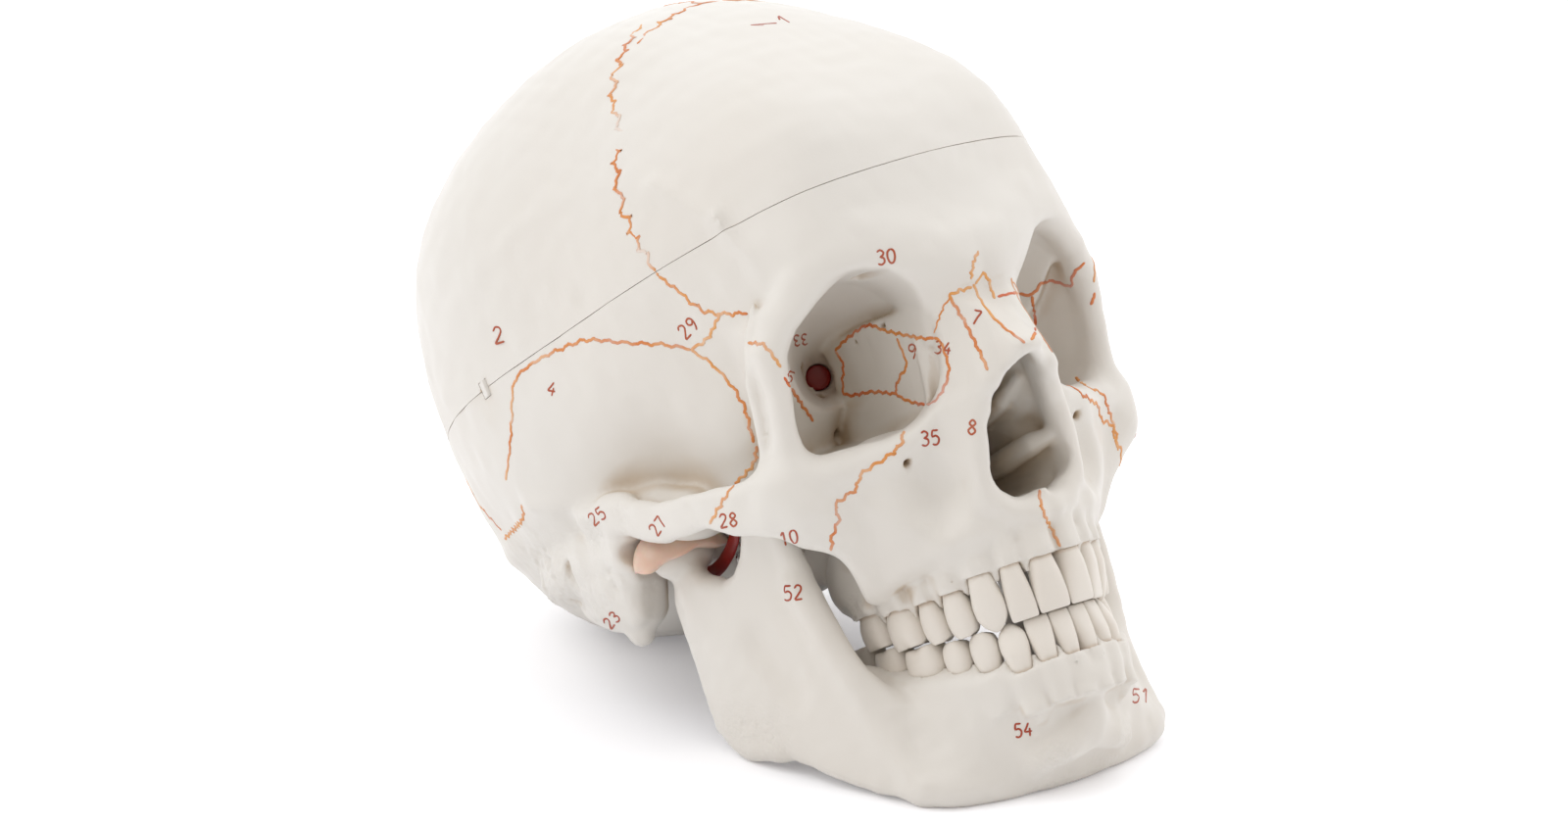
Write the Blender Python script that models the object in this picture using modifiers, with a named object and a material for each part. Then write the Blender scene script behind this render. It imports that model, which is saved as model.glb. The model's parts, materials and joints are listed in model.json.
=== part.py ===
"""Life-size anatomical skull model: skull base, lift-off calvarium, sprung jaw and thirty set teeth.

The skull is laid out in its own frame, with the ear canals at the origin, the face forwards and the eye-ear
plane level. It is then tipped back, as it rests on its jaw and the back of its head. Lengths are in metres.
"""

import math

import bmesh
import bpy
import numpy as np
from mathutils import Matrix, Vector

# Driving sizes of the head
HEAD_BREADTH = 0.140
HEAD_LENGTH = 0.190
CROWN_HEIGHT = 0.127
VAULT_WALL = 0.0050
LEAST_WALL = 0.0030
FLAT_DEPTH = 0.0005
TILT_STEP = 1e-6

# Cut between calvarium and base: its height over the ear canals and its rise towards the forehead
CUT_HEIGHT = 0.0485
CUT_RISE = math.radians(8.2)

# Clearances
PIECE_GAP = 0.0003
OVERRUN = 0.0300

# Finish of the modelled bone: the number of faces left after thinning
SKULL_FACES = 2300
JAW_FACES = 1200
NOSE_FACES = 900

# Teeth
ROOT_DEPTH = 0.0050
TOOTH_GAP = 0.0003

# Orbit
ORBIT_WIDTH = 0.0390
ORBIT_HEIGHT = 0.0405
CANAL_RADIUS = 0.0037
CANAL_WALL = 0.0020
CANAL_WALL_SHARE = 0.7
CANAL_OVERRUN_SHARE = 0.3
PLUG_LENGTH = 0.0075
PLUG_SETBACK = 0.0015

# Ear canal
EAR_RADIUS = 0.0035
EAR_DEPTH = 0.0190

# Jaw joint
CONDYLE_LENGTH = 0.0190
CONDYLE_RADIUS = 0.0055
DISC_THICKNESS = 0.0042

# Jaw springs
SPRING_RADIUS = 0.0018
SPRING_WIRE = 0.0006
SPRING_CURLS = 10
CURL_POINTS = 8
SLEEVE_WALL = 0.0008
EYE_WIRE = 0.0011
EYE_RADIUS = 0.0022
EYE_POINTS = 11
EYE_SHANK = 0.0060
EYE_OPEN_TURN = math.radians(40)
HOOK_POINTS = 5

# Calvarium fittings
PIN_RADIUS = 0.0011
PIN_LENGTH = 0.0060
MAGNET_RADIUS = 0.0015
MAGNET_LENGTH = 0.0018
KEY_WIDTH = 0.0036
KEY_HEIGHT = 0.0046
KEY_DEPTH = 0.0012
KEY_TURN = math.radians(162)
PIN_TURNS = {"back": math.radians(90), "right": math.radians(192), "left": math.radians(335)}
MAGNET_TURNS = {"back_left": math.radians(55), "back_right": math.radians(125), "front": math.radians(270)}

# The head's three sizes in shares: a place of 70, 95, 127 shares is half the breadth, half the length, the crown
BREADTH_SHARE = HEAD_BREADTH / 140
LENGTH_SHARE = HEAD_LENGTH / 190
HEIGHT_SHARE = CROWN_HEIGHT / 127
MEAN_SHARE = (BREADTH_SHARE + LENGTH_SHARE + HEIGHT_SHARE) / 3

SIDES = {"left": 1, "right": -1}

# Places are (left, forward, up) in shares, for the left side and the midline; the right side mirrors the left.
VAULT_CENTRE_SHARES = (0, 2, 42)
BONE_VOXEL_SHARE = 2.1
VAULT_SHARES = [
    (0, 98, 34), (0, 96.8, 45), (0, 92, 67), (0, 75, 91), (0, 25, 122), (0, 0, 127), (0, -46, 113), (0, -83, 79),
    (0, -95, 38), (0, -88, 2), (0, -69, -22), (0, -36, -30), (0, 0, -26), (0, 25, -8), (0, 60, 14), (0, 88, 20),
    (70, -22, 52), (66, 10, 47), (60, -42, 88), (35, 0, 118), (51, 10, 98), (32, 82, 76), (47, 73, 58),
    (50, 69, 44), (56, 35, 77), (58, 48, 53), (54, 50, 30), (64, 15, 27), (66, -5, 20), (64, -18, 7),
    (57, -49, 8), (45, -78, 30), (30, -83, 2), (33, -58, -20), (49, 46, 8), (40, 40, -6), (51, 26, 8),
    (49, 10, -2), (30, 5, -20), (47, -69, 75), (28, 60, 16), (26, 92, 45), (44, 82, 43), (28, 90, 30),
    (50, -12, -6),
]
INNER_SHARES = [
    (0, 86, 46), (0, 80, 36), (0, 64, 30), (27, 70, 46), (26, 52, 41), (40, 60, 46), (0, 42, 24), (20, 42, 32),
    (38, 42, 28), (0, 24, 14), (0, 14, 22), (38, 32, 4), (44, 16, 6), (22, 26, 8), (22, 4, 18), (40, -4, 18),
    (0, 6, 0), (0, 0, -16), (20, -20, -20), (0, -48, -20), (30, -46, -14), (48, -40, 6), (0, -78, 10),
    (30, -70, 8), (48, -18, 4),
]

# Bars are tapered rods from one place to the next, as (left, forward, up, radius) in shares.
SKULL_BARS_SHARES = {
    "brow": [(5, 94, 31, 5.0), (14, 92.5, 36, 4.8), (24, 88, 42, 4.4), (34, 84.5, 43, 4.2), (43, 79, 39.5, 4.0),
             (49, 73.5, 33, 3.8), (51.5, 70.5, 25, 3.5)],
    "lateral_rim": [(51.5, 70.5, 26, 3.5), (51.5, 70, 16, 3.3), (51.5, 67.5, 6, 3.4), (51.5, 65.5, -3, 4.5)],
    "lower_rim": [(52, 65, -6, 5.0), (46, 68.5, -8.5, 5.2), (38, 71.5, -8.5, 5.2), (30, 77, -7.5, 5.0),
                  (23, 80.5, -5, 4.6), (17, 84, 0, 3.6)],
    "medial_rim": [(17, 84, 0, 3.6), (12.5, 88, 10, 3.2), (10, 90, 19, 3.2), (8.5, 91, 28, 4.0)],
    "nasal_bone": [(3, 92.3, 28, 3.6), (3.2, 95, 20, 3.2), (3.6, 100, 12.5, 2.7), (3.4, 104.6, 7.8, 2.2)],
    "nasal_side": [(6.5, 94, 20, 2.6), (8, 97.4, 11, 2.4), (9.8, 97.6, 2.8, 2.4)],
    "aperture_rim": [(10, 97, 3, 2.6), (13, 92.5, -6, 2.8), (14.3, 90.5, -13, 3.2), (14, 87.5, -23, 3.6),
                     (9, 88, -30, 4.0), (3, 90, -32, 4.0)],
    "spine": [(0, 84, -32, 4.0), (0, 91, -28.5, 2.2), (0, 93.5, -27, 1.3)],
    "cheek_strut": [(50, 62, -14, 8.5), (44, 62.5, -21, 6.5), (37, 61, -30, 6.0), (33, 58, -36, 5.0)],
    "cheek_root": [(62.5, 8, 4, 3.2), (62.5, 0, 5, 3.0), (62, -9, 6, 2.6)],
    "mastoid_back": [(57, -18, -4, 7.0), (54, -30, -5, 8.0), (48, -44, -6, 8.0)],
    "mastoid_low": [(54, -18, -19, 6.5), (49, -30, -15, 7.0), (41, -42, -15, 6.0)],
    "ear_plate": [(53, -4, -9, 5.5), (52.5, -6, -15, 5.0), (52, -9.5, -21, 5.0)],
    "ear_ridge": [(59.5, -1.5, -9.5, 3.0), (59.5, -3, -14, 3.0), (59, -5, -18, 2.8), (58.5, -6, -22, 2.5)],
}

# Ribs are rods set side by side: each is (foot place, head place, radius), and the bone fills in between.
SKULL_RIBS_SHARES = {
    "cheek_arch": [((59, 58, -16), (57, 61, -6), 3.4), ((62.5, 51, -14), (61.5, 53, -5), 2.8),
                   ((64.3, 43, -11), (64.3, 43.5, -4), 2.5), ((65.1, 34, -11), (65.3, 34, -3.5), 2.5),
                   ((65.1, 26, -10.5), (65.3, 26, -2.5), 2.5), ((64.8, 18, -7), (65, 18, 1), 2.6),
                   ((63.6, 11, -3), (63.6, 11, 3), 3.0), ((62.5, 3, 1), (62.5, 3, 5), 3.4)],
    "outer_orbit_wall": [((51, 64, -4), (51.5, 68, 26), 2.4), ((46.5, 57, -4), (48.5, 59, 27), 2.2),
                         ((40, 49, -3), (42, 51, 27), 2.2), ((32, 42, 0), (34, 43, 25), 2.4)],
    "nose_wall": [((17, 82, -4), (9, 91, 24), 3.2), ((11.5, 94, -4), (6, 96, 20), 2.6)],
    "nose_roof": [((0, 91.6, 27), (5.5, 91, 27), 2.6), ((0, 95.3, 19.3), (6.2, 93, 19), 2.4),
                  ((0, 101.2, 11.6), (7.5, 97.5, 10.5), 2.3), ((0, 105.5, 7.8), (9, 98.2, 3), 2.2)],
    "nose_side": [((14, 88, -26), (13.6, 91.5, -1), 2.6), ((16.5, 84.5, -26), (15.5, 87, -1), 3.0),
                  ((19, 81.5, -26), (17.5, 82.5, -2), 3.2)],
    "inner_orbit_wall": [((12.5, 84, -2), (10, 87, 26), 2.9), ((11, 62, -3), (10.8, 62, 26), 2.9),
                         ((12.4, 42, 2), (12.4, 42, 24), 2.9)],
    "orbit_floor": [((15, 80, -5), (46, 67, -7), 3.4), ((13, 60, -6), (42, 56, -7), 3.4),
                    ((13, 44, -2), (32, 42, -3), 3.4)],
    "face_front": [((33, 60, -34), (45, 64, -14), 6.0), ((28, 69, -32), (36, 69, -11), 6.0),
                   ((23, 76, -31), (27, 74, -9), 5.6), ((17, 82, -31), (20, 79, -8), 4.6)],
    "septum": [((0, 84, -29), (0, 94, 14), 1.2), ((0, 60, -29), (0, 60, 15), 1.2), ((0, 38, -27), (0, 36, 4), 1.2)],
    "wing_plate": [((20, 38, -34), (18, 38, -6), 2.6), ((24, 31, -31), (20, 33, -6), 2.0),
                   ((27, 25, -27), (21, 28, -7), 1.7)],
}
SKULL_BALLS_SHARES = {
    "cheek_bone": ((51.5, 61, -9), (9.5, 9, 11)),
    "maxilla": ((23, 67, -18), (15.5, 15, 17)),
    "maxilla_front": ((13, 74, -33), (13, 12, 9)),
    "tuberosity": ((28, 44, -33), (6, 8, 10)),
    "palate": ((0, 64, -31), (25, 25, 3.4)),
    "mastoid": ((55.5, -15, -15.5), (7.8, 11.5, 15.5)),
    "occipital_condyle": ((15, -8, -27), (5.5, 10, 5)),
    "eminence": ((52, 23, -5), (12, 5.5, 5.5)),
    "ear_drum_plate": ((58, 0, -6), (7, 6, 8)),
    "sphenoid_body": ((0, 32, 4), (15, 14, 14)),
    "glabella": ((0, 93, 36), (14, 6, 8)),
}

# Upper and lower tooth rows follow a half oval: half width, depth, and where it starts, then its fullness
UPPER_ROW_SHARES = (27.2, 44.5, 43.5)
LOWER_ROW_SHARES = (25.8, 44.0, 42.0)
ROW_POWER_SHARE = 2.15
ROW_STEP_SHARE = 1.0

# Bone over the upper row: its length along the row, its top, and its radius at the front and what that gains
ALVEOLAR_RUN_SHARE = 62
ALVEOLAR_TOP_SHARE = -31
ALVEOLAR_RADIUS_SHARES = (4.4, 1.6)
ALVEOLAR_OFFSET_SHARES = (0.92, -2, 4)
ALVEOLAR_RIBS = 11

# Tooth: name, width, thickness, gum height and tip height, in shares, from the midline outwards
UPPER_TEETH_SHARES = [
    ("central_incisor", 8.5, 7.0, -43.6, -56.4), ("lateral_incisor", 6.8, 6.2, -43.3, -56.2),
    ("canine", 7.8, 7.8, -43.2, -57.0), ("first_premolar", 7.1, 8.6, -44.6, -55.8),
    ("second_premolar", 6.9, 8.6, -45.0, -55.2), ("first_molar", 10.1, 10.2, -44.4, -53.9),
    ("second_molar", 9.5, 10.0, -43.0, -51.7),
]
LOWER_TEETH_SHARES = [
    ("central_incisor", 5.5, 6.0, -67.6, -56.8), ("lateral_incisor", 6.1, 6.2, -67.4, -56.6),
    ("canine", 7.0, 7.4, -68.2, -57.4), ("first_premolar", 7.1, 7.6, -65.8, -56.4),
    ("second_premolar", 7.3, 8.2, -64.6, -56.0), ("first_molar", 11.0, 9.8, -62.6, -54.6),
    ("second_molar", 10.4, 9.6, -60.2, -52.2), ("third_molar", 9.8, 9.0, -57.4, -49.6),
]

# Tooth sections from root tip to crown tip: (height, width, thickness), as shares of the tooth
TOOTH_FORM_SHARES = {
    "incisor": [(-0.95, 0.40, 0.42), (0.0, 0.74, 0.90), (0.30, 0.90, 1.0), (0.65, 1.0, 0.66),
                (0.90, 0.98, 0.36), (0.985, 0.90, 0.22)],
    "canine": [(-0.95, 0.40, 0.42), (0.0, 0.74, 0.90), (0.30, 0.92, 1.0), (0.62, 1.0, 0.80),
               (0.84, 0.72, 0.50), (0.97, 0.30, 0.24)],
    "premolar": [(-0.95, 0.42, 0.46), (0.0, 0.76, 0.84), (0.35, 1.0, 1.0), (0.70, 0.97, 0.92),
                 (0.90, 0.76, 0.70), (0.98, 0.46, 0.44)],
    "molar": [(-0.95, 0.50, 0.50), (0.0, 0.84, 0.82), (0.35, 1.0, 1.0), (0.72, 0.98, 0.95),
              (0.92, 0.84, 0.80), (0.99, 0.60, 0.56)],
}
TOOTH_SIDES = 8
TOOTH_SQUARENESS_SHARE = 2.6

# Jaw ribs, from the condyle forwards to the chin
JAW_RIBS_SHARES = [
    ((50.5, 5, -56), (51, 6, -24), 3.6), ((51, 10, -62), (51, 11, -20), 3.6), ((51, 14, -64), (50.5, 17, -23), 3.5),
    ((50, 21, -65.5), (49.8, 22, -25), 3.2), ((48.5, 27, -68.5), (49, 28, -24.5), 3.0),
    ((46.5, 34, -73.5), (48.5, 34, -19), 3.0), ((44.5, 41, -79), (48, 39.5, -9), 3.0),
    ((42, 47, -83), (47.2, 43, -9), 3.2), ((40, 51.5, -85), (46.3, 46, -20), 3.4),
    ((38.5, 54, -86.2), (45, 45, -36), 3.8), ((37.5, 56, -87), (42.5, 45.5, -51), 4.2),
]
BODY_RIBS_SHARES = [
    ((37.5, 56, -87), (38, 44, -56.5), 4.4), ((36, 57.5, -88.2), (31, 44, -60.5), 5.2),
    ((33.5, 60, -89.6), (27.8, 52, -62.5), 5.4), ((29, 62, -90.8), (26, 60, -64.5), 5.4),
    ((24, 63.5, -91.8), (23, 68.5, -66.5), 5.2), ((17, 65, -92.6), (17.5, 76, -68.5), 4.9),
    ((9, 66.5, -93.4), (9, 82.5, -70.5), 4.7), ((0, 67, -93.6), (0, 84.5, -70.5), 4.7),
]
NECK_SHARES = [(51, 9.5, -12.5, 4.6), (51, 9.5, -20, 4.0), (51, 10, -28, 3.6)]
RIB_STEPS = 3

# Jaw joint centre, springs, calvarium fittings, openings of skull: places in shares
CONDYLE_PLACE_SHARES = (51, 9.5, -12.5)
SPRING_TOP_SHARES = (39.5, 19, -18)
SPRING_FOOT_SHARES = (41.5, 20.5, -46)
ORBIT_RIM_SHARES = (31, 80, 17.5)
ORBIT_APEX_SHARES = (15.5, 41, 19.5)
CANAL_END_SHARES = (6.5, 26, 21)
FORAMEN_MAGNUM_SHARES = (0, -18, -28)
FORAMEN_MAGNUM_RADII_SHARES = (14.5, 17.5, 19)
EAR_PLACE_SHARES = (62, 3.5, -5.5)
ORBIT_SIDES = 16
ORBIT_SQUARENESS_SHARE = 0.8
ORBIT_FORM_SHARES = [(0.0, 0.20), (0.15, 0.38), (0.35, 0.62), (0.6, 0.87), (0.8, 1.0), (1.0, 1.0), (1.25, 1.06),
                     (1.6, 1.2)]
NOSE_RIBS_SHARES = [
    ((7.4, 96, -19), (3.8, 101, -1), 5.4, 3.4), ((7.6, 84, -20), (4.2, 90, 4), 5.8, 3.2),
    ((7.6, 68, -20), (4.8, 70, 12), 5.8, 3.0), ((7.6, 50, -18), (5.4, 52, 8), 5.8, 3.2),
    ((7.8, 30, -22), (7.2, 32, -14), 6.0, 5.0),
]
NOSE_FRONT_SHARES = [((0, 97, -18), (0, 102.4, -0.5), 6.4, 3.9), ((0, 88, -18), (0, 93, 0), 5.0, 3.0)]

BONE_COLOUR = (0.80, 0.75, 0.68)
TOOTH_COLOUR = (0.82, 0.78, 0.71)
DISC_COLOUR = (0.78, 0.50, 0.42)
RED_COLOUR = (0.32, 0.03, 0.02)
STEEL_COLOUR = (0.62, 0.62, 0.63)


def place(spot):
    """Turn a (left, forward, up) place in shares into a point in metres."""
    return Vector((spot[0] * BREADTH_SHARE, -spot[1] * LENGTH_SHARE, spot[2] * HEIGHT_SHARE))


def mirrored(spot, side):
    """Return the place on the side asked for: 1 is left, -1 is right."""
    return (spot[0] * side, *spot[1:])


def clear_scene():
    """Remove whatever the open file holds."""
    for thing in list(bpy.data.objects):
        bpy.data.objects.remove(thing, do_unlink=True)


def new_collection(name, hidden=False):
    """Make a collection under the scene's own."""
    collection = bpy.data.collections.new(name)
    bpy.context.scene.collection.children.link(collection)
    collection.hide_render = hidden
    return collection


def new_object(name, bm, collection):
    """Turn a bmesh into a named object."""
    mesh = bpy.data.meshes.new(name)
    bm.to_mesh(mesh)
    bm.free()
    obj = bpy.data.objects.new(name, mesh)
    collection.objects.link(obj)
    return obj


def new_material(name, colour, roughness, metallic=0.0):
    """Make a Principled material of one colour."""
    material = bpy.data.materials.new(name)
    material.use_nodes = True
    shader = material.node_tree.nodes["Principled BSDF"]
    shader.inputs["Base Color"].default_value = (*colour, 1)
    shader.inputs["Roughness"].default_value = roughness
    shader.inputs["Metallic"].default_value = metallic
    material.diffuse_color = (*colour, 1)
    return material


def bake(obj):
    """Replace an object's mesh by what its modifiers make of it."""
    graph = bpy.context.evaluated_depsgraph_get()
    graph.update()
    mesh = bpy.data.meshes.new_from_object(obj.evaluated_get(graph))
    obj.modifiers.clear()
    obj.data = mesh
    return obj


def cut(obj, cutter, operation="DIFFERENCE", solver="EXACT"):
    """Cut or join one solid with another."""
    modifier = obj.modifiers.new("cut", "BOOLEAN")
    modifier.operation = operation
    modifier.solver = solver
    modifier.object = cutter
    return bake(obj)


def carve(obj, cutter):
    """Cut the many-surfaced skull base, on which the exact solver loses whole walls."""
    return cut(obj, cutter, solver="MANIFOLD")


def add_ball(bm, centre, radii, segments=16, rings=10):
    """Add an ellipsoid to a bmesh."""
    matrix = Matrix.Translation(centre) @ Matrix.Diagonal((*radii, 1))
    bmesh.ops.create_uvsphere(bm, u_segments=segments, v_segments=rings, radius=1, matrix=matrix)


def add_bar(bm, start, end, start_radius, end_radius, segments=10):
    """Add a tapered rod with round ends to a bmesh."""
    bar = bmesh.new()
    along = end - start
    turn = along.to_track_quat("Z", "Y").to_matrix().to_4x4()
    matrix = Matrix.Translation((start + end) / 2) @ turn
    bmesh.ops.create_cone(bar, cap_ends=True, segments=segments, radius1=start_radius, radius2=end_radius,
                          depth=along.length, matrix=matrix)
    add_ball(bar, start, (start_radius,) * 3, segments, segments // 2 + 1)
    add_ball(bar, end, (end_radius,) * 3, segments, segments // 2 + 1)
    mesh = bpy.data.meshes.new("bar")
    bar.to_mesh(mesh)
    bar.free()
    bm.from_mesh(mesh)
    bpy.data.meshes.remove(mesh)


def add_bars(bm, bars, side):
    """Add a chain of rods, given in shares."""
    for first, second in zip(bars, bars[1:]):
        start = place(mirrored(first, side))
        end = place(mirrored(second, side))
        add_bar(bm, start, end, first[3] * MEAN_SHARE, second[3] * MEAN_SHARE)


def add_ribs(bm, ribs, side):
    """Add rods side by side, with more between each pair, so that they close up into a plate."""
    for first, second in zip(ribs, ribs[1:]):
        for step in range(RIB_STEPS + 1):
            share = step / RIB_STEPS
            foot = place(mirrored(first[0], side)).lerp(place(mirrored(second[0], side)), share)
            head = place(mirrored(first[1], side)).lerp(place(mirrored(second[1], side)), share)
            foot_radius = first[2] + (second[2] - first[2]) * share
            head_radius = first[-1] + (second[-1] - first[-1]) * share
            add_bar(bm, foot, head, foot_radius * MEAN_SHARE, head_radius * MEAN_SHARE)


def radius_field(spots):
    """Return a smooth radius over all directions from the vault's centre that passes near the places given.

    Each place comes with the depth that the surface lies inside it. The radius is a sum of cubes of the
    distances between directions, plus a linear part, solved so that the surface meets each place.
    """
    centre = place(VAULT_CENTRE_SHARES)
    both = [(place(mirrored(spot, side)) - centre, inset) for spot, inset in spots for side in (1, -1)
            if spot[0] or side > 0]
    offsets = np.array([offset for offset, inset in both])
    far = np.linalg.norm(offsets, axis=1)
    ways = offsets / far[:, None]
    radii = far - np.array([inset for offset, inset in both])
    count = len(ways)
    system = np.zeros((count + 4, count + 4))
    system[:count, :count] = np.linalg.norm(ways[:, None] - ways[None], axis=2) ** 3
    system[:count, count] = 1
    system[:count, count + 1:] = ways
    system[count:, :count] = system[:count, count:].T
    weights = np.linalg.solve(system, np.concatenate([radii, np.zeros(4)]))

    def radius(directions):
        kernel = np.linalg.norm(directions[:, None] - ways[None], axis=2) ** 3
        return kernel @ weights[:count] + weights[count] + directions @ weights[count + 1:]

    return radius


def skull_surface(name, radius, collection, segments=32, rings=22):
    """Make a closed surface whose distance from the vault's centre is the given field."""
    bm = bmesh.new()
    bmesh.ops.create_uvsphere(bm, u_segments=segments, v_segments=rings, radius=1)
    ways = np.array([vert.co.normalized() for vert in bm.verts])
    reach = radius(ways)
    centre = place(VAULT_CENTRE_SHARES)
    for vert, way, far in zip(bm.verts, ways, reach):
        vert.co = centre + Vector(way) * float(far)
    return new_object(name, bm, collection)


def smooth_bone(obj, faces):
    """Melt overlapping rods and balls into one skin, smooth it and thin it out."""
    remesh = obj.modifiers.new("melt", "REMESH")
    remesh.mode = "VOXEL"
    remesh.voxel_size = BONE_VOXEL_SHARE * MEAN_SHARE
    soften = obj.modifiers.new("soften", "SMOOTH")
    soften.factor = 0.5
    soften.iterations = 3
    bake(obj)
    keep_outer_shell(obj)
    thin = obj.modifiers.new("thin", "DECIMATE")
    thin.ratio = min(1.0, faces / (2 * len(obj.data.polygons)))
    return bake(obj)


def keep_outer_shell(obj):
    """Drop the closed pockets and crumbs that carving leaves, and keep the shell that reaches farthest."""
    bm = bmesh.new()
    bm.from_mesh(obj.data)
    unseen = set(bm.verts)
    shells = []
    while unseen:
        front = [unseen.pop()]
        shell = list(front)
        while front:
            vert = front.pop()
            for edge in vert.link_edges:
                other = edge.other_vert(vert)
                if other in unseen:
                    unseen.remove(other)
                    front.append(other)
                    shell.append(other)
        shells.append(shell)
    shells.sort(key=lambda shell: max(vert.co.y for vert in shell) - min(vert.co.y for vert in shell))
    for shell in shells[:-1]:
        bmesh.ops.delete(bm, geom=shell, context="VERTS")
    bm.to_mesh(obj.data)
    bm.free()
    return obj


def cut_frame():
    """Return the matrix of the plane that parts the calvarium from the base, its Z axis up out of the plane."""
    return Matrix.Translation((0, 0, CUT_HEIGHT)) @ Matrix.Rotation(-CUT_RISE, 4, "X")


def half_space(name, frame, above, collection):
    """Make a block that fills one side of a frame's XY plane."""
    bm = bmesh.new()
    width = HEAD_LENGTH * 2
    bmesh.ops.create_cube(bm, size=width)
    obj = new_object(name, bm, collection)
    obj.matrix_world = frame @ Matrix.Translation((0, 0, width / 2 if above else -width / 2))
    return obj


def row_point(row, distance):
    """Return the place and outward way at a distance along a tooth row, from the midline, in shares."""
    half_width, depth, start = row
    turns = np.linspace(0, math.pi / 2, 400)
    across = half_width * np.sin(turns) ** (2 / ROW_POWER_SHARE)
    ahead = start + depth * np.cos(turns) ** (2 / ROW_POWER_SHARE)
    steps = np.hypot(np.diff(across), np.diff(ahead))
    run = np.concatenate([[0], np.cumsum(steps)])
    if distance >= run[-1]:
        return (half_width, start - (distance - run[-1])), 0.0
    spot = (float(np.interp(distance, run, across)), float(np.interp(distance, run, ahead)))
    ahead_change, across_change = (np.interp(distance + ROW_STEP_SHARE, run, line)
                                   - np.interp(distance - ROW_STEP_SHARE, run, line) for line in (ahead, across))
    return spot, math.atan2(across_change, -ahead_change)


def tooth_frames(row, teeth):
    """Yield each tooth with its matrix, from the midline outwards, for the left side."""
    run = TOOTH_GAP / MEAN_SHARE / 2
    for name, width, thickness, gum, tip in teeth:
        (across, ahead), outward = row_point(row, run + width / 2)
        run += width + TOOTH_GAP / MEAN_SHARE
        yield name, width, thickness, tip - gum, (across, ahead, gum), outward


def tooth_mesh(kind, width, thickness, crown, extra):
    """Make one tooth on its own axes: X along the row, Y outwards, Z from the gum line to the tip.

    A sphere's rings are moved to the tooth's sections, and each ring is squared off a little.
    """
    rings = TOOTH_FORM_SHARES[kind]
    bm = bmesh.new()
    bmesh.ops.create_uvsphere(bm, u_segments=TOOTH_SIDES, v_segments=len(rings) + 1, radius=1)
    grow = 1 if crown > 0 else -1
    for vert in bm.verts:
        level = round((vert.co.z / abs(vert.co.z) if abs(vert.co.z) > 1 - 1e-6 else 0))
        if level:
            tip = abs(crown) if level > 0 else -ROOT_DEPTH
            vert.co = Vector((0, 0, (tip + level * extra) * grow))
            continue
        index = len(rings) - 1 - round(math.acos(vert.co.z) / math.pi * (len(rings) + 1) - 1)
        height, wide, thick = rings[index]
        turn = math.atan2(vert.co.y, vert.co.x) + math.pi / TOOTH_SIDES
        power = 2 / TOOTH_SQUARENESS_SHARE
        across = math.copysign(abs(math.cos(turn)) ** power, math.cos(turn))
        outward = math.copysign(abs(math.sin(turn)) ** power, math.sin(turn))
        length = abs(crown) if height > 0 else ROOT_DEPTH
        vert.co = Vector((across * (wide * width / 2 + extra), outward * (thick * thickness / 2 + extra),
                          height * length * grow))
    bmesh.ops.recalc_face_normals(bm, faces=bm.faces)
    return bm


def tooth_kind(name):
    """Return the form of tooth that a name stands for."""
    return name.split("_")[-1]


def add_teeth(jaw, row, teeth, material, parts, cutters):
    """Set a row of teeth on both sides and return the cutters for their sockets."""
    sockets = []
    for side_name, side in SIDES.items():
        for name, width, thickness, crown, spot, outward in tooth_frames(row, teeth):
            frame = Matrix.Translation(place(mirrored(spot, side)))
            frame = frame @ Matrix.Rotation(side * (math.pi / 2 - outward) + math.pi, 4, "Z")
            sizes = (width * MEAN_SHARE, thickness * MEAN_SHARE, crown * HEIGHT_SHARE)
            label = f"{jaw}_{side_name}_{name}"
            tooth = new_object(label, tooth_mesh(tooth_kind(name), *sizes, 0), parts)
            tooth.matrix_world = frame
            tooth.data.materials.append(material)
            tooth.data.shade_smooth()
            socket = new_object(f"{label}_socket", tooth_mesh(tooth_kind(name), *sizes, PIECE_GAP), cutters)
            socket.matrix_world = frame
            sockets.append(socket)
    return sockets


def orbit_cutter(side, cutters):
    """Loft the eye socket from rounded squares that shrink towards its apex."""
    apex = place(mirrored(ORBIT_APEX_SHARES, side))
    rim = place(mirrored(ORBIT_RIM_SHARES, side))
    bm = bmesh.new()
    rings = []
    for along, scale in ORBIT_FORM_SHARES:
        centre = apex.lerp(rim, along)
        ring = []
        for step in range(ORBIT_SIDES):
            turn = 2 * math.pi * step / ORBIT_SIDES
            across = math.copysign(abs(math.cos(turn)) ** ORBIT_SQUARENESS_SHARE, math.cos(turn))
            up = math.copysign(abs(math.sin(turn)) ** ORBIT_SQUARENESS_SHARE, math.sin(turn))
            spread = Vector((across * ORBIT_WIDTH / 2, 0, up * ORBIT_HEIGHT / 2))
            ring.append(bm.verts.new(centre + spread * scale))
        rings.append(ring)
    for lower, upper in zip(rings, rings[1:]):
        for step in range(ORBIT_SIDES):
            after = (step + 1) % ORBIT_SIDES
            bm.faces.new((lower[step], lower[after], upper[after], upper[step]))
    bm.faces.new(rings[0])
    bm.faces.new(rings[-1])
    bmesh.ops.recalc_face_normals(bm, faces=bm.faces)
    return new_object("orbit_void", bm, cutters)


def rod(name, start, end, radius, collection, segments=16):
    """Make a plain cylinder between two points."""
    bm = bmesh.new()
    along = end - start
    turn = along.to_track_quat("Z", "Y").to_matrix().to_4x4()
    bmesh.ops.create_cone(bm, cap_ends=True, segments=segments, radius1=radius, radius2=radius,
                          depth=along.length, matrix=Matrix.Translation((start + end) / 2) @ turn)
    return new_object(name, bm, collection)


def ball(name, centre, radii, collection, segments=16, rings=8):
    """Make an ellipsoid."""
    bm = bmesh.new()
    add_ball(bm, centre, radii, segments, rings)
    return new_object(name, bm, collection)


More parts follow.
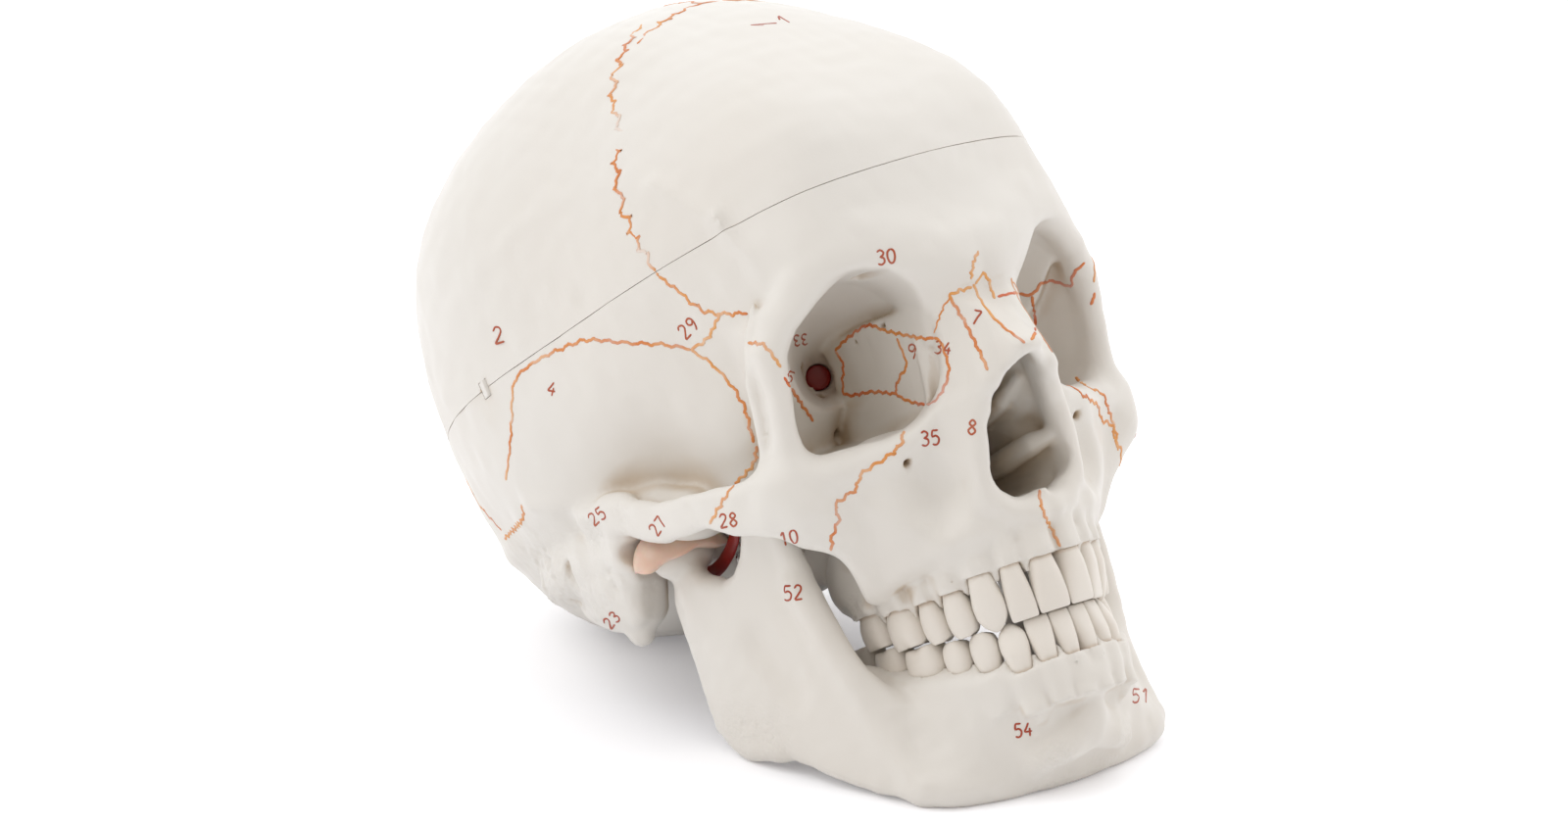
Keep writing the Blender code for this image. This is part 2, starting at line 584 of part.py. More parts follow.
def wire(name, points, radius, collection):
    """Make a bent wire with closed ends, as a mesh."""
    curve = bpy.data.curves.new(name, "CURVE")
    curve.dimensions = "3D"
    curve.bevel_depth = radius
    curve.bevel_resolution = 1
    curve.use_fill_caps = True
    spline = curve.splines.new("POLY")
    spline.points.add(len(points) - 1)
    for knot, point in zip(spline.points, points):
        knot.co = (*point, 1)
    obj = bpy.data.objects.new(name, curve)
    collection.objects.link(obj)
    bpy.context.view_layer.update()
    mesh = bpy.data.meshes.new_from_object(obj.evaluated_get(bpy.context.evaluated_depsgraph_get()))
    bpy.data.objects.remove(obj, do_unlink=True)
    bm = bmesh.new()
    bm.from_mesh(mesh)
    bmesh.ops.remove_doubles(bm, verts=bm.verts, dist=radius / 100)
    bmesh.ops.recalc_face_normals(bm, faces=bm.faces)
    return new_object(name, bm, collection)


def skull_fields():
    """Return the outer and inner radius fields of the braincase."""
    outer = radius_field([(spot, 0) for spot in VAULT_SHARES])
    roof = [(spot, VAULT_WALL) for spot in VAULT_SHARES if place(spot).z > CUT_HEIGHT - LEAST_WALL]
    free_inner = radius_field([(spot, 0) for spot in INNER_SHARES] + roof)

    def inner(ways):
        return np.minimum(free_inner(ways), outer(ways) - LEAST_WALL)

    return outer, inner


def rim_point(radius, turn):
    """Find where a braincase surface meets the cut plane, at a turn about the plane's centre from the left."""
    centre = place(VAULT_CENTRE_SHARES)
    frame = cut_frame()
    way = frame.to_3x3() @ Vector((math.cos(turn), math.sin(turn), 0))
    low = 0.0
    high = HEAD_LENGTH
    while high - low > PIECE_GAP / 10:
        middle = (low + high) / 2
        offset = frame.translation + way * middle - centre
        if offset.length < radius(np.array([offset.normalized()]))[0]:
            low = middle
        else:
            high = middle
    return frame.translation + way * low


def rim_frame(outer, inner, turn, share):
    """Return a frame on the rim, X outwards, Z out of the cut, at a share of the wall from inside to outside."""
    near = rim_point(inner, turn)
    far = rim_point(outer, turn)
    out = (far - near).normalized()
    up = cut_frame().to_3x3() @ Vector((0, 0, 1))
    along = up.cross(out)
    turned = Matrix((out, along, up)).transposed().to_4x4()
    return Matrix.Translation(near.lerp(far, share)) @ turned


def build_skull_blank(outer, parts, cutters):
    """Melt the face and skull-base forms together and join them to the braincase."""
    bm = bmesh.new()
    for side in (1, -1):
        for bars in SKULL_BARS_SHARES.values():
            add_bars(bm, bars, side)
        for ribs in SKULL_RIBS_SHARES.values():
            add_ribs(bm, ribs, side)
        for centre, radii in SKULL_BALLS_SHARES.values():
            add_ball(bm, place(mirrored(centre, side)), [radius * MEAN_SHARE for radius in radii])
        add_ribs(bm, upper_row_ribs(), side)
    face = smooth_bone(new_object("face_form", bm, cutters), SKULL_FACES)
    skin = skull_surface("skull_base", outer, parts)
    return cut(skin, face, "UNION", "MANIFOLD")


def upper_row_ribs():
    """Return the ribs of the bone that holds the upper teeth, following their row."""
    ribs = []
    front_radius, radius_gain = ALVEOLAR_RADIUS_SHARES
    narrowing, set_back, lift = ALVEOLAR_OFFSET_SHARES
    front_gum = UPPER_TEETH_SHARES[0][3]
    back_gum = UPPER_TEETH_SHARES[-1][3]
    for share in np.linspace(0, 1, ALVEOLAR_RIBS):
        (across, ahead), outward = row_point(UPPER_ROW_SHARES, share * ALVEOLAR_RUN_SHARE)
        foot = (across, ahead, front_gum + (back_gum - front_gum) * share + lift)
        head = (across * narrowing, ahead + set_back, ALVEOLAR_TOP_SHARE)
        ribs.append((foot, head, front_radius + radius_gain * share))
    return ribs


def nose_cutter(cutters):
    """Melt the two nasal passages and their shared front into one cutter; the wall between them is left."""
    bm = bmesh.new()
    for side in (1, -1):
        add_ribs(bm, NOSE_RIBS_SHARES, side)
    add_ribs(bm, NOSE_FRONT_SHARES, 1)
    return smooth_bone(new_object("nose_void", bm, cutters), NOSE_FACES)


def build_base(outer, inner, sockets, parts, cutters):
    """Carve the skull base out of its blank."""
    base = build_skull_blank(outer, parts, cutters)
    carve(base, skull_surface("brain_void", inner, cutters))
    for side in (1, -1):
        apex = place(mirrored(ORBIT_APEX_SHARES, side))
        wall_end = apex.lerp(place(mirrored(CANAL_END_SHARES, side)), CANAL_WALL_SHARE)
        cut(base, rod("canal_wall", apex, wall_end, CANAL_RADIUS + CANAL_WALL, cutters), "UNION", "MANIFOLD")
    carve(base, half_space("above_cut", cut_frame() @ Matrix.Translation((0, 0, -PIECE_GAP / 2)), True, cutters))
    for side in (1, -1):
        carve(base, orbit_cutter(side, cutters))
        canal_start = place(mirrored(ORBIT_APEX_SHARES, side))
        canal_end = place(mirrored(CANAL_END_SHARES, side))
        canal_mouth = canal_start.lerp(canal_end, -CANAL_OVERRUN_SHARE)
        carve(base, rod("canal_void", canal_mouth, canal_end, CANAL_RADIUS, cutters))
        ear = place(mirrored(EAR_PLACE_SHARES, side))
        ear_reach = Vector((side * EAR_DEPTH / 2, 0, 0))
        carve(base, rod("ear_void", ear - ear_reach, ear + ear_reach, EAR_RADIUS, cutters))
        condyle = place(mirrored(CONDYLE_PLACE_SHARES, side))
        carve(base, ball("fossa_void", condyle, [radius + PIECE_GAP for radius in disc_radii()], cutters))
    carve(base, nose_cutter(cutters))
    magnum = place(FORAMEN_MAGNUM_SHARES)
    magnum_radii = [radius * MEAN_SHARE for radius in FORAMEN_MAGNUM_RADII_SHARES]
    carve(base, ball("magnum_void", magnum, magnum_radii, cutters))
    for socket in sockets:
        carve(base, socket)
    return keep_outer_shell(base)


def disc_radii():
    """Return the outer radii of the soft disc over the jaw's condyle."""
    over = DISC_THICKNESS + PIECE_GAP
    return (CONDYLE_LENGTH / 2 + over, CONDYLE_RADIUS + over, CONDYLE_RADIUS + over)


def build_disc(name, side, parts, cutters):
    """Make the soft disc: a cap over the condyle, hollowed for it."""
    condyle = place(mirrored(CONDYLE_PLACE_SHARES, side))
    disc = ball(name, condyle, disc_radii(), parts)
    hollow = [CONDYLE_LENGTH / 2 + PIECE_GAP, CONDYLE_RADIUS + PIECE_GAP, CONDYLE_RADIUS + PIECE_GAP]
    cut(disc, ball("disc_hollow", condyle, hollow, cutters))
    level = Matrix.Translation(condyle - Vector((0, 0, PIECE_GAP)))
    return cut(disc, half_space("below_disc", level, False, cutters))


def build_calvarium(outer, inner, parts, cutters):
    """Make the lift-off cap from the braincase's two surfaces."""
    cap = skull_surface("calvarium", outer, parts)
    cut(cap, skull_surface("cap_void", inner, cutters))
    return cut(cap, half_space("below_cut", cut_frame() @ Matrix.Translation((0, 0, PIECE_GAP / 2)), False, cutters))


def build_jaw(sockets, parts, cutters):
    """Make the lower jaw and sink its tooth sockets."""
    bm = bmesh.new()
    for side in (1, -1):
        add_ribs(bm, JAW_RIBS_SHARES, side)
        add_ribs(bm, BODY_RIBS_SHARES, side)
        add_bars(bm, NECK_SHARES, side)
    jaw = smooth_bone(new_object("mandible", bm, parts), JAW_FACES)
    for side in (1, -1):
        condyle = place(mirrored(CONDYLE_PLACE_SHARES, side))
        knob = ball("condyle_form", condyle, (CONDYLE_LENGTH / 2, CONDYLE_RADIUS, CONDYLE_RADIUS), cutters)
        cut(jaw, knob, "UNION")
    for socket in sockets:
        cut(jaw, socket)
    return keep_outer_shell(jaw)


def eye_points(centre, along, out):
    """Bend a wire eye: a straight shank along a way, then a ring round the centre that nearly closes."""
    shank = centre + along * (EYE_RADIUS + EYE_WIRE)
    points = [shank + along * EYE_SHANK]
    for step in range(EYE_POINTS):
        turn = EYE_OPEN_TURN + (2 * math.pi - EYE_OPEN_TURN) * (1 - step / (EYE_POINTS - 1))
        turn = 2 * math.pi - turn + EYE_OPEN_TURN
        points.append(centre + (along * math.cos(turn - EYE_OPEN_TURN) + out * math.sin(turn - EYE_OPEN_TURN))
                      * EYE_RADIUS)
    return points


def spring_points(top, foot, out):
    """Wind a spring with a half-ring hook at each end, each hook passing through its eye.

    The coil is a circle that moves steadily along the line from top to foot, and each hook is a half circle of
    the same radius that stands on the coil's end.
    """
    along = (foot - top).normalized()
    side = along.cross(out).normalized()
    reach = EYE_RADIUS + SPRING_RADIUS - (EYE_WIRE + SPRING_WIRE) / 2 - PIECE_GAP
    start = top + along * reach
    end = foot - along * reach
    count = SPRING_CURLS * CURL_POINTS
    points = []
    for step in range(HOOK_POINTS):
        turn = math.pi * (HOOK_POINTS - step) / HOOK_POINTS
        points.append(start + (side * math.cos(turn) - along * math.sin(turn)) * SPRING_RADIUS)
    for step in range(count + 1):
        turn = 2 * math.pi * step / CURL_POINTS
        across = side * math.cos(turn) + out * math.sin(turn)
        points.append(start.lerp(end, step / count) + across * SPRING_RADIUS)
    for step in range(1, HOOK_POINTS + 1):
        turn = math.pi * step / HOOK_POINTS
        points.append(end + (side * math.cos(turn) + along * math.sin(turn)) * SPRING_RADIUS)
    return points


def least_gap(points, radius):
    """Return the least clear distance between stretches of a wire that lie over half a curl apart."""
    spots = np.array(points)
    apart = np.linalg.norm(spots[:, None] - spots[None], axis=2)
    index = np.arange(len(spots))
    near = np.abs(index[:, None] - index[None]) <= CURL_POINTS // 2
    return float(np.where(near, np.inf, apart).min()) - 2 * radius


def build_spring_set(side_name, side, steel, red, parts, cutters):
    """Hang one jaw spring in its sleeve between an eye in the skull base and one in the jaw."""
    top = place(mirrored(SPRING_TOP_SHARES, side))
    foot = place(mirrored(SPRING_FOOT_SHARES, side))
    along = (foot - top).normalized()
    outward = Vector((side, 0, 0))
    outward = (outward - along * outward.dot(along)).normalized()
    points = spring_points(top, foot, outward)
    print(f"jaw_spring_{side_name}: least gap to itself {least_gap(points, SPRING_WIRE / 2) * 1000:.2f} mm")
    spring = wire(f"jaw_spring_{side_name}", points, SPRING_WIRE / 2, parts)
    spring.data.materials.append(steel)
    middle = top.lerp(foot, 0.5)
    half = along * ((foot - top).length / 2 - EYE_RADIUS - EYE_WIRE)
    bore = SPRING_RADIUS + SPRING_WIRE / 2 + PIECE_GAP
    sleeve = rod(f"spring_sleeve_{side_name}", middle - half, middle + half, bore + SLEEVE_WALL, parts, 12)
    cut(sleeve, rod("sleeve_bore", middle - half - along * OVERRUN, middle + half + along * OVERRUN, bore,
                    cutters, 12))
    sleeve.data.materials.append(red)
    upper_eye = wire(f"skull_eye_{side_name}", eye_points(top, -along, outward), EYE_WIRE / 2, parts)
    lower_eye = wire(f"jaw_eye_{side_name}", eye_points(foot, outward, along), EYE_WIRE / 2, parts)
    upper_eye.data.materials.append(steel)
    lower_eye.data.materials.append(steel)
    hole = EYE_WIRE / 2 + PIECE_GAP
    near = EYE_RADIUS + EYE_WIRE
    depth = near + EYE_SHANK + PIECE_GAP
    upper_hole = rod("upper_eye_hole", top - along * near, top - along * depth, hole, cutters, 8)
    lower_hole = rod("lower_eye_hole", foot + outward * near, foot + outward * depth, hole, cutters, 8)
    return upper_hole, lower_hole


def rim_fittings(outer, inner, parts, cutters, steel, bone):
    """Make the calvarium's pins, magnets and key, and the cutters for their seats in both rims."""
    half_gap = PIECE_GAP / 2
    fittings = []
    seats = []
    for place_name, turn in PIN_TURNS.items():
        frame = rim_frame(outer, inner, turn, 0.5)
        spot = frame.translation
        reach = frame.to_3x3() @ Vector((0, 0, PIN_LENGTH / 2))
        slack = frame.to_3x3() @ Vector((0, 0, PIECE_GAP))
        fittings.append(rod(f"rim_pin_{place_name}", spot - reach, spot + reach, PIN_RADIUS, parts, 12))
        seats.append(rod("pin_seat", spot - reach - slack, spot + reach + slack, PIN_RADIUS + PIECE_GAP, cutters, 12))
    for place_name, turn in MAGNET_TURNS.items():
        frame = rim_frame(outer, inner, turn, 0.5)
        spot = frame.translation
        up = frame.to_3x3() @ Vector((0, 0, 1))
        for owner, way in (("skull", -1), ("cap", 1)):
            near = spot + up * way * half_gap
            far = near + up * way * MAGNET_LENGTH
            fittings.append(rod(f"{owner}_magnet_{place_name}", near, far, MAGNET_RADIUS, parts, 12))
        depth = up * (MAGNET_LENGTH + half_gap + PIECE_GAP)
        seats.append(rod("magnet_seat", spot - depth, spot + depth, MAGNET_RADIUS + PIECE_GAP, cutters, 12))
    for fitting in fittings:
        fitting.data.materials.append(steel)
    frame = rim_frame(outer, inner, KEY_TURN, 1.0)
    key = key_block("cap_locating_key", frame, 0, parts)
    key.data.materials.append(bone)
    seats.append(key_block("key_seat", frame, PIECE_GAP, cutters))
    return seats


def key_block(name, frame, extra, collection):
    """Make the key that stands across the cut, or the larger block that its seat is cut with."""
    bm = bmesh.new()
    size = (KEY_DEPTH * 2 + extra * 2, KEY_WIDTH + extra * 2, KEY_HEIGHT + extra * 2, 1)
    sunk = frame @ Matrix.Translation((-KEY_DEPTH / 2, 0, 0))
    bmesh.ops.create_cube(bm, size=1, matrix=sunk @ Matrix.Diagonal(size))
    return new_object(name, bm, collection)


def build_plug(name, side, parts):
    """Make the red plug behind the opening at the orbit's apex."""
    start = place(mirrored(ORBIT_APEX_SHARES, side))
    end = place(mirrored(CANAL_END_SHARES, side))
    way = (end - start).normalized()
    return rod(name, start + way * PLUG_SETBACK, start + way * (PLUG_SETBACK + PLUG_LENGTH),
               CANAL_RADIUS - PIECE_GAP, parts)


def lowest(obj, tilt):
    """Return how low an object reaches once the skull is tipped back by a tilt."""
    spots = np.empty(len(obj.data.vertices) * 3)
    obj.data.vertices.foreach_get("co", spots)
    spots = spots.reshape(-1, 3)
    return float((math.sin(-tilt) * spots[:, 1] + math.cos(tilt) * spots[:, 2]).min())


def resting_tilt(base, jaw):
    """Find the tilt at which the jaw and the back of the head reach equally low."""
    low = 0.0
    high = math.pi / 2
    while high - low > math.radians(TILT_STEP):
        middle = (low + high) / 2
        if lowest(jaw, middle) < lowest(base, middle):
            low = middle
        else:
            high = middle
    return low


def add_pivot(name, spot, rest):
    """Add an empty for a moving body, at a point of the skull's own frame."""
    pivot = bpy.data.objects.new(name, None)
    bpy.context.scene.collection.objects.link(pivot)
    pivot.parent = rest
    pivot.location = spot
    return pivot


def carry(obj, pivot):
    """Hang an object on a pivot without moving it."""
    obj.parent = pivot
    obj.location = obj.location - pivot.location


def main():
    """Build the skull and rest it on the floor."""
    clear_scene()
    parts = new_collection("anatomical_skull_model")
    cutters = new_collection("cutters", hidden=True)
    bone = new_material("bone", BONE_COLOUR, 0.42)
    enamel = new_material("tooth", TOOTH_COLOUR, 0.35)
    soft = new_material("joint_disc", DISC_COLOUR, 0.5)
    red = new_material("red_plastic", RED_COLOUR, 0.45)
    steel = new_material("steel", STEEL_COLOUR, 0.3, 1.0)

    outer, inner = skull_fields()
    upper_sockets = add_teeth("upper", UPPER_ROW_SHARES, UPPER_TEETH_SHARES, enamel, parts, cutters)
    lower_sockets = add_teeth("lower", LOWER_ROW_SHARES, LOWER_TEETH_SHARES, enamel, parts, cutters)
    base = build_base(outer, inner, upper_sockets, parts, cutters)
    cap = build_calvarium(outer, inner, parts, cutters)
    jaw = build_jaw(lower_sockets, parts, cutters)
    for obj in (base, cap, jaw):
        obj.data.materials.clear()
        obj.data.materials.append(bone)
    for side_name, side in SIDES.items():
        disc = build_disc(f"joint_disc_{side_name}", side, parts, cutters)
        disc.data.materials.append(soft)
        plug = build_plug(f"orbit_plug_{side_name}", side, parts)
        plug.data.materials.append(red)
        upper_hole, lower_hole = build_spring_set(side_name, side, steel, red, parts, cutters)
        carve(base, upper_hole)
        cut(jaw, lower_hole)
    for seat in rim_fittings(outer, inner, parts, cutters, steel, bone):
        carve(base, seat)
        carve(cap, seat)
    keep_outer_shell(base)

    tilt = resting_tilt(base, jaw)
    floor_level = max(lowest(jaw, tilt), lowest(base, tilt)) + FLAT_DEPTH
    tipped = Matrix.Rotation(-tilt, 4, "X")
    floor = tipped.inverted() @ Matrix.Translation((0, 0, floor_level))
    carve(base, half_space("floor_at_head", floor, False, cutters))
    cut(jaw, half_space("floor_at_jaw", floor, False, cutters))

    rest = bpy.data.objects.new("skull_rest", None)
    bpy.context.scene.collection.objects.link(rest)
    jaw_pivot = add_pivot("jaw_pivot", place((0, *CONDYLE_PLACE_SHARES[1:])), rest)
    cap_pivot = add_pivot("cap_pivot", cut_frame().translation, rest)
    for obj in parts.objects:
        if obj.name.startswith(("lower_", "mandible", "jaw_eye")):
            carry(obj, jaw_pivot)
        elif obj.name.startswith(("calvarium", "cap_")):
            carry(obj, cap_pivot)
        else:
            obj.parent = rest
    for obj in cutters.objects:
        obj.hide_render = True
        obj.display_type = "WIRE"
    reach = [tipped @ vert.co for obj in (base, cap, jaw) for vert in obj.data.vertices]
    middle = (max(spot.y for spot in reach) + min(spot.y for spot in reach)) / 2
    rest.rotation_euler = (-tilt, 0, 0)
    rest.location = (0, -middle, -floor_level)
    bpy.context.view_layer.update()
    print(f"tipped back by {math.degrees(tilt):.3f} degrees")
    print(f"jaw axis through {tuple(jaw_pivot.matrix_world.translation)}")
    print(f"cap lifts along {tuple(rest.matrix_world.to_3x3() @ cut_frame().to_3x3() @ Vector((0, 0, 1)))}")


main()
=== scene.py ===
"""Looks of the anatomical skull model: fine bone, set teeth, painted lines, and the jaw's fittings.

The skull has its own frame, in millimetres: x to its left, y to its back, z up from the line through the
ear canals. Places in the tables are (left, forward, up) in that frame, for the left side and the midline,
and most of them are mirrored. The frame's joints say how the skull lies in the row frame.
"""

import json
import logging
import math
from dataclasses import dataclass, field
from enum import Enum
from typing import Callable, Iterable, Sequence

import bpy
import numpy as np
from mathutils import Matrix, Vector


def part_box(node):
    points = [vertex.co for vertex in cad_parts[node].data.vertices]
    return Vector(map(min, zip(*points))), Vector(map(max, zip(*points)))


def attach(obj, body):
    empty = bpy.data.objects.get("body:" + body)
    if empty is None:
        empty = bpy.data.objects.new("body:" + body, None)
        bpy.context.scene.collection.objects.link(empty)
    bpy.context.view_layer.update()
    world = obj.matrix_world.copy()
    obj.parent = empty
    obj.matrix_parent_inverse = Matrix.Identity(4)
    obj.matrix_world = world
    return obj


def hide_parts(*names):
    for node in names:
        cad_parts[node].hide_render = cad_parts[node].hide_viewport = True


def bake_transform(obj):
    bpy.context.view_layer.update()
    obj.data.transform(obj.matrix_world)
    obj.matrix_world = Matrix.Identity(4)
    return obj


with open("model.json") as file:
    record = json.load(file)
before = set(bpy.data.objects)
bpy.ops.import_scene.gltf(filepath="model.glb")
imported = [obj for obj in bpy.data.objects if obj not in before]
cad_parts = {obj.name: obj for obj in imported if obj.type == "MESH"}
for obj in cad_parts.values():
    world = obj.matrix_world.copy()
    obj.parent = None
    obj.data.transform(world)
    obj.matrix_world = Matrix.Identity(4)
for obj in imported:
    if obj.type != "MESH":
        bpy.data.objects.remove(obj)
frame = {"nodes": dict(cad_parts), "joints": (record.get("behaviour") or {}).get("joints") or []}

log = logging.getLogger("skull")

MM = 0.001
Place = tuple[float, float, float]
Colour = tuple[float, float, float]
Array = np.ndarray

# Saw cut between calvarium and base: height, rise to the front in degrees, and the gap that shows
CUT_HEIGHT = 48.5
CUT_RISE = 8.2
SEEN_CUT_GAP = 0.18
# How far over the cut the base is grown before it is sawn, and the side of the boxes that saw it
BASE_OVER_CUT = 1.5
CUTTER_SIZE = 400.0
# Gap that fitted pieces keep
FIT_GAP = 0.3
CONDYLE_PLACE: Place = (51.0, 9.5, -12.5)

# The photograph's camera, in the skull's frame, with its lens in pixels and in millimetres
CAMERA_PLACE = (-1144.243, -1505.249, -119.094)
CAMERA_AHEAD = (0.60413, 0.79365, 0.07174)
CAMERA_TOP = (0.21238, -0.24713, 0.94542)
CAMERA_RIGHT = (0.76806, -0.55592, -0.31786)
PHOTO_CENTRE_PX = (800.0, 421.0)
FOCAL_LENGTH_PX = 7465.4
LENS_LENGTH = 167.97
SENSOR_WIDTH = 36.0

# Grids that the bones are meshed on
BASE_LOW: Place = (0, -113, -48)
BASE_HIGH: Place = (75, 101, 68)
BASE_STEP = 0.95
JAW_LOW: Place = (0, -96, -103)
JAW_HIGH: Place = (66, 12, 4)
JAW_STEP = 0.85
MOST_TRIANGLES = 190_000
# Turns from which an edge shows sharp, on bone and on fittings
BONE_EDGE_TURN = math.radians(62)
FITTING_EDGE_TURN = math.radians(40)

# Braincase: its centre, and places on its outer and inner surface
VAULT_CENTRE: Place = (0, 2, 42)
VAULT_WALL = 5.0
LEAST_WALL = 3.0
VAULT_PLACES: list[Place] = [
    (0, 98, 34), (0, 96.8, 45), (0, 92, 67), (0, 75, 91), (0, 25, 122), (0, 0, 127), (0, -46, 113),
    (0, -83, 79), (0, -95, 38), (0, -88, 2), (0, -69, -22), (0, -36, -30), (0, 0, -26), (0, 25, -8),
    (0, 60, 14), (0, 88, 20), (70, -22, 52), (66, 10, 47), (60, -42, 88), (35, 0, 118), (51, 10, 98),
    (32, 82, 76), (47, 73, 58), (50, 69, 44), (56, 35, 77), (58, 48, 53), (54, 50, 30), (64, 15, 27),
    (66, -5, 20), (64, -18, 7), (57, -49, 8), (45, -78, 30), (30, -83, 2), (33, -58, -20), (49, 46, 8),
    (40, 40, -6), (51, 26, 8), (49, 10, -2), (30, 5, -20), (47, -69, 75), (28, 60, 16), (26, 92, 45),
    (44, 82, 43), (28, 90, 30), (50, -12, -6),
]
INNER_PLACES: list[Place] = [
    (0, 86, 46), (0, 80, 36), (0, 64, 30), (27, 70, 46), (26, 52, 41), (40, 60, 46), (0, 42, 24),
    (20, 42, 32), (38, 42, 28), (0, 24, 14), (0, 14, 22), (38, 32, 4), (44, 16, 6), (22, 26, 8),
    (22, 4, 18), (40, -4, 18), (0, 6, 0), (0, 0, -16), (20, -20, -20), (0, -48, -20), (30, -46, -14),
    (48, -40, 6), (0, -78, 10), (30, -70, 8), (48, -18, 4),
]

# Low ridges and hollows on the braincase's outside: places, height and half width
VAULT_RELIEF: dict[str, tuple[list[Place], float, float]] = {
    "temporal_line": ([(50.5, 69, 32), (51.5, 74.5, 40), (50.5, 73.5, 50), (50, 66, 62)], 1.9, 1.8),
    "temporal_line_top": ([(50, 66, 62), (53, 50, 76)], 1.1, 2.6),
    "temporal_line_back": ([(53, 50, 76), (58, 25, 84), (63, 0, 80), (66, -25, 68), (66, -45, 48)], 0.45,
                           3.0),
    "brow_arch": ([(5, 98, 37), (15, 95, 43), (25, 92, 47)], 1.2, 5.0),
    "upper_nuchal_line": ([(0, -93, 0), (20, -88, 4), (40, -76, 6), (54, -55, 6)], 1.2, 3.4),
    "lower_nuchal_line": ([(2, -72, -18), (20, -66, -16), (36, -54, -13)], 0.8, 3.0),
    "occipital_knob": ([(0, -93, 1), (0, -92, -4)], 2.0, 5.0),
    "nuchal_crest": ([(0, -90, -6), (0, -60, -26), (0, -40, -30)], 0.7, 2.2),
    "supramastoid_crest": ([(66, 8, 6), (67, -8, 8), (66, -24, 14)], 1.3, 3.0),
    "temple_hollow": ([(55, 52, 26), (57, 46, 42)], -1.0, 9.0),
    "forehead_swell": ([(30, 84, 74)], 0.8, 14.0),
    "crown_swell": ([(62, -35, 80)], 0.8, 16.0),
    "top_seam": ([(0, 20, 124), (0, -20, 124), (0, -60, 104)], 0.35, 5.0),
}
INNER_RELIEF: dict[str, tuple[list[Place], float, float]] = {
    "top_sinus_groove": ([(0, 90, 60), (0, 60, 96), (0, 0, 122), (0, -60, 98), (0, -88, 45), (0, -84, 15)],
                         0.7, 4.0),
    "side_sinus_groove": ([(4, -86, 12), (30, -76, 12), (50, -48, 10), (54, -30, 8), (48, -20, -4)], 1.4,
                          3.6),
    "vessel_front": ([(46, 30, 14), (54, 36, 34), (52, 34, 62), (44, 28, 86), (30, 22, 104)], 0.6, 1.0),
    "vessel_back": ([(50, 22, 22), (60, 2, 40), (62, -20, 62), (52, -38, 86)], 0.55, 0.9),
    "vessel_fork": ([(54, 36, 34), (50, 50, 56), (42, 58, 76)], 0.45, 0.8),
    "vessel_branch": ([(60, 2, 40), (58, 8, 66), (48, 6, 90)], 0.4, 0.8),
    "frontal_dent": ([(24, 76, 62)], 0.8, 9.0),
    "parietal_dent": ([(50, -30, 84)], 0.8, 12.0),
}

# Bars are tapered rods from place to place: (left, forward, up, radius)
Bar = list[tuple[float, float, float, float]]
SKULL_BARS: dict[str, Bar] = {
    "brow": [(5, 94, 31, 5.0), (14, 92.5, 36, 4.8), (24, 88, 42, 4.4), (34, 84.5, 43, 4.2),
             (43, 79, 39.5, 4.0), (49, 73.5, 33, 3.8), (51.5, 70.5, 25, 3.5)],
    "lateral_rim": [(52, 71, 26, 3.6), (52, 70.6, 16, 3.2), (52, 68, 6, 3.4), (51.4, 65.5, -3, 4.5)],
    "lower_rim": [(52, 65, -5.4, 5.0), (46, 68.5, -7.4, 5.2), (38, 71.5, -7.6, 5.2), (30, 77, -7.2, 5.0),
                  (23, 80.5, -5, 4.6), (17, 84, 0, 3.6)],
    "medial_rim": [(17, 84, 0, 3.6), (12.5, 88, 10, 3.2), (10, 90, 19, 3.2), (8.5, 91, 28, 4.0)],
    "nasal_bone": [(3, 91.8, 28, 3.2), (3.0, 94.6, 20, 2.7), (3.2, 100, 12.5, 2.3), (3.0, 105.0, 7.8, 1.7)],
    "nasal_side": [(6.5, 93, 20, 2.4), (8, 97, 11, 2.2), (9.6, 98, 2.6, 2.0)],
    "aperture_rim": [(10, 97, 3, 2.4), (13, 92.5, -6, 2.4), (14.3, 90.5, -13, 2.8), (14, 87.5, -23, 3.4),
                     (9, 88, -30, 3.8), (3, 90, -32, 3.8)],
    "spine": [(0, 84, -32, 4.0), (0, 91, -28.5, 2.2), (0, 94, -26.8, 1.0)],
    "cheek_strut": [(50, 62, -14, 8.5), (44, 62.5, -21, 6.5), (37, 61, -30, 6.0), (33, 58, -36, 5.0)],
    "cheek_root": [(62.5, 8, 4, 3.2), (62.5, 0, 5, 3.0), (62, -9, 6, 2.6)],
    "cheek_tubercle": [(46, 61.5, -22, 3.6), (44, 60, -25, 2.2)],
    "root_shelf": [(52, 22, -2, 4.5), (54, 12, 0.5, 6.0), (56, 2, 2, 6.5), (58.5, -8, 3, 5.5)],
    "mastoid_tip": [(57, -8, -6, 7.0), (56.5, -9, -14, 6.5), (55.5, -10.5, -21, 5.4),
                    (54.5, -12.5, -27, 3.5)],
    "ear_plate": [(53, -4, -9, 5.5), (52.5, -6, -15, 5.0), (52, -9.5, -21, 5.0)],
    "ear_ridge": [(59.5, -1.5, -9.5, 3.0), (59.5, -3, -14, 3.0), (59, -5, -18, 2.8), (58.5, -6, -22, 2.5)],
    "mastoid_back": [(57, -18, -4, 7.0), (54, -30, -5, 8.0), (48, -44, -6, 8.0)],
    "mastoid_low": [(54, -18, -19, 6.5), (49, -30, -15, 7.0), (41, -42, -15, 6.0)],
}
Rib = tuple[Place, Place, float]
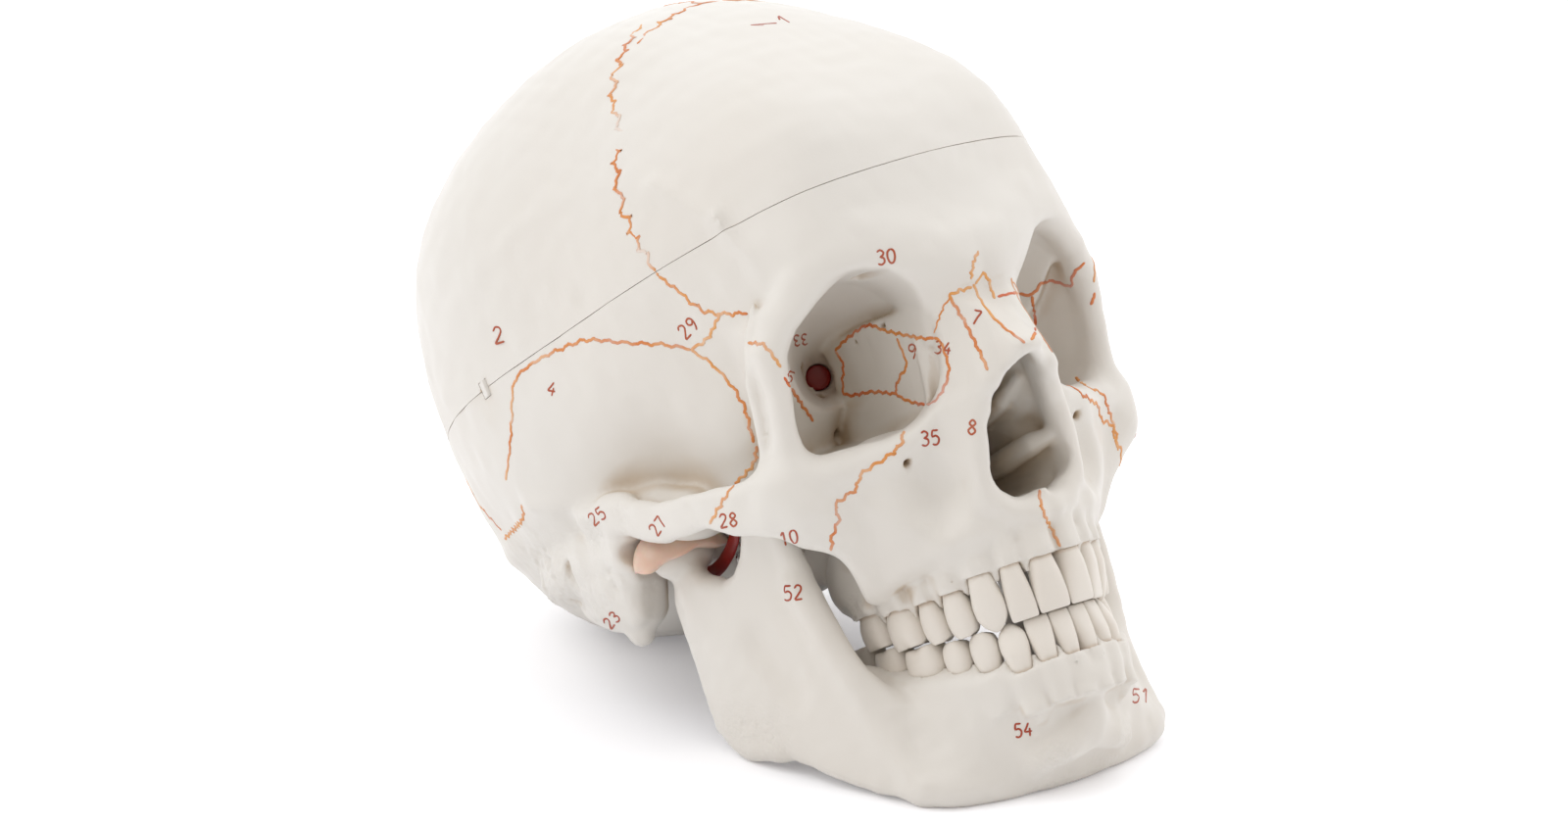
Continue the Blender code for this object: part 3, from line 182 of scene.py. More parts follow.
SKULL_RIBS: dict[str, list[Rib]] = {
    "cheek_arch": [((59, 58, -14.5), (57, 61, -6), 3.4), ((62.5, 51, -11.5), (61.5, 53, -4.5), 2.8),
                   ((64.3, 43, -7.5), (64.3, 43.5, -2.8), 2.5), ((65.1, 34, -7.2), (65.3, 34, -1.8), 2.4),
                   ((65.1, 26, -6.8), (65.3, 26, -1), 2.4), ((64.8, 18, -5), (65, 18, 1.5), 2.5),
                   ((63.6, 11, -1.5), (63.6, 11, 4), 2.8), ((62.5, 3, 1), (62.5, 3, 5.4), 3.4)],
    "outer_orbit_wall": [((51, 64, -4), (51, 68, 31), 2.6), ((46.5, 57, -4), (48.5, 60, 33), 2.4),
                         ((40, 49, -3), (42, 51, 31), 2.3), ((32, 42, 0), (34, 43, 27), 2.4)],
    "nose_wall": [((17, 82, -4), (9, 91, 24), 3.2), ((11.5, 94, -4), (6, 96, 20), 2.4)],
    "inner_orbit_wall": [((12.5, 84, -2), (10, 87, 26), 2.8), ((11, 62, -3), (10.8, 62, 26), 2.8),
                         ((12.4, 42, 2), (12.4, 42, 24), 2.8)],
    "orbit_floor": [((15, 80, -5), (46, 67, -7), 3.4), ((13, 60, -6), (42, 56, -7), 3.4),
                    ((13, 44, -2), (32, 42, -3), 3.4)],
    "face_front": [((33, 60, -34), (45, 64, -14), 6.0), ((28, 69, -32), (36, 69, -11), 6.0),
                   ((23, 76, -31), (27, 74, -9), 5.6), ((17, 82, -31), (20, 79, -8), 4.8)],
    "wing_plate": [((20, 38, -34), (18, 38, -6), 2.4), ((24, 31, -31), (20, 33, -6), 1.8),
                   ((27, 25, -27), (21, 28, -7), 1.5)],
    "inner_wing_plate": [((14, 36, -35), (14, 38, -8), 1.5), ((12.5, 30, -33), (13, 30, -8), 1.4)],
    "nose_roof": [((0, 91.6, 27), (5.5, 91, 27), 2.4), ((0, 95.3, 19.3), (6.2, 93, 19), 2.0),
                  ((0, 101.2, 11.6), (7.5, 97.5, 10.5), 1.9), ((0, 106.0, 7.6), (9, 98.2, 2.8), 1.6)],
    "nose_flank": [((5.5, 91, 27), (9.5, 88, 27), 2.4), ((6.2, 93, 19), (10.5, 88.5, 18), 2.2),
                   ((7.5, 97.5, 10.5), (12, 91, 9), 2.0), ((9, 98.2, 2.8), (13, 91.5, 0), 2.0)],
    "nose_side": [((14.0, 88, -26), (13.6, 91.5, -1), 2.6), ((16.5, 84.5, -26), (15.5, 87, -1), 3.0),
                  ((19, 81.5, -26), (17.5, 82.5, -2), 3.2)],
}
# The orbit's inner wall, joined once the orbit and nose are hollowed
ORBIT_WALL_RIBS: list[Rib] = [((13.0, 84, -2), (12.0, 86, 25), 1.5), ((12.6, 62, -4), (12.2, 62, 26), 1.7),
                              ((13.4, 46, 3), (13.0, 46, 25), 1.8)]
SKULL_EGGS: dict[str, tuple[Place, Place]] = {
    "cheek_bone": ((51.5, 61, -9), (9.5, 9, 11)),
    "maxilla": ((23, 67, -18), (15.5, 15, 17)),
    "maxilla_front": ((13, 74, -33), (13, 12, 9)),
    "tuberosity": ((28, 44, -33), (6, 8, 10)),
    "palate": ((0, 64, -31), (25, 25, 3.4)),
    "mastoid": ((55.5, -15, -11), (7.6, 11.5, 11)),
    "occipital_condyle": ((15, -8, -27), (5.5, 10, 5)),
    "eminence": ((52, 23, -5), (12, 5.5, 5.5)),
    "ear_drum_plate": ((58, 0, -6), (7, 6, 8)),
    "sphenoid_body": ((0, 32, 4), (15, 14, 14)),
    "glabella": ((0, 93, 36), (14, 6, 8)),
}
# What stands on the floor of the braincase, joined after it is hollowed
INNER_BARS: dict[str, tuple[Bar, float]] = {
    "petrous_ridge": ([(14, 12, 4, 4.5), (26, 4, 7, 5.0), (40, -6, 9, 5.2), (52, -16, 11, 4.5)], 3.0),
    "lesser_wing": ([(9, 44, 25, 2.6), (20, 42, 28, 2.4), (34, 44, 31, 2.2), (46, 50, 34, 2.2)], 2.5),
    "front_clinoid": ([(11, 43, 26, 2.6), (11.5, 35, 25, 1.8)], 1.5),
    "saddle_back": ([(0, 17, 17, 2.4), (6, 17, 17.5, 2.4), (8, 18, 20, 1.6)], 1.5),
    "cock_comb": ([(0, 76, 34, 1.8), (0, 70, 38, 1.3), (0, 62, 32, 1.5)], 2.0),
    "inner_crest": ([(0, -40, -22, 1.6), (0, -62, -14, 2.2), (0, -78, 2, 2.6), (0, -82, 22, 1.8)], 3.0),
    "inner_crossing": ([(0, -80, 10, 2.4), (20, -76, 12, 1.6), (40, -62, 12, 1.4)], 3.0),
}
# Carved away from the skull base: bars, then the width of the soft seam
SKULL_CARVES: dict[str, tuple[Bar, float]] = {
    "saddle": ([(0, 30, 19, 5.5), (6, 30, 20, 4.0)], 2.0),
    "olfactory_grooves": ([(3.6, 74, 30, 1.8), (3.6, 56, 28, 1.8)], 1.2),
    "inner_ear_hole": ([(22, 1, 5, 1.9), (30, -4, 3, 1.6)], 0.6),
    "oval_hole": ([(24, 24, 14, 2.2), (24, 24, -16, 2.2)], 0.8),
    "round_hole": ([(17, 34, 12, 1.4), (17, 42, 4, 1.4)], 0.6),
    "spine_hole": ([(30, 20, 12, 1.1), (31, 19, -14, 1.1)], 0.5),
    "torn_hole": ([(12, 18, 4, 2.8), (11, 18, -14, 2.6)], 1.2),
    "vein_hole": ([(24, -6, 0, 3.4), (25, -4, -22, 3.2), (32, -2, -24, 2.4)], 1.5),
    "carotid_hole": ([(28, 6, -24, 2.6), (28, 6, -12, 2.6)], 0.8),
    "hypoglossal_hole": ([(8, -8, -16, 1.6), (20, -2, -18, 1.6)], 0.6),
    "stylomastoid_hole": ([(47, -6, -24, 1.2), (47, -6, -12, 1.2)], 0.5),
    "condylar_pit": ([(18, -22, -26, 2.0), (18, -22, -18, 1.4)], 0.8),
    "digastric_groove": ([(46, -4, -27, 2.8), (48, -18, -27, 3.0), (50, -30, -20, 2.2)], 2.0),
    "crescent_pit": ([(62.2, -22.5, -4.5, 1.5), (62.7, -24.0, -7.4, 1.9), (61.8, -23.5, -10.2, 1.3)], 1.2),
    "arch_tooth_pit": ([(56, 13, -4, 4.2), (46, 12, -4, 3.6)], 3.0),
    "brow_notch": ([(25, 92, 34.5, 1.7), (24.5, 80, 37.5, 1.5)], 0.8),
    "cheek_foramen": ([(28.4, 82, -11.6, 1.2), (27.6, 77, -8.8, 1.0), (27.2, 73, -7.0, 0.8)], 0.9),
    "upper_fissure": ([(18, 41, 14, 1.7), (21, 42, 21, 1.5), (28, 47, 27, 1.1)], 0.7),
    "tear_pit": ([(14.0, 85.6, 14, 1.4), (14.8, 84.6, 8, 2.1), (15.2, 83.2, 1, 2.1), (15.0, 81, -6, 1.6)],
                 1.2),
    "front_ethmoid_hole": ([(14, 70, 25, 0.8), (9, 70, 25, 0.8)], 0.3),
    "back_ethmoid_hole": ([(14, 58, 24, 0.7), (9, 58, 24, 0.7)], 0.3),
    "incisive_hole": ([(0, 79, -38, 2.0), (0, 76, -26, 1.6)], 1.0),
    "palatine_hole": ([(16.5, 47, -40, 1.5), (16.5, 47, -28, 1.3)], 0.6),
    "palate_groove": ([(15, 50, -35.5, 1.2), (16, 62, -35.5, 1.0), (12, 72, -35.5, 0.8)], 1.5),
    "nose_behind": ([(7, 30, -20, 6.5), (7, 22, -20, 7.0)], 1.5),
    "cheek_hollow_edge": ([(49, 56, -32, 9.0), (42, 50, -34, 9.0)], 3.0),
}
SKULL_DENTS: dict[str, tuple[Place, Place, float]] = {
    "canine_dent": ((27, 84.5, -20), (8, 6.5, 9), 5.0),
    "incisor_dent": ((8, 92.6, -38), (4, 3.2, 4), 3.0),
    "cheek_back_dent": ((58, 50, -24), (8, 10, 8), 4.0),
    "palate_vault": ((0, 62, -42), (14, 22, 9), 3.0),
}
# Thin pieces in the nose, orbit and under the skull, joined after carving
LATE_BARS: dict[str, tuple[Bar, float]] = {
    "tear_crest": ([(13.6, 81.2, 18, 0.9), (14.2, 80.6, 9, 0.9), (15.2, 79.8, 0, 0.8)], 1.2),
    "styloid_root": ([(46, -1, -20, 2.2), (45, 1, -29, 1.4), (44.5, 2, -32, 0.8)], 2.0),
    "wing_hook": ([(13.4, 37, -34, 1.4), (15.5, 33, -37, 1.1)], 1.0),
    "condyle_edge": ([(15, 2, -27, 2.0), (18, -8, -29.5, 2.2), (13, -17, -28, 1.8)], 2.0),
    "magnum_edge": ([(0, -1, -26, 2.0), (9, -2.5, -27, 2.0)], 2.0),
    "ear_bumps": ([(61.0, -2.0, -9.5, 1.4), (61.6, -3.2, -11.6, 1.0), (61.3, -3.7, -14.4, 1.5),
                   (60.8, -5.6, -17.0, 1.0), (60.2, -6.0, -18.8, 1.5), (59.6, -6.4, -21.6, 1.1),
                   (58.8, -7.4, -24.0, 1.4)], 0.9),
    "temporal_edge": ([(51.0, 71, 38, 0.8), (53.6, 67.5, 28, 1.5), (54.2, 64.5, 20, 1.6),
                       (53.8, 62.5, 12, 1.6), (53.6, 60.5, 4, 1.6), (54.2, 58.5, -2, 1.6)], 1.6),
    "brow_corner": ([(51.8, 71, 18, 2.6), (51.3, 72.5, 24.9, 3.1), (47.7, 76.5, 31.5, 3.4),
                     (41.8, 80.5, 36.4, 3.4), (35, 84.0, 40.6, 3.0)], 2.4),
}
CONCHAE: dict[str, Bar] = {
    "lower_concha": [(12.4, 88, -14, 1.8), (10.6, 82, -14.6, 3.0), (10.2, 70, -16, 3.2),
                     (10.8, 58, -17, 2.6)],
    "middle_concha": [(9.6, 86, 2, 1.6), (8.6, 78, -2, 2.6), (8.8, 64, -5, 2.4)],
}
SEPTUM_RIBS: list[Rib] = [((0, 70, -28), (0.9, 80, 6), 1.1), ((0.8, 60, -29), (0.6, 62, 13), 1.1),
                          ((0, 34, -27), (0, 36, 3), 1.1)]

ORBIT_WIDTH = 39.0
ORBIT_HEIGHT = 40.5
ORBIT_RIM: Place = (31, 80, 17.5)
ORBIT_APEX: Place = (15.5, 41, 19.5)
ORBIT_POWER = 2.15
ORBIT_SIZES = [(-0.08, 0.0), (0.0, 0.20), (0.15, 0.38), (0.35, 0.62), (0.6, 0.87), (0.8, 1.0), (1.0, 1.0),
               (1.25, 1.06), (1.7, 1.22)]
CANAL_END: Place = (6.5, 26, 21)
CANAL_RADIUS = 3.5
EAR_PLACE: Place = (62, 4.4, -7.6)
EAR_RADIUS = 3.0
FORAMEN_MAGNUM: Place = (0, -18, -28)
FORAMEN_MAGNUM_RADII: Place = (14.5, 17.5, 19)
NOSE_RIBS = [((7.4, 96, -19), (3.6, 100.5, -1.5), 5.4, 3.3), ((7.6, 84, -20), (4.2, 90, 4), 5.8, 3.2),
             ((7.6, 68, -20), (4.8, 70, 12), 5.8, 3.0), ((7.6, 50, -18), (5.4, 52, 8), 5.8, 3.2),
             ((7.8, 30, -22), (7.2, 32, -14), 6.0, 5.0)]
NOSE_FRONT = [((0, 97, -18), (0, 102, -0.5), 6.4, 3.8), ((0, 88, -18), (0, 93, 0), 5.0, 3.0)]

# Tooth rows: half width, depth and start of the half oval, with its fullness
UPPER_ROW = (27.2, 44.5, 43.5)
LOWER_ROW = (25.8, 44.0, 42.0)
ROW_POWER = 2.15
TOOTH_GAP = 0.3

# Jaw
JAW_RIBS: list[Rib] = [
    ((50.5, 5, -56), (51, 6, -24), 3.6), ((51, 10, -62), (51, 11, -20), 3.6),
    ((51, 14, -64), (50.5, 17, -23), 3.5), ((50, 21, -65.5), (49.8, 22, -25), 3.2),
    ((48.5, 27, -68.5), (49, 28, -24.5), 3.0), ((46.5, 34, -73.5), (48.5, 34, -19), 3.0),
    ((44.5, 41, -79), (48, 39.5, -9), 3.0), ((42, 47, -83), (47.2, 43, -9), 3.2),
    ((40, 51.5, -85), (46.3, 46, -20), 3.4), ((38.5, 54, -86.2), (45, 45, -36), 3.8),
    ((37.5, 56, -87), (42.5, 45.5, -51), 4.2),
]
BODY_RIBS: list[Rib] = [
    ((37.5, 56, -87), (38, 44, -56.5), 4.4), ((36, 57.5, -88.2), (31, 44, -60.5), 5.2),
    ((33.5, 60, -89.6), (27.8, 52, -64), 5.2), ((29, 62, -90.8), (26, 60, -66), 5.2),
    ((24, 63.5, -91.8), (23, 68.5, -68), 5.0), ((17, 65, -92.6), (17.5, 76, -70), 4.7),
    ((9, 66.5, -93.4), (9, 82.5, -72), 4.5), ((0, 67, -93.6), (0, 84.5, -72), 4.5),
]
JAW_BARS: dict[str, tuple[Bar, float]] = {
    "neck": ([(51, 9.5, -12.5, 4.4), (51, 9.5, -20, 3.8), (51, 10, -28, 3.4)], 4.0),
    "oblique_line": ([(48.4, 46.6, -30, 1.8), (46, 48.6, -46, 2.3), (41.6, 50.0, -57, 3.2),
                      (36.6, 52.0, -65, 4.2), (31.0, 55.5, -74, 4.6)], 4.0),
    "chin_swell": ([(0, 79.5, -87, 4.4), (7, 78, -89, 4.0), (13, 74.5, -90.5, 3.0)], 6.0),
    "chin_mid": ([(0, 86.4, -76, 1.6), (0, 83.5, -84, 2.4)], 5.0),
    "muscle_line": ([(41, 44, -63, 1.6), (34, 48, -72, 1.4), (24, 58, -80, 1.2)], 4.0),
    "angle_edge": ([(50.8, 8, -58, 2.8), (51.2, 14, -64.5, 2.8), (50, 22, -67.5, 2.4)], 3.0),
    "chin_spine": ([(0, 62.5, -84, 1.6), (0, 60.8, -84.5, 0.9)], 2.0),
}
JAW_CARVES: dict[str, tuple[Bar, float]] = {
    "chin_foramen": ([(23.6, 80, -84.3, 1.3), (21.8, 76.6, -83.2, 1.0)], 1.0),
    "nerve_hole": ([(43, 27, -44, 2.0), (46.6, 26.4, -46, 1.6)], 1.2),
    "ramus_dent": ([(54.6, 30, -40, 4.0), (54.0, 36, -54, 4.0)], 5.0),
}
CONDYLE_RADII: Place = (9.5, 5.5, 5.5)

# The red strap that hangs from the skull base through the notch of the jaw, and its thickness and width
NOTCH_STRAP = [(43.4, 24, -10.2), (43.4, 23.0, -12.2), (43.4, 19.6, -14.9), (43.4, 14.4, -17.4),
               (43.4, 10.1, -18.4), (43.4, 6, -18.3), (43.4, 1.6, -16.0), (43.4, -1.4, -12), (43.4, -3.0, -8)]
STRAP_SIZE = (1.3, 3.8)

# Springs, sleeves, wire eyes and plugs
SPRING_TOP: Place = (39.5, 19, -18)
SPRING_FOOT: Place = (41.5, 20.5, -46)
SPRING_RADIUS = 1.8
SPRING_WIRE = 0.6
SPRING_CURLS = 10
EYE_RADIUS = 2.2
EYE_WIRE = 1.1
EYE_SHANK = 6.0
EYE_OPEN_TURN = math.radians(40)
SLEEVE_WALL = 0.8
PLUG_SETBACK = 1.5
PLUG_LENGTH = 7.5
DISC_THICKNESS = 4.2
# Rise at which the disc's outer and inner face end over the condyle's middle, in radians
DISC_LIFTS = (0.04, 0.10)
PIN_RADIUS = 1.1
PIN_LENGTH = 6.0
MAGNET_RADIUS = 1.5
MAGNET_LENGTH = 1.8
KEY_SIZE = (2.0, 3.4, 4.4)
KEY_BEVEL = 0.28
# How much larger than its fitting a seat is
SEAT_ROOM = 0.3


def place(spot: Sequence[float], side: int = 1) -> Array:
    """Turn a (left, forward, up) place into a point of the skull's frame, on one side (1 left, -1 right)."""
    return np.array((spot[0] * side, -spot[1], spot[2]), float)


def unit(vector: Array) -> Array:
    """Scale vectors along the last axis to length one."""
    return vector / np.maximum(np.linalg.norm(vector, axis=-1, keepdims=True), 1e-9)


CUT_UP = np.array((0.0, math.sin(math.radians(CUT_RISE)), math.cos(math.radians(CUT_RISE))))
CUT_MIDDLE = np.array((0.0, 0.0, CUT_HEIGHT))


@dataclass(frozen=True)
class Lie:
    """How the skull lies in the row frame, read from the frame's two joints.

    The cap lifts along the saw cut's normal, which gives the tilt, and the jaw's axis gives the place.
    """

    turn: Array
    shift: Array

    @classmethod
    def from_joints(cls, joints: Iterable[dict]) -> "Lie":
        """Work the lie out.

        Args:
            joints: The frame's joints.
        Returns:
            The lie.
        """
        named = {joint["name"]: joint for joint in joints}
        lift = named["calvarium_lift"]["axis"]
        tilt = math.atan2(lift[1], lift[2]) - math.radians(CUT_RISE)
        turn = np.array(Matrix.Rotation(-tilt, 3, "X"))
        hinge = np.array(named["jaw_hinge"]["pos_m"])
        return cls(turn, hinge - turn @ place((0, *CONDYLE_PLACE[1:])) * MM)

    def point(self, points: Array) -> Array:
        """Carry points from the skull's frame, in millimetres, to the row frame, in metres."""
        return points @ self.turn.T * MM + self.shift

    def back(self, points: Array) -> Array:
        """Carry points from the row frame, in metres, to the skull's frame, in millimetres."""
        return (points - self.shift) @ self.turn / MM

    def way(self, ways: Array) -> Array:
        """Carry directions from the skull's frame to the row frame."""
        return ways @ self.turn.T

    def matrix(self) -> Matrix:
        """Return the matrix that carries a mesh from the skull's frame, in millimetres, to the row frame."""
        turned = Matrix(self.turn.tolist()).to_4x4()
        return Matrix.Translation(self.shift) @ turned @ Matrix.Scale(MM, 4)


LIE = Lie.from_joints(frame["joints"])


# Surfaces


class Surface:
    """A surface given by a field that is negative inside, in the skull's frame."""

    slope_step = 0.4

    def sample(self, points: Array) -> Array:
        """Return the field at points."""
        raise NotImplementedError

    def slope(self, points: Array) -> Array:
        """Return the field's gradient, as the difference of two samples along each axis."""
        steps = np.eye(3) * self.slope_step
        columns = [self.sample(points + step) - self.sample(points - step) for step in steps]
        return np.stack(columns, axis=-1) / (2 * self.slope_step)

    def normal(self, points: Array) -> Array:
        """Return the outward way at points."""
        return unit(self.slope(points))

    def project(self, points: Array, rounds: int = 4) -> Array:
        """Move points to the surface, by steps of the field over its slope.

        Args:
            points: Points near the surface.
            rounds: Number of steps.
        Returns:
            The moved points.
        """
        for _ in range(rounds):
            slope = self.slope(points)
            size = np.maximum((slope ** 2).sum(-1), 0.05)
            points = points - (np.clip(self.sample(points) / size, -1.2, 1.2))[:, None] * slope
        return points

    def cast(self, start: Array, ways: Array, near: float, far: float) -> Array:
        """March rays until they meet the surface.

        Each ray steps on by a share of the field's value, and never by less than a small step.

        Args:
            start: The rays' common start.
            ways: Unit directions.
            near: Distance to start at.
            far: Distance to give up at.
        Returns:
            The distance along each ray, or far where it meets nothing.
        """
        reach = np.full(len(ways), near)
        going = np.arange(len(ways))
        while len(going):
            value = self.sample(start + ways[going] * reach[going][:, None])
            reach[going] += np.where(value > 0.02, np.clip(value * 0.6, 0.05, 2.0), 0.0)
            going = going[(value > 0.02) & (reach[going] < far)]
        return np.minimum(reach, far)


def line_distance(points: Array, spots: Array) -> Array:
    """Return the distance from points to a line of straight pieces through spots."""
    if len(spots) == 1:
        return np.linalg.norm(points - spots[0], axis=-1)
    nearest = None
    for start, end in zip(spots, spots[1:]):
        along = end - start
        share = np.clip(((points - start) @ along) / (along @ along), 0, 1)
        apart = np.linalg.norm(points - start - share[..., None] * along, axis=-1)
        nearest = apart if nearest is None else np.minimum(nearest, apart)
    return nearest


class RadiusField:
    """A smooth radius over all directions from the braincase's centre that passes through given places.

    The radius is a sum of cubes of the distances between unit directions, plus a linear part. Relief is
    added to it: each ridge is its height times a bell curve of the distance to the ridge's line.
    """

    def __init__(self, spots: Iterable[tuple[Place, float]],
                 relief: dict[str, tuple[list[Place], float, float]]) -> None:
        """Solve for the weights.

        Args:
            spots: Places with the depth that the surface lies inside each of them.
            relief: Ridges as places, height and half width.
        """
        self.centre = place(VAULT_CENTRE)
        self.relief = [(np.array([place(spot) for spot in line]), height, width)
                       for line, height, width in relief.values()]
        both = [(place(spot, side) - self.centre, inset) for spot, inset in spots for side in (1, -1)
                if spot[0] or side > 0]
        offsets = np.array([offset for offset, _ in both])
        reach = np.linalg.norm(offsets, axis=1)
        self.ways = offsets / reach[:, None]
        count = len(reach)
        system = np.zeros((count + 4, count + 4))
        system[:count, :count] = np.linalg.norm(self.ways[:, None] - self.ways[None], axis=2) ** 3
        system[:count, count] = 1
        system[:count, count + 1:] = self.ways
        system[count:, :count] = system[:count, count:].T
        goal = np.concatenate([reach - np.array([inset for _, inset in both]), np.zeros(4)])
        self.weights = np.linalg.solve(system, goal)

    def plain(self, ways: Array) -> Array:
        """Return the radius along unit directions, without relief."""
        flat = ways.reshape(-1, 3)
        count = len(self.ways)
        kernel = np.sqrt(np.maximum(2 - 2 * flat @ self.ways.T, 0)) ** 3
        radius = kernel @ self.weights[:count] + self.weights[count] + flat @ self.weights[count + 1:]
        return radius.reshape(ways.shape[:-1])

    def __call__(self, ways: Array) -> Array:
        """Return the radius along unit directions."""
        radius = self.plain(ways)
        points = self.centre + ways * radius[..., None]
        points[..., 0] = np.abs(points[..., 0])
        for line, height, width in self.relief:
            radius = radius + height * np.exp(-(line_distance(points, line) / width) ** 2)
        return radius


def both_radii() -> tuple[Callable[[Array], Array], Callable[[Array], Array]]:
    """Return the braincase's outer and inner radius, the inner one a least wall inside the outer."""
    outer = RadiusField([(spot, 0.0) for spot in VAULT_PLACES], VAULT_RELIEF)
    roof = [(spot, VAULT_WALL) for spot in VAULT_PLACES if spot[2] > CUT_HEIGHT - LEAST_WALL]
    free = RadiusField([(spot, 0.0) for spot in INNER_PLACES] + roof, INNER_RELIEF)

    def inner(ways: Array) -> Array:
        return np.minimum(free(ways), outer.plain(ways) - LEAST_WALL)

    return outer, inner


class Vault(Surface):
    """One surface of the braincase, as a field: the distance from its centre less the radius that way."""

    def __init__(self, radius: Callable[[Array], Array], rows: int = 271, columns: int = 541) -> None:
        """Tabulate the radius over polar angle and turn.

        Args:
            radius: Radius along unit directions.
            rows: Steps of the polar angle.
            columns: Steps of the turn.
        """
        self.centre = place(VAULT_CENTRE)
        polar = np.linspace(0, math.pi, rows)[:, None]
        turn = np.linspace(-math.pi, math.pi, columns)[None]
        ways = np.stack(np.broadcast_arrays(np.sin(polar) * np.cos(turn), np.sin(polar) * np.sin(turn),
                                            np.cos(polar)), axis=-1)
        self.radii = radius(ways)

    def distance(self, x: Array, y: Array, z: Array) -> Array:
        """Return the field at coordinates that spread over each other."""
        dx, dy, dz = x - self.centre[0], y - self.centre[1], z - self.centre[2]
        reach = np.sqrt(dx * dx + dy * dy + dz * dz) + 1e-6
        rows, columns = self.radii.shape
        row = np.arccos(np.clip(dz / reach, -1, 1)) / math.pi * (rows - 1)
        column = (np.arctan2(dy, dx) / math.pi + 1) / 2 * (columns - 1)
        top = np.clip(row.astype(int), 0, rows - 2)
        left = np.clip(column.astype(int), 0, columns - 2)
        down, across = row - top, column - left
        upper = self.radii[top, left] * (1 - across) + self.radii[top, left + 1] * across
        lower = self.radii[top + 1, left] * (1 - across) + self.radii[top + 1, left + 1] * across
        return reach - (upper * (1 - down) + lower * down)

    def sample(self, points: Array) -> Array:
        """Return the field at points."""
        return self.distance(points[..., 0], points[..., 1], points[..., 2])


@dataclass(frozen=True)
class CutSurface(Surface):
    """A surface kept only above or below the saw cut."""

    whole: Surface
    above: bool

    def sample(self, points: Array) -> Array:
        """Return the larger of the surface's field and the cut's."""
        height = (points - CUT_MIDDLE) @ CUT_UP
        return np.maximum(self.whole.sample(points), -height if self.above else height)


@dataclass(frozen=True)
class CapRoom(Surface):
    """The wall between the braincase's two surfaces."""

    outer: Surface
    inner: Surface

    def sample(self, points: Array) -> Array:
        """Return the larger of the outer field and the inner field's negative."""
        return np.maximum(self.outer.sample(points), -self.inner.sample(points))


# Forms that a bone's field is put together from


@dataclass(frozen=True)
class Rod:
    """A tapered rod with round ends: the distance to its axis less a radius that changes along it."""

    start: Array
    end: Array
    start_radius: float
    end_radius: float

    def box(self) -> tuple[Array, Array]:
        """Return the corners of the box that holds the rod."""
        low = np.minimum(self.start - self.start_radius, self.end - self.end_radius)
        high = np.maximum(self.start + self.start_radius, self.end + self.end_radius)
        return low, high

    def distance(self, x: Array, y: Array, z: Array) -> Array:
        """Return the distance at grid coordinates."""
        along = self.end - self.start
        dx, dy, dz = x - self.start[0], y - self.start[1], z - self.start[2]
        share = np.clip((dx * along[0] + dy * along[1] + dz * along[2]) / (along @ along + 1e-9), 0, 1)
        across = np.sqrt((dx - share * along[0]) ** 2 + (dy - share * along[1]) ** 2
                         + (dz - share * along[2]) ** 2)
        return across - (self.start_radius + share * (self.end_radius - self.start_radius))


@dataclass(frozen=True)
class Egg:
    """An ellipsoid. Its distance is estimated as scaled radius times itself less one, over the slope."""

    centre: Array
    radii: Array

    def box(self) -> tuple[Array, Array]:
        """Return the corners of the box that holds the ellipsoid."""
        return self.centre - self.radii, self.centre + self.radii

    def distance(self, x: Array, y: Array, z: Array) -> Array:
        """Return the distance at grid coordinates."""
        dx, dy, dz = ((axis - mid) / size for axis, mid, size in zip((x, y, z), self.centre, self.radii))
        scaled = np.sqrt(dx ** 2 + dy ** 2 + dz ** 2)
        steep = np.sqrt((dx / self.radii[0]) ** 2 + (dy / self.radii[1]) ** 2 + (dz / self.radii[2]) ** 2)
        return np.where(steep > 1e-6, scaled * (scaled - 1) / np.maximum(steep, 1e-6), -self.radii.min())


@dataclass(frozen=True)
class Peg:
    """An upright post of rounded-square section on a tooth's own axes: along the row, outwards and up."""

    centre: Array
    along: Array
    half_sizes: tuple[float, float, float]
    power: float = 2.6

    def box(self) -> tuple[Array, Array]:
        """Return the corners of the box that holds the post."""
        wide = max(self.half_sizes[:2])
        reach = np.array((wide, wide, self.half_sizes[2]))
        return self.centre - reach, self.centre + reach

    def distance(self, x: Array, y: Array, z: Array) -> Array:
        """Return the distance at grid coordinates."""
        dx, dy, dz = x - self.centre[0], y - self.centre[1], z - self.centre[2]
        row = dx * self.along[0] + dy * self.along[1]
        out = dx * -self.along[1] + dy * self.along[0]
        wide, thick, tall = self.half_sizes
        section = (np.abs(row / wide) ** self.power + np.abs(out / thick) ** self.power) ** (1 / self.power)
        side = (section - 1) * min(wide, thick) + 0 * dz
        return np.maximum(side, np.abs(dz) - tall)


@dataclass(frozen=True)
class OrbitForm:
    """The eye socket's space: rounded squares whose size changes from its apex to its rim."""

    apex: Array
    rim: Array

    def box(self) -> tuple[Array, Array]:
        """Return the corners of the box that holds the space."""
        half = np.array((ORBIT_WIDTH, 0, ORBIT_HEIGHT)) / 2 * ORBIT_SIZES[-1][1]
        far = self.apex + (self.rim - self.apex) * ORBIT_SIZES[-1][0]
        near = self.apex + (self.rim - self.apex) * ORBIT_SIZES[0][0]
        return np.minimum(near, far) - half, np.maximum(near, far) + half

    def distance(self, x: Array, y: Array, z: Array) -> Array:
        """Return the distance at grid coordinates."""
        along = self.rim - self.apex
        share = (y - self.apex[1]) / along[1]
        dx = np.abs(x - self.apex[0] - share * along[0]) / (ORBIT_WIDTH / 2)
        dz = np.abs(z - self.apex[2] - share * along[2]) / (ORBIT_HEIGHT / 2)
        size = np.interp(share, *np.array(ORBIT_SIZES).T)
        section = (dx ** ORBIT_POWER + dz ** ORBIT_POWER) ** (1 / ORBIT_POWER)
        return (section - size) * ORBIT_WIDTH / 2 * 0.85


Form = Rod | Egg | Peg | OrbitForm


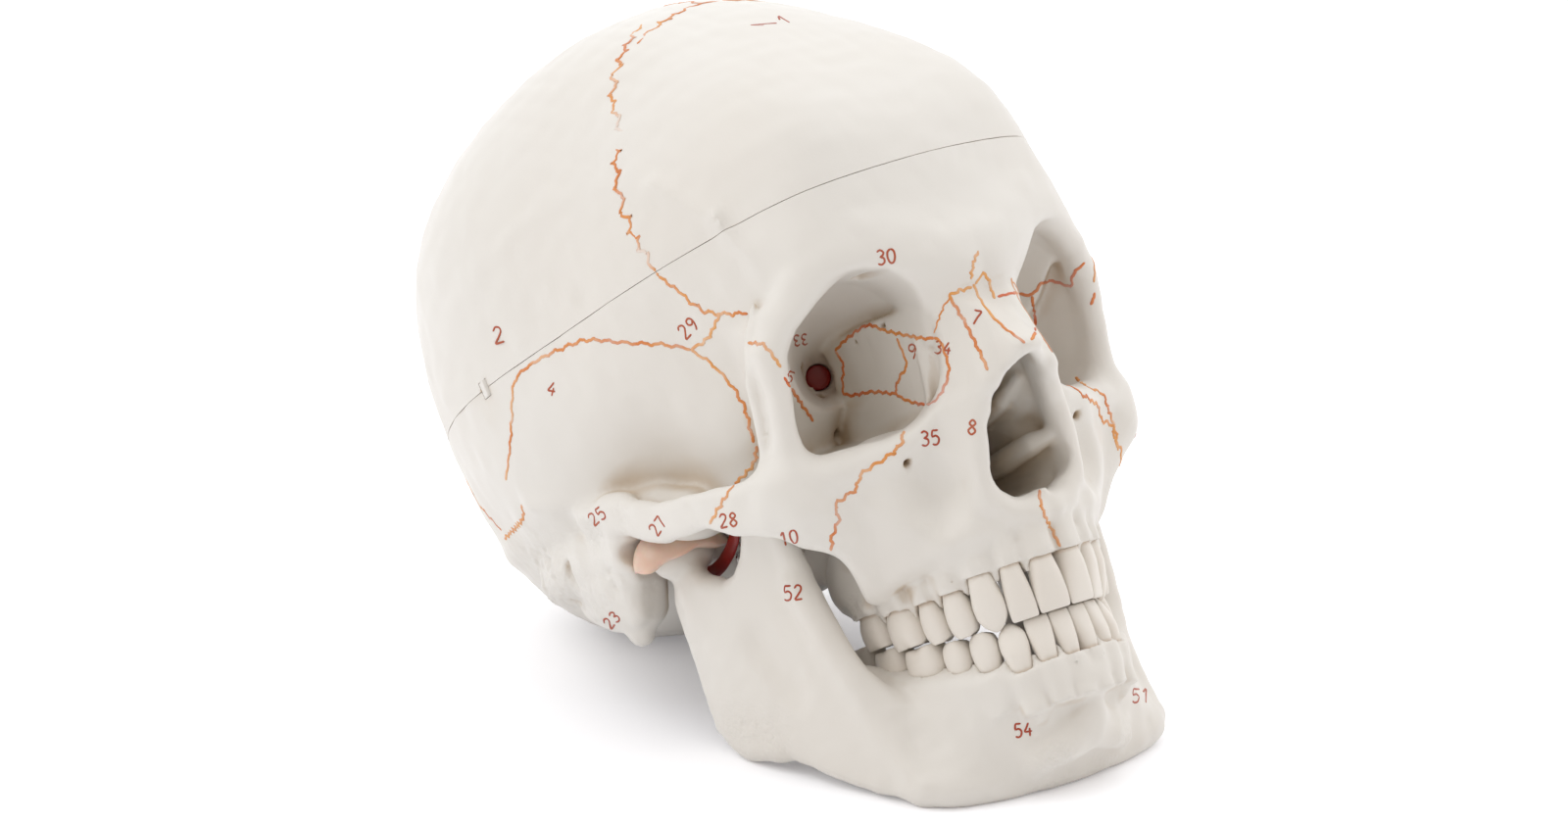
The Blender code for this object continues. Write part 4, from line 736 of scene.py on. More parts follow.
def chain(spots: Bar) -> list[Form]:
    """Return rods from each (left, forward, up, radius) place to the next."""
    return [Rod(place(a), place(b), a[3], b[3]) for a, b in zip(spots, spots[1:])]


def plate(ribs: Sequence[tuple], spacing: float = 1.3) -> list[Form]:
    """Return rods side by side, from foot places to head places, that close up into a plate.

    Args:
        ribs: Foot place, head place, foot radius and, if it differs, head radius of each rib.
        spacing: Widest step between rods.
    Returns:
        The rods.
    """
    rods: list[Form] = []
    for first, second in zip(ribs, ribs[1:]):
        feet, heads = (np.array([place(rib[end]) for rib in (first, second)]) for end in (0, 1))
        widest = max(np.linalg.norm(feet[1] - feet[0]), np.linalg.norm(heads[1] - heads[0]))
        for share in np.linspace(0, 1, int(widest / spacing) + 2):
            foot_radius, head_radius = (first[end] + (second[end] - first[end]) * share for end in (2, -1))
            rods.append(Rod(feet[0] + (feet[1] - feet[0]) * share, heads[0] + (heads[1] - heads[0]) * share,
                            foot_radius, head_radius))
    return rods


def soft_least(first: Array, second: Array, seam: float) -> Array:
    """Return the lesser of two distances, less (seam - gap) squared over 4 seams where they are close."""
    gap = np.maximum(seam - np.abs(first - second), 0)
    return np.minimum(first, second) - gap * gap / (4 * seam)


def ripples(x: Array, y: Array, z: Array, height: float, length: float, seed: int, count: int = 20) -> Array:
    """Return gentle unevenness: the mean of cosine waves of random way, phase and about the given length."""
    rng = np.random.default_rng(seed)
    total = 0.0
    for _ in range(count):
        wave = rng.normal(size=3)
        wave = (wave * (2 * math.pi / (np.linalg.norm(wave) * length
                                       * rng.uniform(0.6, 1.6)))).astype(np.float32)
        total = total + np.cos(wave[0] * x + wave[1] * y + wave[2] * z + rng.uniform(0, 2 * math.pi))
    return total * (height / math.sqrt(count / 2))


class BoneGrid(Surface):
    """A field on a regular grid. It is built on the left half, mirrored, and meshed.

    The field starts as empty space. Forms are joined to it or taken from it with a soft seam of a given
    width.
    """

    empty = 40.0

    def __init__(self, low: Place, high: Place, step: float) -> None:
        """Lay the grid out.

        Args:
            low: Lowest corner, in the skull's frame; its x isn't used, because the grid starts at the
            midline.
            high: Highest corner.
            step: Distance between grid points.
        """
        self.step = step
        starts = (step / 2, low[1], low[2])
        self.axes = [np.arange(start, end, step) for start, end in zip(starts, high)]
        self.values = np.full([len(axis) for axis in self.axes], self.empty, np.float32)

    def window(self, low: Array, high: Array, margin: float) -> tuple[tuple[slice, ...], list[Array]] | None:
        """Return the slices and coordinates of the grid within a box, or None if there are none."""
        slices = []
        for coordinates, start, end in zip(self.axes, low - margin, high + margin):
            first, last = np.searchsorted(coordinates, (start, end))
            if first == last:
                return None
            slices.append(slice(int(first), int(last)))
        shapes = [(-1, 1, 1), (1, -1, 1), (1, 1, -1)]
        return tuple(slices), [axis[cut].reshape(shape)
                               for axis, cut, shape in zip(self.axes, slices, shapes)]

    def group(self, forms: Sequence[Form], seam: float) -> tuple[tuple[slice, ...], Array] | None:
        """Return the distance to the nearest of several forms, in the window that holds them all."""
        boxes = [form.box() for form in forms]
        margin = seam + 3 * self.step
        found = self.window(np.min([box[0] for box in boxes], axis=0),
                            np.max([box[1] for box in boxes], axis=0), margin)
        if found is None:
            return None
        slices, _ = found
        nearest = np.full([cut.stop - cut.start for cut in slices], self.empty, np.float32)
        for form, box in zip(forms, boxes):
            own = self.window(*box, margin)
            if own is None:
                continue
            inner = tuple(slice(cut.start - whole.start, cut.stop - whole.start)
                          for cut, whole in zip(own[0], slices))
            nearest[inner] = np.minimum(nearest[inner], form.distance(*own[1]))
        return slices, nearest

    def join(self, forms: Sequence[Form], seam: float = 3.0) -> None:
        """Join forms to the bone: the smaller of both distances, rounded where they are nearly equal."""
        found = self.group(forms, seam)
        if found:
            slices, other = found
            self.values[slices] = soft_least(self.values[slices], other, seam)

    def carve(self, forms: Sequence[Form], seam: float = 1.0) -> None:
        """Take forms from the bone: the larger of the distance and the form's negative, rounded likewise."""
        found = self.group(forms, seam)
        if found:
            slices, other = found
            self.values[slices] = -soft_least(-self.values[slices], other, seam)

    def coordinates(self) -> list[Array]:
        """Return the whole grid's coordinates, ready to spread over its three axes."""
        return [axis.reshape(shape) for axis, shape in zip(self.axes, [(-1, 1, 1), (1, -1, 1), (1, 1, -1)])]

    def soften(self) -> None:
        """Blur the field once along each axis, with weights of a quarter, a half and a quarter."""
        for axis in range(3):
            values = np.moveaxis(self.values, axis, 0)
            before = np.concatenate([values[:1], values[:-1]])
            after = np.concatenate([values[1:], values[-1:]])
            values[:] = (before + 2 * values + after) / 4

    def ripple(self, height: float, length: float, seed: int) -> None:
        """Add gentle unevenness to the field."""
        self.values += ripples(*(axis.astype(np.float32) for axis in self.coordinates()), height, length,
                               seed)

    def pit(self, places: Sequence[tuple[Place, float, float]]) -> None:
        """Roughen the bone round some places, by short waves that die away like a bell curve."""
        for spot, reach, height in places:
            centre = place(spot)
            found = self.window(centre, centre, reach * 2)
            if not found:
                continue
            slices, (x, y, z) = found
            near = np.exp(-((x - centre[0]) ** 2 + (y - centre[1]) ** 2 + (z - centre[2]) ** 2) / reach ** 2)
            waves = ripples(x.astype(np.float32), y.astype(np.float32), z.astype(np.float32), 1.0, 4.2, 17)
            self.values[slices] += (np.abs(waves) - 0.5) * near * height

    def mirror(self) -> None:
        """Add the right half: the grid's x axis then runs from right to left."""
        self.values = np.concatenate([self.values[::-1], self.values])
        self.axes[0] = np.concatenate([-self.axes[0][::-1], self.axes[0]])

    def settle(self) -> None:
        """Fill grid points where the surface would touch itself along an edge or at a corner."""
        for _ in range(12):
            inside = self.values < 0
            filled = np.zeros_like(inside)
            for axis in range(3):
                first, second = (other for other in range(3) if other != axis)
                a, b, c, d = (shifted(inside, first, p, second, q)
                              for p, q in ((0, 0), (1, 0), (1, 1), (0, 1)))
                crossed = (a == c) & (b == d) & (a != b)
                for p, q in ((0, 0), (1, 0), (1, 1), (0, 1)):
                    shifted(filled, first, p, second, q)[...] |= crossed
            filled &= ~inside
            if not filled.any():
                return
            self.values[filled] = -0.02

    def sample(self, points: Array) -> Array:
        """Return the field at points, by trilinear look-up."""
        cells, shares = [], []
        for axis, size in enumerate(self.values.shape):
            position = (points[..., axis] - self.axes[axis][0]) / self.step
            cell = np.clip(position.astype(int), 0, size - 2)
            cells.append(cell)
            shares.append(np.clip(position - cell, 0, 1))
        total = 0.0
        for corner in np.ndindex(2, 2, 2):
            weight = 1.0
            for step, share in zip(corner, shares):
                weight = weight * (share if step else 1 - share)
            total = total + weight * self.values[tuple(cell + step for cell, step in zip(cells, corner))]
        return total

    def mesh(self) -> tuple[Array, Array]:
        """Mesh the surface: one vertex in each crossed cell, and one quad round each crossed edge.

        A vertex is the mean of the points where the surface crosses its cell's edges.

        Returns:
            The vertices and the quads.
        """
        inside = self.values < 0
        corners = [tuple(slice(step, step + size - 1) for step, size in zip(corner, inside.shape))
                   for corner in np.ndindex(2, 2, 2)]
        count = sum(inside[corner].astype(np.int8) for corner in corners)
        active = (count > 0) & (count < 8)
        where = np.array(np.nonzero(active))
        index = np.full(active.shape, -1, np.int64)
        index[active] = np.arange(where.shape[1])
        total = np.zeros((where.shape[1], 3))
        crossings = np.zeros(where.shape[1])
        for axis in range(3):
            for first in np.ndindex(2, 2, 2):
                if first[axis]:
                    continue
                start = where + np.array(first)[:, None]
                end = start.copy()
                end[axis] += 1
                near, far = self.values[tuple(start)], self.values[tuple(end)]
                crossed = (near < 0) != (far < 0)
                share = np.where(crossed, near / np.where(crossed, near - far, 1), 0)
                point = start.T.astype(float)
                point[:, axis] += share
                total += point * crossed[:, None]
                crossings += crossed
        origin = np.array([axis[0] for axis in self.axes])
        vertices = total / crossings[:, None] * self.step + origin
        quads = []
        for axis in range(3):
            ahead = [slice(1, -1)] * 3
            here = list(ahead)
            here[axis], ahead[axis] = slice(0, -1), slice(1, None)
            near, far = inside[tuple(here)], inside[tuple(ahead)]
            spots = np.array(np.nonzero(near != far))
            outward = near[tuple(spots)]
            side_a, side_b = (other for other in range(3) if other != axis)
            spots[side_a] += 1
            spots[side_b] += 1
            around = []
            for back_a, back_b in ((1, 1), (0, 1), (0, 0), (1, 0)):
                spot = spots.copy()
                spot[side_a] -= back_a
                spot[side_b] -= back_b
                around.append(index[tuple(spot)])
            quad = np.stack(around, axis=1)
            facing = np.cross(vertices[quad[:, 2]] - vertices[quad[:, 0]], vertices[quad[:, 3]]
                              - vertices[quad[:, 1]])
            turned = (facing[:, axis] > 0) != outward
            quad[turned] = quad[turned][:, ::-1]
            quads.append(quad)
        return vertices, np.concatenate(quads)


def shifted(values: Array, first: int, p: int, second: int, q: int) -> Array:
    """Return a view of a grid moved by p along one axis and q along another, one shorter along both."""
    cut = [slice(None)] * 3
    for axis, step in ((first, p), (second, q)):
        cut[axis] = slice(step, values.shape[axis] - 1 + step)
    return values[tuple(cut)]


# Teeth


class ToothKind(Enum):
    """Forms of teeth: rings from root end to biting edge, as (height, width, thickness, lean outwards).

    Heights under 0 are shares of the root's length, the others shares of the crown's. The last ring is a
    point.
    """

    INCISOR = "incisor"
    CANINE = "canine"
    PREMOLAR = "premolar"
    MOLAR = "molar"


TOOTH_RINGS: dict[ToothKind, list[tuple[float, float, float, float]]] = {
    ToothKind.INCISOR: [(-1.0, 0.0, 0.0, 0), (-0.97, 0.28, 0.30, 0), (-0.6, 0.58, 0.72, 0),
                        (-0.15, 0.74, 0.90, 0), (0.0, 0.76, 0.94, 0), (0.10, 0.79, 1.0, 0.01),
                        (0.28, 0.88, 0.97, 0.02), (0.50, 0.965, 0.80, 0.03), (0.72, 1.0, 0.58, 0.05),
                        (0.88, 0.985, 0.40, 0.06), (0.96, 0.955, 0.30, 0.06), (0.99, 0.90, 0.22, 0.06),
                        (1.0, 0.80, 0.12, 0.06), (1.0, 0.0, 0.0, 0.06)],
    ToothKind.CANINE: [(-1.0, 0.0, 0.0, 0), (-0.97, 0.28, 0.30, 0), (-0.6, 0.58, 0.72, 0),
                       (-0.15, 0.74, 0.90, 0), (0.0, 0.76, 0.94, 0), (0.10, 0.79, 1.0, 0.02),
                       (0.30, 0.90, 1.0, 0.03), (0.52, 1.0, 0.86, 0.04), (0.70, 0.96, 0.66, 0.04),
                       (0.83, 0.76, 0.50, 0.03), (0.92, 0.50, 0.36, 0.02), (0.975, 0.26, 0.22, 0.01),
                       (1.0, 0.10, 0.10, 0), (1.0, 0, 0, 0)],
    ToothKind.PREMOLAR: [(-1.0, 0.0, 0.0, 0), (-0.97, 0.30, 0.32, 0), (-0.6, 0.60, 0.66, 0),
                         (-0.15, 0.74, 0.84, 0), (0.0, 0.77, 0.88, 0), (0.12, 0.84, 0.95, 0),
                         (0.34, 0.97, 1.0, 0), (0.55, 1.0, 0.99, 0), (0.72, 0.965, 0.92, 0),
                         (0.86, 0.86, 0.80, 0), (0.92, 0.66, 0.62, 0), (0.90, 0.42, 0.42, 0),
                         (0.86, 0.20, 0.2, 0), (0.85, 0, 0, 0)],
    ToothKind.MOLAR: [(-1.0, 0.0, 0.0, 0), (-0.97, 0.40, 0.40, 0), (-0.6, 0.72, 0.72, 0),
                      (-0.15, 0.84, 0.84, 0), (0.0, 0.86, 0.86, 0), (0.12, 0.91, 0.93, 0),
                      (0.34, 0.99, 1.0, 0), (0.55, 1.0, 1.0, 0), (0.74, 0.975, 0.94, 0),
                      (0.88, 0.90, 0.84, 0), (0.93, 0.74, 0.68, 0), (0.90, 0.50, 0.46, 0),
                      (0.84, 0.24, 0.22, 0), (0.82, 0, 0, 0)],
}
# Cusps on the biting face: (along the row, outwards, height, width), as shares of tooth and crown
CUSPS: dict[ToothKind, list[tuple[float, float, float, float]]] = {
    ToothKind.INCISOR: [(-0.32, 0.0, 0.004, 0.12), (0.0, 0.0, 0.004, 0.12), (0.32, 0.0, 0.004, 0.12)],
    ToothKind.CANINE: [],
    ToothKind.PREMOLAR: [(0.0, 0.27, 0.14, 0.19), (0.02, -0.27, 0.08, 0.18), (0.0, 0.0, -0.06, 0.10)],
    ToothKind.MOLAR: [(-0.24, 0.25, 0.15, 0.16), (0.24, 0.25, 0.14, 0.16), (-0.22, -0.25, 0.12, 0.16),
                      (0.24, -0.24, 0.11, 0.16), (0.0, 0.0, -0.08, 0.10), (0.0, 0.42, -0.07, 0.09),
                      (0.0, -0.42, -0.06, 0.09), (0.42, 0.0, -0.05, 0.08), (-0.42, 0.0, -0.05, 0.08)],
}


@dataclass(frozen=True)
class ToothSize:
    """One tooth's name and sizes: width and thickness, height of the bone's edge, and height of its tip."""

    name: str
    width: float
    thickness: float
    gum: float
    tip: float
    root: float = 13.0

    @property
    def kind(self) -> ToothKind:
        """Form of tooth that the name stands for."""
        return ToothKind(self.name.split("_")[-1])


UPPER_TEETH = [
    ToothSize("central_incisor", 8.5, 7.0, -43.2, -56.4, 13),
    ToothSize("lateral_incisor", 6.8, 6.2, -42.8, -56.5, 12),
    ToothSize("canine", 7.8, 7.8, -42.6, -57.2, 17), ToothSize("first_premolar", 7.1, 8.6, -44.6, -56.0,
                                                               13),
    ToothSize("second_premolar", 6.9, 8.6, -45.0, -55.2, 13),
    ToothSize("first_molar", 10.1, 10.2, -44.4, -53.7, 12),
    ToothSize("second_molar", 9.5, 10.0, -43.0, -51.2, 11),
]
LOWER_TEETH = [
    ToothSize("central_incisor", 5.5, 6.0, -67.6, -56.4, 12),
    ToothSize("lateral_incisor", 6.1, 6.2, -67.4, -56.3, 12),
    ToothSize("canine", 7.0, 7.4, -68.2, -55.9, 15), ToothSize("first_premolar", 7.1, 7.6, -65.8, -55.9,
                                                               13),
    ToothSize("second_premolar", 7.3, 8.2, -64.6, -55.6, 13),
    ToothSize("first_molar", 11.0, 9.8, -62.6, -54.3, 13),
    ToothSize("second_molar", 10.4, 9.6, -60.2, -52.0, 12),
    ToothSize("third_molar", 9.8, 9.0, -57.4, -49.2, 10),
]


@dataclass(frozen=True)
class ToothSeat:
    """Where one tooth of the left side stands: its place, and the ways along the row and outwards."""

    size: ToothSize
    spot: Array
    along: Array
    outward: Array
    grow: int

    def at(self, run: float, out: float, height: float) -> Array:
        """Return a point given along the row, outwards, and above the gum line away from the tip."""
        return self.spot + self.along * run + self.outward * out + np.array((0, 0, -self.grow * height))


@dataclass(frozen=True)
class ToothRow:
    """A row of teeth along a half oval, from the midline to the back, on the left side."""

    shape: tuple[float, float, float]
    teeth: Sequence[ToothSize]
    grow: int

    def seats(self) -> list[ToothSeat]:
        """Return the seat of each tooth.

        The oval's points are (half width times sine to a power, depth times cosine to that power), and each
        tooth's middle lies at its share of the run along it.
        """
        half_width, depth, start = self.shape
        turns = np.linspace(0, math.pi / 2, 400)
        across = half_width * np.sin(turns) ** (2 / ROW_POWER)
        ahead = start + depth * np.cos(turns) ** (2 / ROW_POWER)
        run = np.concatenate([[0], np.cumsum(np.hypot(np.diff(across), np.diff(ahead)))])
        seats = []
        reach = TOOTH_GAP / 2
        for size in self.teeth:
            middle = reach + size.width / 2
            reach += size.width + TOOTH_GAP
            if middle >= run[-1]:
                spot = (half_width, start - (middle - run[-1]))
                along = np.array((0.0, 1.0, 0.0))
            else:
                spot = (np.interp(middle, run, across), np.interp(middle, run, ahead))
                change = [np.interp(middle + 1, run, line) - np.interp(middle - 1, run, line)
                          for line in (across, ahead)]
                along = unit(np.array((change[0], -change[1], 0.0)))
            outward = np.array((along[1], -along[0], 0.0))
            seats.append(ToothSeat(size, place((*spot, size.gum)), along, outward, self.grow))
        return seats


class Tooth:
    """One tooth as a mesh: rings of rounded squares from root end to tip, with cusps and grooves on top."""

    around = 40
    steps = 56
    fuller = 0.34

    def __init__(self, seat: ToothSeat, seed: int) -> None:
        """Keep where the tooth stands, and a seed for its small unevenness."""
        self.seat = seat
        self.rng = np.random.default_rng(seed)

    def points(self) -> Array:
        """Return the mesh's points in the skull's frame, as steps by around.

        A ring's point is (width times signed cosine to a power, thickness times signed sine to that power).
        The rings' sizes are read from the kind's table along its run, and cusps are bell curves added to
        the height.
        """
        size = self.seat.size
        rings = np.array(TOOTH_RINGS[size.kind])
        crown = abs(size.tip - size.gum)
        heights = np.where(rings[:, 0] < 0, rings[:, 0] * 6.0, rings[:, 0] * crown)
        table = np.column_stack([heights, rings[:, 1] * (size.width + self.fuller) / 2, rings[:, 2]
                                 * size.thickness / 2, rings[:, 3] * size.thickness])
        run = np.concatenate([[0], np.cumsum(np.hypot(*np.diff(table[:, :2], axis=0).T) + 1e-3)])
        spots = np.linspace(0, run[-1], self.steps)
        height, wide, thick, lean = (smooth_line(run, column, spots)[:, None] for column in table.T)
        wide, thick = np.maximum(wide, 0), np.maximum(thick, 0)
        turn = np.linspace(0, 2 * math.pi, self.around, endpoint=False)[None]
        power = 2 / 2.5
        across = np.sign(np.cos(turn)) * np.abs(np.cos(turn)) ** power * wide
        outward = np.sign(np.sin(turn)) * np.abs(np.sin(turn)) ** power * thick
        front = size.kind in (ToothKind.INCISOR, ToothKind.CANINE)
        flare = (0.10 if front else 0.03) * np.clip(height / crown * 1.6, 0, 1)
        across = across * (1 + flare * np.sin(turn))
        if front:
            hollow = np.clip(height / crown, 0, 1) * (1 - np.clip(height / crown, 0, 1)) * 4
            outward = outward + np.where(outward < 0, hollow * thick * 0.30, 0) * (1
                                                                                   - (across
                                                                                      / (wide + 0.01)) ** 2)
        share_row, share_out = across / size.width, outward / size.thickness
        top = np.clip((height / crown - 0.55) / 0.3, 0, 1)
        rise = sum(tall * np.exp(-((share_row - row) ** 2 + (share_out - out) ** 2) / (2 * wide_by ** 2))
                   for row, out, tall, wide_by in CUSPS[size.kind]) if CUSPS[size.kind] else 0.0
        tallest = height + top * rise * crown
        tallest = np.where(height > 0, np.minimum(tallest, crown), tallest)
        scale = 1 + 0.012 * self.rng.normal(size=3)
        sized = np.stack([across * scale[0], outward * scale[1] + lean, tallest + 0 * turn], axis=-1)
        seat = self.seat
        return (seat.spot + sized[..., :1] * seat.along + sized[..., 1:2] * seat.outward
                + sized[..., 2:] * np.array((0, 0, seat.grow)))


def smooth_line(run: Array, values: Array, spots: Array) -> Array:
    """Read values at spots along a run, on a curve of cubics whose slopes are kept from overshooting."""
    gaps = np.diff(run)
    slopes = np.diff(values) / gaps
    ends = np.concatenate([[slopes[0]], np.where(slopes[:-1] * slopes[1:] > 0, 2 * slopes[:-1] * slopes[1:]
                           / (slopes[:-1] + slopes[1:] + 1e-12), 0), [slopes[-1]]])
    cell = np.clip(np.searchsorted(run, spots, side="right") - 1, 0, len(gaps) - 1)
    share = (spots - run[cell]) / gaps[cell]
    first, last = values[cell], values[cell + 1]
    start, end = ends[cell] * gaps[cell], ends[cell + 1] * gaps[cell]
    return ((2 * share ** 3 - 3 * share ** 2 + 1) * first + (share ** 3 - 2 * share ** 2 + share) * start
            + (3 * share ** 2 - 2 * share ** 3) * last + (share ** 3 - share ** 2) * end)


# Bones


def carve_vault(grid: BoneGrid, vault: Vault, seam: float) -> None:
    """Take what lies inside a vault from a grid, with a soft seam."""
    grid.values = -soft_least(-grid.values, vault.distance(*grid.coordinates()).astype(np.float32), seam)


def grow_collars(grid: BoneGrid, seats: Sequence[ToothSeat], far: float) -> None:
    """Join the bone round a row of teeth: a collar, root swellings and the rises between teeth.

    Args:
        grid: The bone's field.
        seats: The row's seats.
        far: How far the collars reach from the gum line.
    """
    for seat in seats:
        size = seat.size
        wide = size.width * 0.5 + 0.2
        thick = size.thickness * 0.46 + 1.0
        middle = seat.at(0, -0.2, 0.4 + far / 2)
        grid.join([Peg(middle, seat.along, (wide, thick, far / 2))], 1.6)
        edge = size.thickness * 0.5
        molar = size.kind is ToothKind.MOLAR
        root, sunk, fine = (size.root * 0.8, 1.0, 0.7) if seat.grow < 0 else (size.root * 0.75, 3.2, 0.5)
        for run in ((-0.24 * size.width, 0.22 * size.width) if molar else (0.0,)):
            radius = size.width * (0.20 if molar else 0.31)
            top = Rod(seat.at(run, edge - radius + 0.5, 2.2), seat.at(run * 0.8, edge - radius - sunk, root),
                      radius, radius * fine)
            grid.join([top], 1.8)
        back = Rod(seat.at(0, -edge + 2.2, 2.0), seat.at(0, -edge + 3.4, size.root * 0.8), 2.0, 1.6)
        grid.join([back], 2.0)
    for first, second in zip(seats, seats[1:]):
        middle = (first.spot + second.spot) / 2
        outward = unit(first.outward + second.outward)
        half = min(first.size.thickness, second.size.thickness) / 2 - 1.7
        lift = np.array((0, 0, first.grow * 1.0))
        for side in (-1, 1):
            start = middle + outward * half * side * 0.8 + lift
            grid.join([Rod(start + 1.1 * lift, start - 5 * lift, 0.7, 1.8)], 1.2)


def carve_sockets(grid: BoneGrid, seats: Sequence[ToothSeat]) -> None:
    """Take the tooth necks' room from the bone, so that a fine dark line shows round each tooth."""
    for seat in seats:
        size = seat.size
        neck, deep = (0.84, 0.86) if size.kind is ToothKind.MOLAR else (0.75, 0.92)
        sizes = (size.width / 2 * neck + 0.06, size.thickness / 2 * deep + 0.06, 3.4)
        grid.carve([Peg(seat.at(0, 0, -0.6), seat.along, sizes, 2.5)], 0.5)


def grow_skull_base(outer: Vault, inner: Vault, upper: Sequence[ToothSeat]) -> BoneGrid:
    """Put the skull base's field together.

    Args:
        outer: Outer surface of the braincase.
        inner: Inner surface of the braincase.
        upper: Seats of the upper teeth.
    Returns:
        The field.
    """
    grid = BoneGrid(BASE_LOW, BASE_HIGH, BASE_STEP)
    grid.values = outer.distance(*grid.coordinates()).astype(np.float32)
    for bar in SKULL_BARS.values():
        grid.join(chain(bar), 3.0)
    for ribs in SKULL_RIBS.values():
        grid.join(plate(ribs), 2.6)
    for centre, radii in SKULL_EGGS.values():
        grid.join([Egg(place(centre), np.array(radii, float))], 4.0)
    grid.soften()
    for centre, radii, seam in SKULL_DENTS.values():
        grid.carve([Egg(place(centre), np.array(radii, float))], seam)
    grow_collars(grid, upper, 12.0)
    carve_vault(grid, inner, 0.8)
    for bar, seam in INNER_BARS.values():
        grid.join(chain(bar), seam)
    grid.ripple(0.10, 9.0, 3)
    grid.pit(PITTED_PLACES)
    canal_start, canal_end = place(ORBIT_APEX), place(CANAL_END)
    grid.join([Rod(canal_start, canal_end, CANAL_RADIUS + 2.0, CANAL_RADIUS + 1.6)], 1.0)
    grid.carve([OrbitForm(place(ORBIT_APEX), place(ORBIT_RIM))], 1.6)
    ear = place(EAR_PLACE)
    grid.carve([Rod(ear - np.array((9.5, 0, 0)), ear + np.array((12, 0, 0)), EAR_RADIUS - 0.6, EAR_RADIUS
                    + 0.3)], 0.8)
    disc = np.array(CONDYLE_RADII) + DISC_THICKNESS + 0.5
    grid.carve([Egg(place(CONDYLE_PLACE), disc)], 1.2)
    grid.carve(plate(NOSE_RIBS), 1.0)
    grid.carve(plate(NOSE_FRONT), 1.0)
    grid.join(plate(ORBIT_WALL_RIBS), 2.0)
    canal_mouth = canal_start + (canal_start - canal_end) * 0.3
    grid.carve([Rod(canal_mouth, canal_end + (canal_end - canal_start) * 0.2, CANAL_RADIUS, CANAL_RADIUS)],
               0.5)
    grid.carve([Egg(place(FORAMEN_MAGNUM), np.array(FORAMEN_MAGNUM_RADII, float))], 1.6)
    for bar, seam in SKULL_CARVES.values():
        grid.carve(chain(bar), seam)
    for bar in CONCHAE.values():
        grid.join(chain(bar), 1.2)
    grid.join(plate(SEPTUM_RIBS), 1.0)
    for bar, seam in LATE_BARS.values():
        grid.join(chain(bar), seam)
    carve_sockets(grid, upper)
    grid.mirror()
    return grid


def grow_jaw(lower: Sequence[ToothSeat]) -> BoneGrid:
    """Put the jaw's field together.

    Args:
        lower: Seats of the lower teeth.
    Returns:
        The field.
    """
    grid = BoneGrid(JAW_LOW, JAW_HIGH, JAW_STEP)
    grid.join(plate(JAW_RIBS), 3.0)
    grid.join(plate(BODY_RIBS), 3.0)
    for bar, seam in JAW_BARS.values():
        grid.join(chain(bar), seam)
    grid.soften()
    grow_collars(grid, lower, 11.0)
    grid.join([Egg(place(CONDYLE_PLACE), np.array(CONDYLE_RADII))], 1.5)
    grid.ripple(0.10, 8.0, 5)
    for bar, seam in JAW_CARVES.values():
        grid.carve(chain(bar), seam)
    carve_sockets(grid, lower)
    grid.mirror()
    return grid


# Meshes


def new_mesh(name: str, points: Array, faces: Sequence[Array]) -> bpy.types.Mesh:
    """Make a mesh from point and face arrays.

    Args:
        name: Name of the mesh.
        points: Points, one a row.
        faces: Arrays of faces, each with its own number of corners.
    Returns:
        The mesh.
    """
    faces = [part for part in faces if len(part)]
    loops = np.concatenate([part.ravel() for part in faces])
    corners = np.concatenate([np.full(len(part), part.shape[1]) for part in faces])
    mesh = bpy.data.meshes.new(name)
    mesh.vertices.add(len(points))
    mesh.vertices.foreach_set("co", np.ascontiguousarray(points, np.float32).ravel())
    mesh.loops.add(len(loops))
    mesh.loops.foreach_set("vertex_index", loops.astype(np.int32))
    mesh.polygons.add(len(corners))
    mesh.polygons.foreach_set("loop_start", np.concatenate([[0], np.cumsum(corners)[:-1]]).astype(np.int32))
    mesh.update(calc_edges=True)
    mesh.validate()
    mesh.shade_smooth()
    return mesh


def new_object(name: str, data: bpy.types.ID) -> bpy.types.Object:
    """Make an object of a mesh, lamp or camera in the scene."""
    obj = bpy.data.objects.new(name, data)
    bpy.context.scene.collection.objects.link(obj)
    return obj


def bake(obj: bpy.types.Object) -> None:
    """Replace an object's mesh by what its modifiers make of it."""
    graph = bpy.context.evaluated_depsgraph_get()
    graph.update()
    mesh = bpy.data.meshes.new_from_object(obj.evaluated_get(graph))
    obj.modifiers.clear()
    old = obj.data
    obj.data = mesh
    bpy.data.meshes.remove(old)


def modify(obj: bpy.types.Object, kind: str, **settings: object) -> None:
    """Run one modifier with the settings given on an object's mesh."""
    modifier = obj.modifiers.new(kind.lower(), kind)
    for name, value in settings.items():
        setattr(modifier, name, value)
    bake(obj)


def carve_mesh(obj: bpy.types.Object, cutter: bpy.types.Object) -> None:
    """Cut one closed mesh out of another, and drop the cutter."""
    modify(obj, "BOOLEAN", operation="DIFFERENCE", solver="MANIFOLD", object=cutter)
    bpy.data.objects.remove(cutter, do_unlink=True)


def thin(obj: bpy.types.Object, most: int) -> None:
    """Thin a mesh out until it has no more than the given number of triangles."""
    count = sum(len(polygon.vertices) - 2 for polygon in obj.data.polygons)
    if count > most:
        modify(obj, "DECIMATE", ratio=most / count * 0.995)


def points_of(mesh: bpy.types.Mesh) -> Array:
    """Return a mesh's points as an array."""
    points = np.empty(len(mesh.vertices) * 3, np.float32)
    mesh.vertices.foreach_get("co", points)
    return points.reshape(-1, 3).astype(float)


def normals_of(mesh: bpy.types.Mesh) -> Array:
    """Return a mesh's point normals as an array."""
    normals = np.empty(len(mesh.vertices) * 3, np.float32)
    mesh.vertex_normals.foreach_get("vector", normals)
    return normals.reshape(-1, 3).astype(float)


